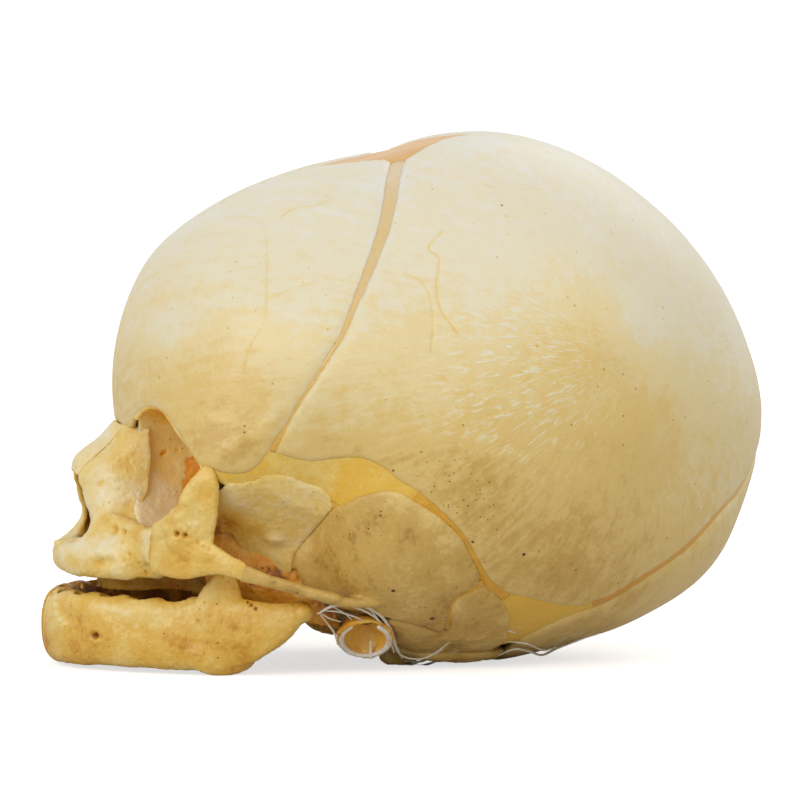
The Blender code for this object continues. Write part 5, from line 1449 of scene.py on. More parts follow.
@dataclass
class Sculpt:
    """A bone grown together from masses, with an uneven, worn surface.

    Each seam is a place on a flat face and the way out of it. The rows of the other tables hold:
    pits, a place, a radius, how deep it is and how much darker; marks, a column and a row of the
    photograph, a radius in millimetres, how deep and how much darker; tone_spots, a place, a
    radius and how much darker.
    """

    LUMP_SIZE = 5.0
    GRIT_SIZE = 1.1
    STAIN_SIZE = 6.5
    SHARP_FROM = 55.0

    name: str
    parts: list[Shape]
    voxel: float = 0.32
    smooth: int = 4
    uneven: float = 0.22
    fine: float = 0.07
    seed: int = 1
    cuts: tuple[Egg, ...] = ()
    seams: tuple[tuple[Spot, Spot], ...] = ()
    pits: Table = ()
    marks: Table = ()
    on_vault: bool = False
    tone: float = 0.5
    tone_swing: float = 0.12
    tone_spots: Table = ()
    inner_tone: float = 0.0

    def build(self) -> Object:
        """The bone as an object."""
        meshes = [part.mesh()[:2] for part in self.parts]
        if self.cuts:
            made = grown(self.name, meshes, 1.7 * self.voxel, 2)
            for cut in self.cuts:
                take_away(made, cut.mesh())
            refine(made, self.voxel, self.smooth)
        else:
            made = grown(self.name, meshes, self.voxel, self.smooth)
        for place, facing in self.seams:
            trim(made, place, facing)
        self.weather(made.data)
        return made

    def weather(self, mesh: bpy.types.Mesh) -> None:
        """Makes the surface uneven, presses the pits in, and stores the tone: darker where the surface sinks,
        paler where it rises, with the painted light and shade of the tone map and the marks.
        """
        points, away = read(mesh, "co") / MM, read(mesh, "normal")
        push = self.uneven * grain(points, self.LUMP_SIZE, self.seed)
        push = push + self.fine * grain(points, self.GRIT_SIZE, self.seed + 2, 3)
        tones = self.tone + (TONES.at(points) if self.on_vault else np.zeros(len(points)))
        tones += self.tone_swing * grain(points, self.STAIN_SIZE, self.seed + 4) - 0.4 * push
        inner = self.inner_tone * step(away[:, 1], 0.1, 0.7)
        seen = SIGHT.pixels(points)
        shown = step(-(away @ SIGHT.axes()[2]), 0.05, 0.4)
        for column, row, reach, depth, change in self.marks:
            near = bell(np.hypot(seen[:, 0] - column, seen[:, 1] - row) * SIGHT.pixel, reach) * shown
            push -= depth * near
            tones += change * near
        for *spot, reach, change in self.tone_spots:
            tones += change * bell(np.linalg.norm(points - spot, axis=1), reach)
        for *spot, reach, depth, change in self.pits:
            near = bell(np.linalg.norm(points - spot, axis=1), reach)
            push -= depth * near
            tones += change * near
        for place, facing in self.seams:
            off = np.abs((points - np.array(place)) @ unit(facing))
            push *= step(off, 0.0, 0.8)
            inner *= step(off, 0.1, 1.2)
            tones += 0.03 * bell(off, 0.7)
        low = points[:, 2] < 0.3
        push[low] = np.minimum(push[low], 0)
        moved = points + away * push[:, None]
        moved[:, 2] = np.maximum(moved[:, 2], 0.0)
        mesh.vertices.foreach_set("co", (moved * MM).ravel())
        mesh.update()
        paint(mesh, tones + inner)
        mesh.shade_smooth()
        mesh.set_sharp_from_angle(angle=math.radians(self.SHARP_FROM))


@dataclass
class Bench:
    """Dresses the pieces, makes their twins and ties them to the frame."""

    nodes: dict[str, Object]
    finishes: dict[Tint, bpy.types.Material]
    made: list[Object] = field(default_factory=list)

    def put(self, maker: Maker, tint: Tint, *nodes: str, body: str = "cranium", pair: bool = True) -> None:
        """Builds and finishes a piece and, where it has one, its right twin.

        Args:
            maker: builds the piece.
            tint: its finish.
            nodes: nodes of the frame that it stands for, without their side where it is one of a pair.
            body: the body that it rides on.
            pair: whether the piece is a left one with a right twin.
        """
        piece = maker.build()
        sides = [("", piece)]
        if pair:
            sides = [("_left", piece), ("_right", mirrored(piece, f"{piece.name}_right"))]
            piece.name = f"{piece.name}_left"
            piece.data.name = piece.name
        for side, one in sides:
            one.data.materials.clear()
            one.data.materials.append(self.finishes[tint])
            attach(one, body)
            if nodes:
                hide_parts(*(f"{node}{side}" for node in nodes))
            self.made.append(one)

    def refine(
        self, node: str, name: str, tint: Tint, body: str = "cranium", pair: bool = True, **looks: float
    ) -> None:
        """Puts a piece that is refined from one node of the frame.

        Args:
            node: the node, without its side where it is one of a pair.
            name: name of the piece.
            tint: its finish.
            body: the body that it rides on.
            pair: whether the piece is a left one with a right twin.
            looks: settings of the sculpted shape.
        """
        source = self.nodes[f"{node}_left" if pair else node]
        self.put(Sculpt(name, [Copied(source)], **looks), tint, node, body=body, pair=pair)


@dataclass(frozen=True)
class Vault:
    """The flat bones of the braincase, and the sutures and fontanelles between them."""

    edges: Edges
    frontal_wall: float = 1.6
    parietal_wall: float = 1.5
    occipital_wall: float = 1.9
    membrane_wall: float = 0.5
    frontal_grooves: tuple[Groove, ...] = (
        Groove(
            (
                (11, 35.1), (13.4, 40), (18, 43.3), (27.6, 43.5), (34.9, 38.2), (40.3, 29.3), (42.2, 23),
                (40.2, 16.4), (39.6, 12.3),
            ),
            0.3, 0.06, 0.12,
        ),
        Groove(((41.3, 27.2), (45.1, 30.4), (49.2, 32.6)), 0.28, 0.05, 0.12),
        Groove(((35.6, -5.7), (38.5, -2.9), (41, -1.3), (43.6, 0.2), (46.4, 4.8)), 1.2, -0.35, -0.05),
        Groove(((31, 47), (33, 51), (37, 52), (40, 55)), 0.34, 0.06, 0.26),
    )  # fmt: skip
    parietal_grooves: tuple[Groove, ...] = (
        Groove(
            (
                (84.6, 48.7), (80.6, 45), (83.7, 42.2), (82.9, 34.6), (83.9, 29.7), (86.4, 25.9),
                (87.9, 23.9),
            ),
            0.28, 0.07, 0.24,
        ),
        Groove(((73.9, 38.4), (78.3, 36.8), (81.2, 32.2), (81.8, 24.9), (81.3, 20)), 0.26, 0.05, 0.16),
        Groove(((104, 61), (112, 58), (121, 56.5), (131, 54)), 0.24, 0.04, 0.12),
    )  # fmt: skip

    def build(self, bench: Bench) -> None:
        """Makes the flat bones and the membranes."""
        edges = self.edges
        bench.put(Plate(
            "frontal_bone", edges.frontal(), (28, 24), self.frontal_wall, seed=3, edge_tone=-0.05,
            relief=0.09, grooves=self.frontal_grooves,
        ), Tint.VAULT, "frontal")  # fmt: skip
        bench.put(Plate(
            "parietal_bone", edges.parietal(), (118, 16), self.parietal_wall, seed=11, edge_tone=-0.06,
            ragged=0.2, spacing=1.4, grooves=self.parietal_grooves,
        ), Tint.VAULT, "parietal")  # fmt: skip
        bench.put(Plate(
            "occipital_bone", edges.occipital(), (180, -38), self.occipital_wall, seed=19, edge_tone=-0.04,
        ), Tint.VAULT, "occipital_squama", pair=False)  # fmt: skip
        self.seams(bench)
        bench.put(Plate(
            "anterior_fontanelle", edges.crown(), (0, 89), self.membrane_wall, seed=31, base_depth=0.5,
            grow=0.7, sag=0.5, edge_depth=0.1, relief=0.16, tone_shift=0.62, edge_tone=0.0, ragged=0.05,
            spacing=1.0,
        ), Tint.MEMBRANE, "anterior_fontanelle", pair=False)  # fmt: skip
        bench.put(Plate(
            "posterior_fontanelle", edges.rear_corner(), (180, -3), self.membrane_wall, seed=33,
            base_depth=0.5, grow=0.7, edge_depth=0.1, tone_shift=0.2, edge_tone=0.0, ragged=0.05, spacing=0.8,
        ), Tint.MEMBRANE, "posterior_fontanelle", pair=False)  # fmt: skip

    def seams(self, bench: Bench) -> None:
        """Makes the membranes of the sutures."""
        edges = self.edges
        metopic, sagittal = edges.left_metopic, edges.left_sagittal
        rows = (
            ("metopic", metopic, metopic * FLIP, Tint.MEMBRANE, 0.2, False),
            ("sagittal", sagittal, sagittal * FLIP, Tint.MEMBRANE, 0.16, False),
            ("coronal", edges.frontal_coronal, edges.parietal_coronal, Tint.MEMBRANE, 0.08, True),
            ("lambdoid", edges.parietal_lambdoid, edges.squama_lambdoid, Tint.MEMBRANE, 0.14, True),
            ("squamosal", edges.parietal_squamosal, edges.temporal_squamosal, Tint.GOLDEN, 0.1, True),
        )
        for seed, (name, first, second, tint, shift, pair) in enumerate(rows, start=2):
            seam = Ribbon(f"{name}_seam", first, second, tone_shift=shift, seed=seed)
            bench.put(seam, tint, f"{name}_suture", pair=pair)


@dataclass(frozen=True)
class Temple:
    """The temporal bone, the greater wing, and the membranes beside them."""

    edges: Edges
    temporal_wall: float = 1.7
    wing_wall: float = 1.7
    mastoid_wall: float = 2.4
    arch_depth: float = 3.4
    arch_thickness: float = 2.2
    arch: Table = (
        (-34.0, -33.7, 19.4, 0.5, 0.5), (-31.5, -34.0, 18.6, 0.44, 0.5), (-28.5, -34.2, 17.6, 0.34, 0.5),
        (-24.5, -33.6, 16.4, 0.31, 0.56), (-20.0, -32.4, 15.0, 0.3, 0.8), (-16.0, -31.2, 14.0, 0.32, 1.0),
    )  # fmt: skip
    arch_tail: Table = (
        (-18.0, -32.0, 14.2, 0.28, 0.6), (-14.0, -31.6, 13.4, 0.26, 0.5), (-9.5, -30.9, 13.2, 0.28, 0.6),
        (-5.0, -30.9, 13.6, 0.2, 0.4),
    )  # fmt: skip
    arch_seam: Spot = (-32.7, -33.5, 19.0)
    orbit_side: tuple[Table, ...] = (
        ((-32.0, -27.4, 36.6), (-35.4, -28.6, 36.4), (-37.8, -30.2, 36.2)),
        ((-32.4, -25.4, 32.0), (-35.8, -26.9, 32.0), (-38.4, -29.3, 32.0)),
        ((-32.6, -23.4, 28.4), (-36.2, -25.3, 28.4), (-39.0, -28.2, 28.4)),
        ((-32.4, -21.4, 25.0), (-36.0, -23.2, 24.6), (-39.2, -26.2, 24.6)),
    )  # fmt: skip
    fossa: tuple[Table, ...] = (
        (
            (-39.0, -17.5, 27.0), (-34.0, -19.5, 27.0), (-29.0, -20.5, 25.0), (-23.0, -21.5, 21.0),
            (-15.0, -21.5, 16.0),
        ),
        (
            (-38.5, -18.0, 21.0), (-34.0, -20.0, 20.5), (-29.0, -21.0, 19.0), (-23.0, -22.0, 16.5),
            (-14.5, -22.0, 13.0),
        ),
        (
            (-37.0, -18.0, 15.5), (-33.0, -19.6, 15.0), (-28.0, -20.8, 14.0), (-22.0, -21.6, 12.6),
            (-14.0, -21.6, 10.0),
        ),
        (
            (-34.5, -18.0, 10.5), (-31.0, -19.0, 10.0), (-26.0, -20.0, 9.6), (-20.5, -21.0, 9.0),
            (-13.5, -21.0, 7.6),
        ),
    )  # fmt: skip
    ear_strands: tuple[Table, ...] = (
        (
            (318, 612, -30.4, 0.12), (333, 604, -30.8, 0.3), (350, 601, -30.6, 0.36),
            (367, 605, -29.8, 0.36), (381, 614, -28.2, 0.32), (391, 629, -25.4, 0.28),
            (396, 645, -22.9, 0.24), (402, 657, -20.4, 0.15),
        ),
        (
            (319, 612, -30.6, 0.1), (333, 605, -30.6, 0.18), (348, 604, -30.2, 0.2),
            (362, 608, -29.4, 0.2), (377, 617, -27.9, 0.2), (387, 630, -25.6, 0.15),
        ),
        (
            (324, 609, -30.4, 0.1), (338, 610, -30.0, 0.16), (352, 614, -29.0, 0.18),
            (364, 619, -28.2, 0.12),
        ),
        (
            (321, 613, -30.2, 0.1), (329, 623, -28.8, 0.16), (335, 632, -27.4, 0.18),
            (338, 643, -26.2, 0.1),
        ),
        ((333, 605, -30.5, 0.08), (344, 611, -29.8, 0.12), (352, 618, -28.8, 0.08)),
        ((322, 612, -30.3, 0.08), (331, 617, -29.4, 0.14), (341, 620, -28.6, 0.1)),
        (
            (370, 607, -29.5, 0.08), (379, 619, -27.8, 0.16), (388, 634, -25.6, 0.16),
            (394, 651, -23.0, 0.1),
        ),
        (
            (393, 641, -23.8, 0.1), (399, 652, -21.6, 0.16), (409, 657, -20.6, 0.18),
            (424, 657, -19.6, 0.18), (436, 651, -20.2, 0.14), (449, 641, -23.4, 0.08),
        ),
    )  # fmt: skip
    base_strands: tuple[Table, ...] = (
        ((404, 660, 1.2, 0.1), (420, 660, 1.0, 0.24), (438, 655, 0.8, 0.18), (459, 646, 0.5, 0.08)),
        ((405, 655, 0.9, 0.1), (422, 656, 0.8, 0.2), (436, 649, 0.6, 0.18), (449, 641, 0.4, 0.08)),
        ((398, 658, 1.0, 0.1), (412, 658, 1.0, 0.2), (428, 652, 0.8, 0.14), (440, 645, 0.5, 0.08)),
        ((478, 634, 0.4, 0.08), (490, 629, 0.5, 0.16), (504, 627, 0.5, 0.2), (514, 629, 0.5, 0.1)),
        ((468, 631, 0.4, 0.06), (480, 627, 0.45, 0.14), (494, 627, 0.5, 0.1)),
        (
            (497, 648, 1.2, 0.1), (512, 643, 1.0, 0.2), (527, 646, 0.9, 0.24), (540, 650, 0.9, 0.2),
            (556, 645, 0.5, 0.24), (576, 638, 0.4, 0.2), (604, 629, 0.3, 0.1),
        ),
        ((505, 637, 0.7, 0.08), (524, 639, 0.7, 0.2), (541, 646, 0.7, 0.2), (552, 645, 0.5, 0.1)),
        ((553, 643, 0.5, 0.08), (568, 633, 0.3, 0.2), (585, 629, 0.25, 0.08)),
    )  # fmt: skip
    corner_fibres: tuple[Table, ...] = (
        ((512, 606, -0.2, 0.2), (530, 603, -0.2, 0.32), (556, 605, -0.2, 0.3), (584, 606, -0.4, 0.2)),
        ((513, 616, -0.2, 0.2), (532, 611, -0.2, 0.3), (560, 612, -0.2, 0.3), (592, 604, -0.4, 0.2)),
        ((514, 622, -0.2, 0.2), (533, 622, -0.2, 0.34), (556, 619, -0.3, 0.3), (580, 611, -0.4, 0.2)),
        ((514, 628, -0.2, 0.2), (530, 632, -0.2, 0.32), (546, 630, -0.3, 0.3), (564, 621, -0.4, 0.2)),
        ((518, 598, -0.3, 0.2), (538, 597, -0.3, 0.3), (556, 600, -0.3, 0.3), (572, 603, -0.4, 0.2)),
        ((515, 600, -0.1, 0.2), (513, 612, 0.0, 0.3), (516, 624, -0.1, 0.2)),
    )  # fmt: skip
    wing_seam_start: Table = ((55.6, -17.6), (57.0, -18.3))
    wing_seam_end: Table = ((37.2, -36.3), (38.3, -36.6))
    fissure_end: Table = ((97.6, -39.6), (98.0, -40.2))
    ring_post: Table = ((371, 640, -23.6, 0.22), (371, 648, -22.8, 0.28), (371, 656, -22.4, 0.3))
    ring_centre: Spot = (-9.7, -25.0, 6.0)
    ring_facing: Spot = (-0.1, -0.72, -0.69)
    ring_radius: float = 4.2
    ring_tube: float = 0.5
    ring_cup: float = 4.4
    ring_depth: float = 4.6
    ring_open: float = 70.0

    def build(self, bench: Bench) -> None:
        """Makes the bones and membranes of the temple."""
        self.bones(bench)
        self.membranes(bench)
        bench.put(self.ring(), Tint.FILM, "tympanic_ring")
        bench.put(Sculpt(
            "fossa_tissue", [Sheet(self.fossa, 0.7, (0.0, 0.0, 40.0))], voxel=0.3, smooth=2, uneven=0.5,
            fine=0.18, tone=0.78, tone_swing=0.3, seed=131,
        ), Tint.INNER)  # fmt: skip
        bench.put(self.cup(), Tint.INNER)
        strands = SIGHT.strands(self.ear_strands) + SIGHT.strands(self.base_strands, True)
        bench.put(Bundle("dried_strands", strands, tone=0.4, swing=0.25), Tint.FILM)
        bench.put(Bundle("corner_fibres", SIGHT.strands(self.corner_fibres, True), tone=0.36), Tint.GOLDEN)
        bench.put(Bundle("ring_post", SIGHT.strands((self.ring_post,)), tone=0.3), Tint.FILM)

    def bones(self, bench: Bench) -> None:
        """Makes the temporal bone and the greater wing."""
        edges = self.edges
        squama = Plate(
            "plate", edges.temporal(), (70, -33), self.temporal_wall, spacing=1.0, seed=41, ragged=0.12,
            edge_depth=0.3, edge_reach=1.0, grow=0.12,
        )  # fmt: skip
        bars = [Stroke(table, self.arch_depth, self.arch_thickness) for table in (self.arch, self.arch_tail)]
        bench.put(Sculpt(
            "temporal_bone", [squama, *bars], voxel=0.34, smooth=2, uneven=0.12, fine=0.06, seed=43,
            seams=((self.arch_seam, (-0.98, 0.0, 0.20)),), on_vault=True, tone=0.12,
            tone_spots=(
                (-24, -31, 19, 4, 0.14), (-14, -36, 27, 5, 0.04), (-20, -34, 14.5, 3, -0.12),
                (-17.2, -38.5, 31, 3, -0.12), (-12.8, -40, 33, 3, -0.14), (-5.6, -41, 32.6, 3, -0.14),
                (-0.3, -41.5, 29.1, 3, -0.14), (4.2, -41.5, 23.8, 3, -0.12),
            ),
        ), Tint.TEMPLE, "temporal_squama")  # fmt: skip
        plate = Plate(
            "plate", edges.wing(), (40, -24), self.wing_wall, spacing=1.0, seed=47, ragged=0.10,
            edge_depth=0.25, edge_reach=1.0, grow=0.15,
        )  # fmt: skip
        bench.put(Sculpt(
            "greater_wing", [plate, Sheet(self.orbit_side, 1.2), Copied(bench.nodes["greater_wing_left"])],
            # The pale base tone of -0.10 is partly the wing's own pale colour and partly painted light that
            # offsets the shade of its recess.
            voxel=0.36, smooth=3, uneven=0.12, seed=49, on_vault=True, tone=-0.10, inner_tone=0.3,
            tone_spots=((-36, -25, 25, 5, 0.42), (-34, -22, 20, 6, 0.3), (-26, -26, 19, 5, 0.12)),
            pits=((-31.0, -24.0, 29.5, 0.5, 0.35, 0.3), (-30.3, -24.6, 28.6, 0.4, 0.3, 0.3)),
        ), Tint.FACE, "greater_wing")  # fmt: skip
        plate = Plate("plate", edges.mastoid(), (104, -56), self.mastoid_wall, spacing=1.0, seed=53)
        bench.put(Sculpt(
            "petromastoid", [plate, Copied(bench.nodes["petrous_left"])], voxel=0.36, smooth=4, uneven=0.25,
            fine=0.1, seed=55, on_vault=True, tone=0.08, tone_spots=((-9, -21, 6, 7, 0.12),),
        ), Tint.TEMPLE, "petrous")  # fmt: skip

    def membranes(self, bench: Bench) -> None:
        """Makes the seams between these bones, and the two fontanelles at their corners."""
        edges = self.edges
        temporal_end, mastoid_end = self.fissure_end
        bench.put(Ribbon(
            "petrous_fissure", edges.smooth((*edges.temporal_rear, temporal_end)),
            edges.smooth((*edges.mastoid_rise, mastoid_end)), tuck=0.5, depth=0.42, crown=0.05, thick=0.4,
            tone_shift=0.1, seed=65,
        ), Tint.GOLDEN)  # fmt: skip
        front, rear = zip(self.wing_seam_start, self.wing_seam_end)
        bench.put(Ribbon(
            "wing_seam", edges.smooth((front[0], *edges.wing_rear, front[1])),
            edges.smooth((rear[0], *edges.temporal_front, rear[1])), tuck=0.7, depth=0.6, crown=0.05,
            thick=0.4, tone_shift=0.05, seed=67,
        ), Tint.GOLDEN)  # fmt: skip
        bench.put(Plate(
            "sphenoidal_fontanelle", edges.temple(), (55, -12), 0.5, seed=61, base_depth=0.5, grow=0.7,
            edge_depth=0.1, tone_shift=-0.14, edge_tone=0.0, ragged=0.05, spacing=0.9, relief=0.2,
        ), Tint.GOLDEN, "sphenoidal_fontanelle")  # fmt: skip
        bench.put(Plate(
            "mastoid_fontanelle", edges.asterion(), (122, -50), 0.5, seed=63, base_depth=0.5, grow=0.6,
            edge_depth=0.1, tone_shift=-0.1, edge_tone=0.0, ragged=0.05, spacing=0.9, relief=0.3,
        ), Tint.GOLDEN, "mastoid_fontanelle")  # fmt: skip

    def ring_plane(self) -> tuple[Vector, Vector, Vector]:
        """The way that the ring faces, and its own up and side."""
        facing = Vector(unit(self.ring_facing))
        up = (Vector((0, 0, 1)) - facing * facing.z).normalized()
        return facing, up, facing.cross(up)

    def cup(self) -> Sculpt:
        """The hollow of the middle ear behind the ring."""
        facing, up, side = self.ring_plane()
        middle = Vector(self.ring_centre)
        turns = np.linspace(0, FULL_TURN, 36, endpoint=False)
        spokes = [up * math.cos(turn) + side * math.sin(turn) for turn in turns]
        rim = np.array([middle + spoke * self.ring_cup for spoke in spokes])
        apex = tuple(middle - facing * self.ring_depth)
        bowl = Shell(rim, np.array(middle), 0.0, 0.96, wall=0.6, rows=12, ring=True, apex=apex)
        return Sculpt(
            "ear_hollow", [bowl], voxel=0.3, smooth=3, uneven=0.4, fine=0.12, tone=0.62, tone_swing=0.2,
            seed=133,
        )  # fmt: skip

    def ring(self) -> Sculpt:
        """The open ring of the eardrum."""
        facing, up, side = self.ring_plane()
        gap = math.radians(self.ring_open / 2)
        table = []
        for share in np.linspace(0, 1, 12):
            turn = gap + (FULL_TURN - 2 * gap) * share
            spot = Vector(self.ring_centre) + (up * math.cos(turn) + side * math.sin(turn)) * self.ring_radius
            girth = 1.0 - 0.35 * math.cos(share * FULL_TURN) ** 2 + 0.2 * share
            table.append((*spot, girth, girth))
        bar = Stroke(tuple(table), self.ring_tube, self.ring_tube, tuple(facing), 1.0)
        return Sculpt("tympanic_ring", [bar], voxel=0.2, smooth=2, uneven=0.08, fine=0.05, tone=0.4, seed=67)


@dataclass(frozen=True)
class Face:
    """The bones of the upper face and the lining of the orbits and the nose."""

    edges: Edges
    maxilla_depth: float = 6.2
    maxilla_thickness: float = 5.8
    zygomatic_depth: float = 6.6
    zygomatic_thickness: float = 2.8
    palate_wall: float = 1.6
    cheek_seam: Spot = (-46.2, -23.2, 22.5)
    cheek_facing: Spot = (0.42, -0.86, -0.12)
    arch_seam: Spot = (-32.5, -33.5, 19.0)
    alveolar: Table = (
        (-59.2, -1.2, 19.2, 0.48, 0.48), (-57.4, -7.5, 19.3, 0.5, 0.5), (-53.5, -13.0, 19.3, 0.5, 0.5),
        (-49.0, -16.0, 19.3, 0.5, 0.5), (-44.0, -17.0, 19.7, 0.5, 0.48), (-40.8, -16.8, 20.5, 0.44, 0.4),
    )  # fmt: skip
    body: Table = (
        (-53.5, -11.2, 21.5, 0.44, 0.4), (-50.0, -13.5, 22.0, 0.56, 0.52),
        (-46.5, -15.0, 22.2, 0.56, 0.62), (-42.5, -15.2, 22.2, 0.5, 0.56),
        (-40.4, -15.0, 22.2, 0.4, 0.42),
    )  # fmt: skip
    cheek_root: Table = (
        (-47.5, -15.0, 22.6, 0.42, 0.46), (-46.6, -20.0, 22.2, 0.44, 0.46),
        (-45.5, -24.0, 21.6, 0.46, 0.4),
    )  # fmt: skip
    process: tuple[Table, ...] = (
        ((-50.4, -3.8, 43.0), (-50.0, -5.2, 43.0), (-49.3, -7.0, 43.0), (-45.8, -8.9, 42.6)),
        ((-52.3, -3.7, 39.9), (-51.3, -5.6, 39.8), (-49.6, -7.6, 39.7), (-45.6, -8.8, 39.6)),
        ((-54.7, -3.7, 37.7), (-53.2, -6.0, 37.6), (-50.6, -8.0, 37.5), (-45.4, -8.9, 37.4)),
        ((-56.8, -3.6, 35.7), (-54.9, -6.2, 35.5), (-51.4, -8.4, 35.4), (-45.4, -9.1, 35.3)),
        ((-58.1, -3.1, 33.5), (-56.4, -5.6, 33.5), (-52.2, -8.4, 33.4), (-45.6, -9.3, 33.3)),
        ((-57.5, -3.9, 31.5), (-55.9, -6.2, 31.4), (-52.2, -8.8, 31.3), (-46.0, -9.5, 31.2)),
        ((-56.9, -4.4, 29.3), (-55.4, -6.9, 29.2), (-52.4, -9.3, 29.1), (-47.4, -10.2, 29.0)),
        ((-56.2, -4.7, 27.2), (-55.2, -7.6, 27.0), (-53.1, -9.9, 26.9), (-49.6, -11.4, 26.8)),
        ((-56.0, -4.8, 24.9), (-56.4, -8.2, 24.7), (-54.6, -11.6, 24.6), (-51.4, -14.4, 24.5)),
        ((-57.6, -4.6, 22.6), (-58.2, -8.6, 22.4), (-56.0, -12.6, 22.3), (-53.0, -15.6, 22.3)),
        ((-60.0, -4.0, 20.2), (-59.8, -8.6, 20.0), (-57.6, -12.4, 20.0), (-54.6, -15.6, 20.0)),
    )  # fmt: skip
    cheek: tuple[Table, ...] = (
        ((-52.2, -11.6, 25.6), (-50.0, -15.0, 24.9), (-48.6, -18.8, 24.7), (-47.2, -22.5, 24.6)),
        ((-54.2, -12.6, 23.6), (-51.9, -15.9, 23.3), (-49.6, -19.2, 22.9), (-47.5, -22.9, 22.6)),
        ((-56.4, -13.2, 21.2), (-53.2, -16.8, 21.1), (-49.9, -19.6, 20.9), (-46.8, -22.4, 20.8)),
        ((-56.9, -13.2, 19.2), (-53.4, -16.9, 19.2), (-49.6, -19.3, 19.2), (-46.0, -20.6, 19.4)),
    )  # fmt: skip
    rim: Table = (
        (-52.5, -10.8, 26.2, 0.3, 0.3), (-49.8, -14.5, 24.6, 0.32, 0.32),
        (-47.8, -19.5, 24.0, 0.32, 0.32), (-45.5, -25.0, 24.6, 0.32, 0.32),
    )  # fmt: skip
    sill: Table = (
        (-58.6, -1.0, 20.5, 0.36, 0.2), (-56.6, -4.5, 21.4, 0.3, 0.22), (-54.5, -8.0, 22.5, 0.3, 0.24),
        (-52.6, -10.0, 24.5, 0.36, 0.24),
    )  # fmt: skip
    spine: Table = ((-57.5, -0.6, 20.5, 0.34, 0.22), (-61.3, -0.5, 21.65, 0.11, 0.11))
    mouth_sheet: tuple[Table, ...] = (
        (
            (-54.8, -3.5, 20.0), (-52.0, -6.6, 20.0), (-47.0, -8.8, 20.0), (-41.0, -9.6, 20.0),
            (-36.0, -9.8, 19.5),
        ),
        (
            (-54.0, -3.2, 16.5), (-51.4, -6.0, 16.5), (-46.6, -8.4, 16.5), (-41.0, -9.4, 16.5),
            (-35.6, -9.8, 16.0),
        ),
        (
            (-53.4, -3.0, 13.6), (-50.8, -5.6, 13.6), (-46.2, -7.8, 13.6), (-41.0, -9.0, 13.6),
            (-35.2, -9.6, 13.4),
        ),
    )  # fmt: skip
    palate: Table = (
        (-56.5, -4.0, 21.2, 2.4, 0.5), (-52.0, -7.0, 20.6, 4.0, 0.5), (-46.0, -7.0, 20.5, 4.4, 0.48),
        (-39.8, -7.0, 20.5, 4.4, 0.48),
    )  # fmt: skip
    crypts: Table = (
        (-58.3, -3.6, 16.3, 0.72), (-56.0, -8.5, 16.3, 0.78), (-52.3, -13.2, 16.3, 0.95),
        (-47.8, -16.1, 16.4, 1.1), (-42.8, -17.2, 16.8, 1.1),
    )  # fmt: skip
    zygomatic_body: Table = (
        (-47.4, -20.5, 22.0, 0.56, 0.6), (-45.0, -25.0, 22.0, 0.66, 0.6),
        (-42.0, -28.5, 21.8, 0.66, 0.52), (-38.5, -31.2, 21.3, 0.46, 0.44),
        (-35.0, -33.2, 20.2, 0.28, 0.4), (-31.0, -34.0, 18.5, 0.22, 0.4),
    )  # fmt: skip
    zygomatic_rise: Table = (
        (-41.5, -28.8, 22.5, 0.62, 0.48), (-40.6, -30.2, 27.0, 0.56, 0.48),
        (-40.0, -31.1, 31.0, 0.53, 0.46), (-39.1, -31.4, 34.0, 0.42, 0.48),
        (-38.4, -31.2, 36.6, 0.22, 0.46),
    )  # fmt: skip
    zygomatic_rim: Table = (
        (-43.0, -29.2, 28.8, 0.27, 0.52), (-45.2, -25.6, 26.0, 0.3, 0.54),
        (-47.8, -20.5, 24.6, 0.3, 0.54),
    )  # fmt: skip
    nasal: tuple[Table, ...] = (
        ((-50.9, 0.4, 43.2), (-50.8, -2.1, 43.1), (-50.3, -4.1, 42.8)),
        ((-53.6, 0.4, 40.4), (-53.2, -2.0, 40.2), (-52.2, -3.9, 39.8)),
        ((-56.2, 0.4, 38.5), (-55.8, -2.0, 38.2), (-54.6, -3.9, 37.6)),
        ((-58.2, 0.4, 36.7), (-57.8, -1.9, 36.3), (-56.7, -3.7, 35.6)),
        ((-58.6, 0.4, 34.6), (-58.4, -1.8, 34.2), (-57.9, -3.2, 33.8)),
    )  # fmt: skip
    orbit_rim: Table = (
        (-40.4, -30.7, 37.2), (-41.6, -30.6, 34.2), (-43.4, -29.8, 31.2), (-45.1, -27.0, 27.6),
        (-47.2, -21.5, 25.6), (-48.8, -14.5, 25.6), (-49.2, -10.8, 28.8), (-48.6, -9.2, 33.5),
        (-48.4, -8.6, 39.0),
    )  # fmt: skip
    orbit_corner: Spot = (-48.2, -8.6, 41.9)

    def build(self, bench: Bench) -> None:
        """Makes the bones of the upper face."""
        bench.put(self.maxilla(), Tint.FACE, "maxilla")
        bench.put(self.zygomatic(), Tint.FACE, "zygomatic")
        bench.put(self.nasal_bone(), Tint.FACE, "nasal_bone")
        bench.put(self.orbit(), Tint.ORBIT, "lacrimal")
        bench.put(Sculpt(
            "mouth_tissue", [Sheet(self.mouth_sheet, 0.7, (-45.0, 0.0, 16.0))], voxel=0.3, smooth=2,
            uneven=0.4, fine=0.15, tone=0.66, tone_swing=0.25, seed=137,
        ), Tint.INNER)  # fmt: skip
        tones = {"nasal_concha": 0.62, "ethmoid_labyrinth": 0.72, "palatine": 0.66}
        for seed, (name, tone) in enumerate(tones.items(), start=81):
            looks = {"voxel": 0.3, "smooth": 4, "uneven": 0.15, "tone": tone, "seed": seed}
            bench.refine(name, f"{name}_bone", Tint.INNER, **looks)
        for name, seed in (("nasal_septum", 91), ("vomer", 92)):
            looks = {"voxel": 0.28, "smooth": 3, "uneven": 0.1, "tone": 0.7, "seed": seed}
            bench.refine(name, f"{name}_plate", Tint.INNER, pair=False, **looks)

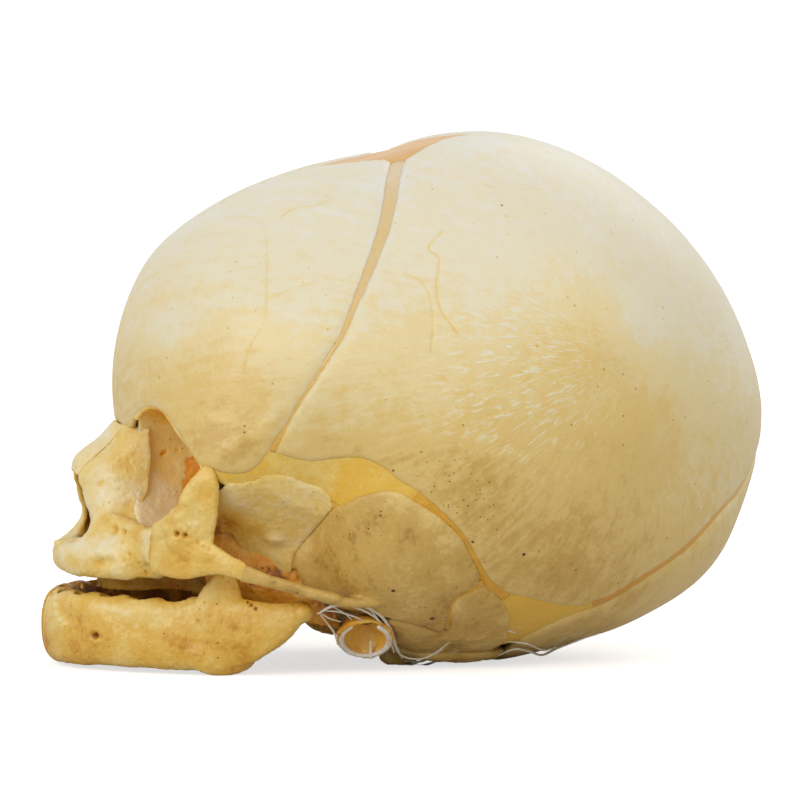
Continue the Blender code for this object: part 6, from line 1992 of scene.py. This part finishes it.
    def maxilla(self) -> Sculpt:
        """The left maxilla."""
        size = self.maxilla_depth, self.maxilla_thickness
        rim = smooth_through(np.array(self.orbit_rim)[3:7], 12)
        parts = [
            *(Stroke(table, *size) for table in (self.alveolar, self.body, self.cheek_root)),
            Sheet(self.process, 1.1),
            Sheet(self.cheek, 2.4),
            *(Stroke(table, *size) for table in (self.rim, self.sill, self.spine)),
            Stroke(self.palate, self.palate_wall, self.palate_wall, (0.0, 1.0, 0.0)),
            Shell(rim, self.mouth(), 0.02, 0.42, rows=12),
        ]
        return Sculpt(
            "maxilla_bone", parts, voxel=0.3, smooth=3, uneven=0.28, fine=0.11, seed=71, tone=0.46,
            tone_swing=0.16, cuts=crypt_eggs(self.crypts), inner_tone=0.3,
            seams=(((0.0, -0.2, 0.0), (0.0, 1.0, 0.0)), (self.cheek_seam, self.cheek_facing)),
            pits=(
                (-52.4, -13.6, 24.9, 0.8, 0.8, 0.3), (-51.0, -15.4, 24.3, 0.6, 0.6, 0.3),
                (-50.6, -13.4, 26.0, 0.5, 0.5, 0.35), (-61.0, -1.5, 20.4, 0.9, 0.8, 0.12),
                (-61.2, -6.2, 19.6, 1.6, -0.35, -0.12), (-53.4, -9.0, 30.4, 0.5, 0.35, 0.2),
                (-54.6, -7.0, 32.4, 0.4, 0.25, 0.2), (-52.0, -10.4, 27.6, 1.6, 0.35, 0.06),
                (-52.0, -18.2, 21.0, 2.2, 0.45, 0.05), (-54.6, -15.0, 21.8, 1.8, -0.35, -0.1),
                (-50.8, -8.8, 36.4, 1.2, 0.3, 0.1),
            ),
            marks=(
                (125.5, 530.4, 0.45, 0.5, 0.3), (124.0, 541.0, 0.35, 0.35, 0.25),
                (130.0, 552.7, 0.3, 0.2, 0.3), (135.5, 532.0, 1.3, 0.2, 0.2),
                (140.7, 562.5, 0.3, 0.2, 0.3), (147.9, 573.0, 0.4, 0.2, 0.25),
                (124.6, 559.8, 0.3, 0.2, 0.3), (97.0, 561.6, 0.9, 0.4, 0.14),
                (104.0, 560.7, 1.0, 0.45, 0.16), (111.5, 560.7, 0.9, 0.4, 0.14),
                (92.5, 555.5, 0.5, -0.2, -0.1), (103.2, 552.5, 0.8, -0.2, -0.1),
                (106.8, 517.9, 0.9, 0.2, 0.16), (101.4, 484.0, 0.7, 0.15, 0.18),
                (104.0, 481.0, 0.25, 0.15, 0.3), (83.6, 542.9, 2.6, -0.1, -0.2),
                (110.0, 500.0, 2.6, -0.1, -0.14), (144.0, 559.0, 2.2, 0.0, -0.12),
                (74.6, 562.5, 1.2, 0.1, 0.14), (132.7, 507.0, 1.2, 0.15, 0.16),
                (122.0, 470.0, 1.5, 0.15, 0.1), (118.0, 486.0, 0.5, -0.2, -0.12),
                (117.5, 476.0, 0.5, -0.2, -0.12), (125.0, 500.0, 0.5, -0.2, -0.1),
                (74.0, 539.3, 0.5, 0.35, 0.4), (116.5, 433.0, 0.8, 0.1, 0.3),
                (131.0, 418.0, 0.6, 0.0, 0.3),
            ),
            tone_spots=(
                (-56, -10, 17, 3.5, 0.06), (-48, -18, 17, 4, 0.12), (-55, -8, 31, 5, -0.14),
                (-51.6, -14, 25.4, 2.5, 0.2), (-46, -14, 28, 5, 0.12), (-50, -8.5, 36, 2.2, 0.18),
                (-60, -6, 20, 3.0, -0.16), (-54, -14, 22.6, 2.4, -0.1), (-49.6, -8.0, 42, 2.5, 0.2),
                (-56, -12, 18.6, 3, 0.1), (-48.4, -18.6, 21.5, 2.5, 0.06),
            ),
        )  # fmt: skip

    def zygomatic(self) -> Sculpt:
        """The left cheek bone."""
        size = self.zygomatic_depth, self.zygomatic_thickness
        parts = [
            Stroke(self.zygomatic_body, *size, square=0.72),
            Stroke(self.zygomatic_rise, *size, (1.0, -0.35, 0.0), 0.72),
            Stroke(self.zygomatic_rim, *size),
        ]
        backward = tuple(-value for value in self.cheek_facing)
        return Sculpt(
            "cheek_bone", parts, voxel=0.28, smooth=5, uneven=0.2, fine=0.08, seed=73, tone=0.6,
            seams=((self.cheek_seam, backward), (self.arch_seam, (0.98, 0.0, -0.20))),
            pits=((-40.6, -32.2, 28.6, 2.2, 0.35, -0.04), (-38.5, -33, 20.2, 1.6, 0.25, 0.06)),
            marks=(
                (178.2, 533.0, 0.5, 0.9, 0.42), (187.1, 534.8, 0.45, 0.9, 0.42),
                (182.0, 525.0, 0.5, -0.25, -0.16), (187.0, 528.5, 0.4, -0.25, -0.14),
                (191.6, 523.2, 0.5, -0.25, -0.16), (196.0, 528.6, 0.4, -0.25, -0.14),
                (197.9, 523.2, 0.5, -0.2, -0.12), (191.6, 532.2, 0.4, -0.2, -0.1),
                (199.6, 541.0, 0.4, 0.3, 0.14), (205.0, 545.5, 0.4, 0.3, 0.14),
                # The marks at (169.3, 527.0), (180.0, 516.0), (185.4, 500.0) and (195.0, 484.0) raise the
                # orbit rim and paint it paler as a painted highlight.
                (210.4, 547.3, 0.4, 0.3, 0.14), (169.3, 527.0, 0.8, -0.3, -0.08),
                (180.0, 516.0, 0.8, -0.3, -0.08), (185.4, 500.0, 0.7, -0.3, -0.08),
                (195.0, 484.0, 0.6, -0.2, -0.06), (207.0, 495.0, 2.0, 0.3, 0.04),
                (177.0, 537.5, 0.5, -0.2, -0.1), (190.0, 561.0, 2.2, 0.1, 0.12),
                (215.0, 562.0, 2.2, 0.0, 0.08), (207.0, 478.0, 0.9, 0.0, -0.05),
            ),
            tone_spots=((-39, -32, 34, 3, 0.04), (-34, -34, 20, 4, 0.08), (-44, -28, 20, 3, 0.08)),
        )  # fmt: skip

    def nasal_bone(self) -> Sculpt:
        """The left nasal bone."""
        return Sculpt(
            "nose_bridge", [Sheet(self.nasal, 1.2)], voxel=0.24, smooth=2, uneven=0.10, fine=0.06, seed=75,
            tone=0.32, seams=(((0.0, -0.05, 0.0), (0.0, 1.0, 0.0)),), pits=(
                (-58.4, -2.0, 35.0, 0.5, 0.3, 0.35),
            ),
            tone_spots=((-50.5, -3, 42, 2.0, 0.16),),
        )  # fmt: skip

    def margin(self, count: int, depth: float) -> Points:
        """Places along the orbit's upper margin, at a depth below the braincase's surface."""
        return CASE.at(unit(smooth_through(aim(self.edges.frontal_orbit), count)), depth)

    def whole_rim(self) -> Points:
        """The rim of the orbit as one ring, from the inner corner over the roof and round."""
        above = self.margin(64, 0.8)[::-4]
        return np.vstack([[self.orbit_corner], above, smooth_through(np.array(self.orbit_rim), 40)])

    def mouth(self) -> Points:
        """The middle of the orbit's opening."""
        return np.vstack([[self.orbit_corner], self.margin(9, 0.8), np.array(self.orbit_rim)]).mean(axis=0)

    def orbit(self) -> Sculpt:
        """The lining of the orbit, with the thick upper margin."""
        rim = evenly(self.whole_rim(), 1.2, closed=True)
        lining = Shell(rim, self.mouth(), 0.03, 0.9, wall=0.9, rows=30, ring=True)
        brow = Stroke(tuple((*point, 0.6, 0.6) for point in self.margin(12, 1.05)), square=1.0)
        return Sculpt(
            "orbit_lining", [lining, brow], voxel=0.36, smooth=4, uneven=0.35, fine=0.1, seed=77, tone=0.14,
            tone_swing=0.14,
            marks=(
                (188.0, 461.6, 0.4, 0.3, 0.6), (191.6, 465.2, 0.35, 0.3, 0.6),
                (195.2, 468.8, 0.4, 0.3, 0.6), (198.8, 466.0, 0.4, 0.3, 0.6),
                (191.6, 470.5, 0.35, 0.3, 0.6), (197.9, 473.2, 0.4, 0.3, 0.6),
                (185.4, 482.0, 0.35, 0.3, 0.6), (188.0, 480.4, 0.35, 0.3, 0.6),
                (165.7, 451.8, 0.35, 0.3, 0.6), (163.0, 453.6, 0.3, 0.3, 0.6),
                (177.3, 449.0, 0.3, 0.2, 0.4), (147.9, 455.4, 0.3, 0.2, 0.4),
                (153.0, 514.0, 3.0, -0.9, -0.1), (137.0, 477.0, 0.7, -0.4, 0.12),
                (142.0, 492.0, 0.7, -0.4, 0.1), (139.0, 485.0, 0.5, 0.4, 0.14),
                (133.5, 503.0, 0.6, 0.3, 0.2),
            ),
            pits=(
                (-44.5, -14, 38.6, 0.8, 0.5, 0.4), (-41, -20, 36.5, 0.7, 0.5, 0.4),
                (-47.8, -8.6, 33, 1.2, 0.7, 0.1), (-45.1, -8.4, 36, 1.0, 0.6, 0.1),
            ),
            # The pale base tone of 0.14 and the paler floor at (-46, -16, 29) are partly the lining's own
            # pale colour and partly painted light that offsets the shade inside the orbit; the two spots at
            # 0.95 give the roof its dark amber.
            tone_spots=(
                (-47, -14, 47, 5, -0.1), (-45, -24, 46, 5, -0.1), (-42.5, -29, 41, 4, -0.2),
                (-48.9, -9, 42, 3, -0.1), (-46, -16, 29, 6.5, -0.14), (-48, -9, 32, 5, -0.06),
                (-44, -17, 42, 7, 0.95), (-41, -25, 37, 5, 0.95), (-30, -12, 34, 9, 0.5),
            ),
        )  # fmt: skip


@dataclass(frozen=True)
class Jaw:
    """The two halves of the mandible, and the cartilage between them."""

    depth: float = 13.2
    thickness: float = 6.6
    symphysis: float = 1.6
    body: Table = (
        (-60.7, -0.4, 7.0, 0.5, 0.5), (-58.8, -6.5, 7.2, 0.505, 0.51), (-54.5, -12.3, 7.3, 0.49, 0.51),
        (-49.0, -16.6, 7.2, 0.485, 0.5), (-43.5, -20.0, 7.1, 0.48, 0.47), (-38.0, -22.6, 7.3, 0.5, 0.39),
        (-32.5, -24.6, 7.6, 0.475, 0.3), (-28.2, -26.2, 8.5, 0.37, 0.27), (-25.4, -27.1, 9.4, 0.29, 0.26),
        (-23.2, -27.8, 10.7, 0.19, 0.27),
    )  # fmt: skip
    coronoid: Table = (
        (-36.0, -22.8, 10.0, 0.33, 0.26), (-35.0, -23.6, 14.5, 0.28, 0.22),
        (-34.5, -24.2, 17.4, 0.16, 0.18),
    )  # fmt: skip
    crypts: Table = (
        (-59.7, -3.4, 13.5, 0.72), (-57.2, -8.5, 13.9, 0.78), (-53.1, -13.1, 13.8, 0.95),
        (-48.0, -16.8, 13.6, 1.1), (-42.4, -20.0, 13.5, 1.15),
    )  # fmt: skip
    condyle: Spot = (-21.3, -28.0, 11.5)
    angle: Spot = (-35.0, -23.8, 3.6)

    def build(self, bench: Bench) -> None:
        """Makes the lower jaw."""
        parts = [
            Stroke(self.body, self.depth, self.thickness),
            Stroke(self.coronoid, self.depth, self.thickness, (1.0, 0.0, 0.0), 1.0),
            Egg(self.condyle, (2.0, 3.3, 2.0)),
            Egg(self.angle, (6.4, 2.0, 3.9)),
        ]
        bench.put(Sculpt(
            "jaw_bone", parts, voxel=0.3, smooth=3, uneven=0.26, fine=0.09, seed=101, tone=0.68,
            tone_swing=0.14, cuts=crypt_eggs(self.crypts), inner_tone=0.28,
            seams=(((0.0, -self.symphysis / 2 - 0.3, 0.0), (0.0, 1.0, 0.0)),),
            pits=((-49, -20.6, 8, 3.5, 0.4, 0.0),),
            marks=(
                (96.0, 634.8, 0.6, 1.3, 0.34), (98.8, 639.6, 0.6, -0.35, -0.16),
                (93.0, 637.0, 0.5, -0.2, -0.08), (64.8, 610.7, 0.9, 0.35, 0.08),
                (67.5, 617.9, 1.0, 0.4, 0.08), (78.0, 621.0, 2.2, 0.5, 0.1),
                (56.8, 596.4, 0.45, -0.15, -0.3), (56.4, 603.6, 0.45, -0.15, -0.3),
                (57.7, 612.5, 0.45, -0.15, -0.3), (61.3, 618.8, 0.45, -0.15, -0.3),
                (65.7, 623.2, 0.45, -0.15, -0.26), (52.3, 592.9, 0.5, 0.4, 0.25),
                # The marks from (96.0, 605.4) to (128.2, 612.5) raise a ridge along the jaw and paint it
                # paler, partly its own pale colour and partly a painted highlight.
                (96.0, 605.4, 1.1, -0.2, -0.22), (106.8, 605.4, 1.1, -0.2, -0.26),
                (117.5, 608.0, 1.1, -0.2, -0.26), (128.2, 612.5, 1.0, -0.2, -0.22),
                (158.0, 611.0, 1.3, -0.1, -0.14), (172.0, 607.0, 1.3, -0.1, -0.12),
                (158.6, 623.2, 1.4, 0.0, -0.16), (171.0, 621.4, 1.3, 0.0, -0.16),
                (199.6, 618.8, 0.45, 0.0, 0.26), (235.4, 625.0, 0.9, 0.0, 0.16),
                (183.6, 616.0, 0.5, 0.0, 0.16), (138.0, 624.0, 0.5, 0.0, -0.2),
                (252.3, 603.6, 0.3, 0.2, 0.6), (256.8, 607.1, 0.3, 0.2, 0.6),
                (248.8, 600.9, 0.25, 0.1, 0.5), (206.0, 601.0, 0.25, 0.1, 0.5),
                (235.4, 650.0, 4.5, 0.0, 0.1), (215.0, 660.0, 3.0, 0.0, 0.06),
                (80.0, 587.0, 1.5, 0.0, 0.14), (120.0, 593.0, 2.0, 0.0, 0.12),
                (165.0, 595.0, 2.0, 0.0, 0.1), (220.0, 590.0, 2.5, 0.3, -0.06),
                (50.0, 640.0, 1.6, 0.0, 0.1),
            ),
            tone_spots=((-61, -6, 8, 3, -0.1), (-44, -24, 5, 5, 0.06)),
        ), Tint.FACE, "mandible", body="mandible")  # fmt: skip
        bench.refine(
            "mandible_symphysis", "chin_cartilage", Tint.MEMBRANE, "mandible", False, voxel=0.25, smooth=2,
            uneven=0.05, seed=103, tone=0.5,
        )  # fmt: skip
        pad = {"voxel": 0.2, "smooth": 1, "uneven": 0.03, "seed": 105, "tone": 0.6}
        bench.refine("jaw_pad", "joint_pad", Tint.MEMBRANE, **pad)


@dataclass(frozen=True)
class Base:
    """The bones of the skull's base, refined from the frame."""

    def build(self, bench: Bench) -> None:
        """Makes the bones of the base."""
        bench.refine(
            "occipital_lateral", "occipital_lateral_part", Tint.TEMPLE, voxel=0.34, smooth=5, uneven=0.3,
            fine=0.12, tone=0.62, seed=111, tone_spots=((15, -15, 2.5, 4, 0.2),),
        )  # fmt: skip
        for name, seed in (("occipital_basilar", 115), ("sphenoid_body", 116)):
            looks = {"voxel": 0.34, "smooth": 5, "uneven": 0.2, "fine": 0.1, "tone": 0.66, "seed": seed}
            bench.refine(name, f"{name}_part", Tint.INNER, pair=False, **looks)
        disc = {"voxel": 0.3, "smooth": 2, "uneven": 0.08, "tone": 0.7, "seed": 119}
        bench.refine("clivus_cartilage", "clivus_disc", Tint.MEMBRANE, pair=False, **disc)


@dataclass(frozen=True)
class Studio:
    """Floor, lamps, backdrop and camera.

    Each row of the lamps holds along, across and up in metres, the lamp's size in metres and its
    power in watts.
    """

    WHITE = (1.0, 1.0, 1.0, 1.0)

    away: float = 4.0
    view_width: float = 0.1416
    aim_height: float = 0.0459
    lamps: Table = (
        (-0.8, -0.75, 0.5, 0.6, 4.6), (0.62, -0.62, 0.95, 0.9, 3.0), (0.6, 0.9, 0.8, 0.8, 1.8),
    )  # fmt: skip
    lamp_target: Spot = (0.0, 0.0, 0.045)
    world: float = 0.56
    floor_reach: float = 6.0
    floor_grey: float = 0.68
    floor_lift: float = 0.66

    def build(self) -> None:
        """Makes the studio."""
        self.floor()
        for index, row in enumerate(self.lamps):
            self.lamp(f"soft_lamp_{index + 1}", row)
        self.backdrop()
        self.camera()
        bpy.context.scene.view_settings.view_transform = "Standard"

    def floor(self) -> None:
        """A wide pale floor, lifted to white where the camera sees it."""
        mesh = bpy.data.meshes.new("floor")
        low, high = -self.floor_reach, self.floor_reach
        mesh.from_pydata([(low, low, 0), (high, low, 0), (high, high, 0), (low, high, 0)], [], [(0, 1, 2, 3)])
        floor = placed("floor", mesh)
        made = bpy.data.materials.new("pale floor")
        made.use_nodes = True
        tree = made.node_tree
        shader = tree.nodes["Principled BSDF"]
        shader.inputs["Base Color"].default_value = (*[self.floor_grey] * 3, 1.0)
        shader.inputs["Roughness"].default_value = 0.9
        shader.inputs["Emission Color"].default_value = self.WHITE
        patch = Patch(tree)
        lift = patch.times(patch.node("LightPath", {}).outputs["Is Camera Ray"], self.floor_lift)
        tree.links.new(lift, shader.inputs["Emission Strength"])
        mesh.materials.append(made)

    def lamp(self, name: str, row: tuple[float, ...]) -> None:
        """One soft lamp that looks at the skull.

        Args:
            name: name of the lamp.
            row: a row of the lamps' table.
        """
        *place, size, power = row
        light = bpy.data.lights.new(name, "AREA")
        light.size = size
        light.energy = power
        lamp = placed(name, light)
        lamp.location = place
        lamp.rotation_euler = (Vector(self.lamp_target) - Vector(place)).to_track_quat("-Z", "Y").to_euler()

    def backdrop(self) -> None:
        """A pale world that is white where the camera sees it, also through or in a surface."""
        world = bpy.data.worlds.new("backdrop")
        bpy.context.scene.world = world
        world.use_nodes = True
        tree = world.node_tree
        shader = tree.nodes["Background"]
        shader.inputs["Color"].default_value = self.WHITE
        patch = Patch(tree)
        path = patch.node("LightPath", {}).outputs
        rays = patch.add(path["Is Camera Ray"], path["Is Glossy Ray"])
        rays = patch.add(rays, path["Is Transmission Ray"])
        seen = patch.node("MapRange", {"Value": rays, "To Min": self.world, "To Max": 1.0})
        tree.links.new(seen.outputs["Result"], shader.inputs["Strength"])

    def camera(self) -> None:
        """A camera with a long lens, far to the left of the skull, that looks as the photograph does."""
        right, up, ahead = (Vector(axis) for axis in SIGHT.axes())
        lens = bpy.data.cameras.new("camera")
        lens.lens = lens.sensor_width * self.away / self.view_width
        lens.clip_end = 20.0
        camera = placed("camera", lens)
        place = up * self.aim_height - ahead * self.away
        camera.matrix_world = Matrix.Translation(place) @ Matrix((right, up, -ahead)).transposed().to_4x4()
        bpy.context.scene.camera = camera


def main() -> None:
    """Builds the skull over its frame."""
    logging.basicConfig(level=logging.INFO, format="%(name)s: %(message)s")
    for old in list(bpy.data.objects):
        bpy.data.objects.remove(old)
    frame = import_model()
    edges = Edges()
    bench = Bench(frame["nodes"], {finish.tint: finish.make() for finish in FINISHES})
    for group in (Vault(edges), Temple(edges), Face(edges), Jaw(), Base()):
        group.build(bench)
    for piece in bench.made:
        material = piece.data.materials[0].name
        log.info("%s: %d faces, %s", piece.name, len(piece.data.polygons), material)
    Studio().build()


if __name__ == "__main__":
    main()
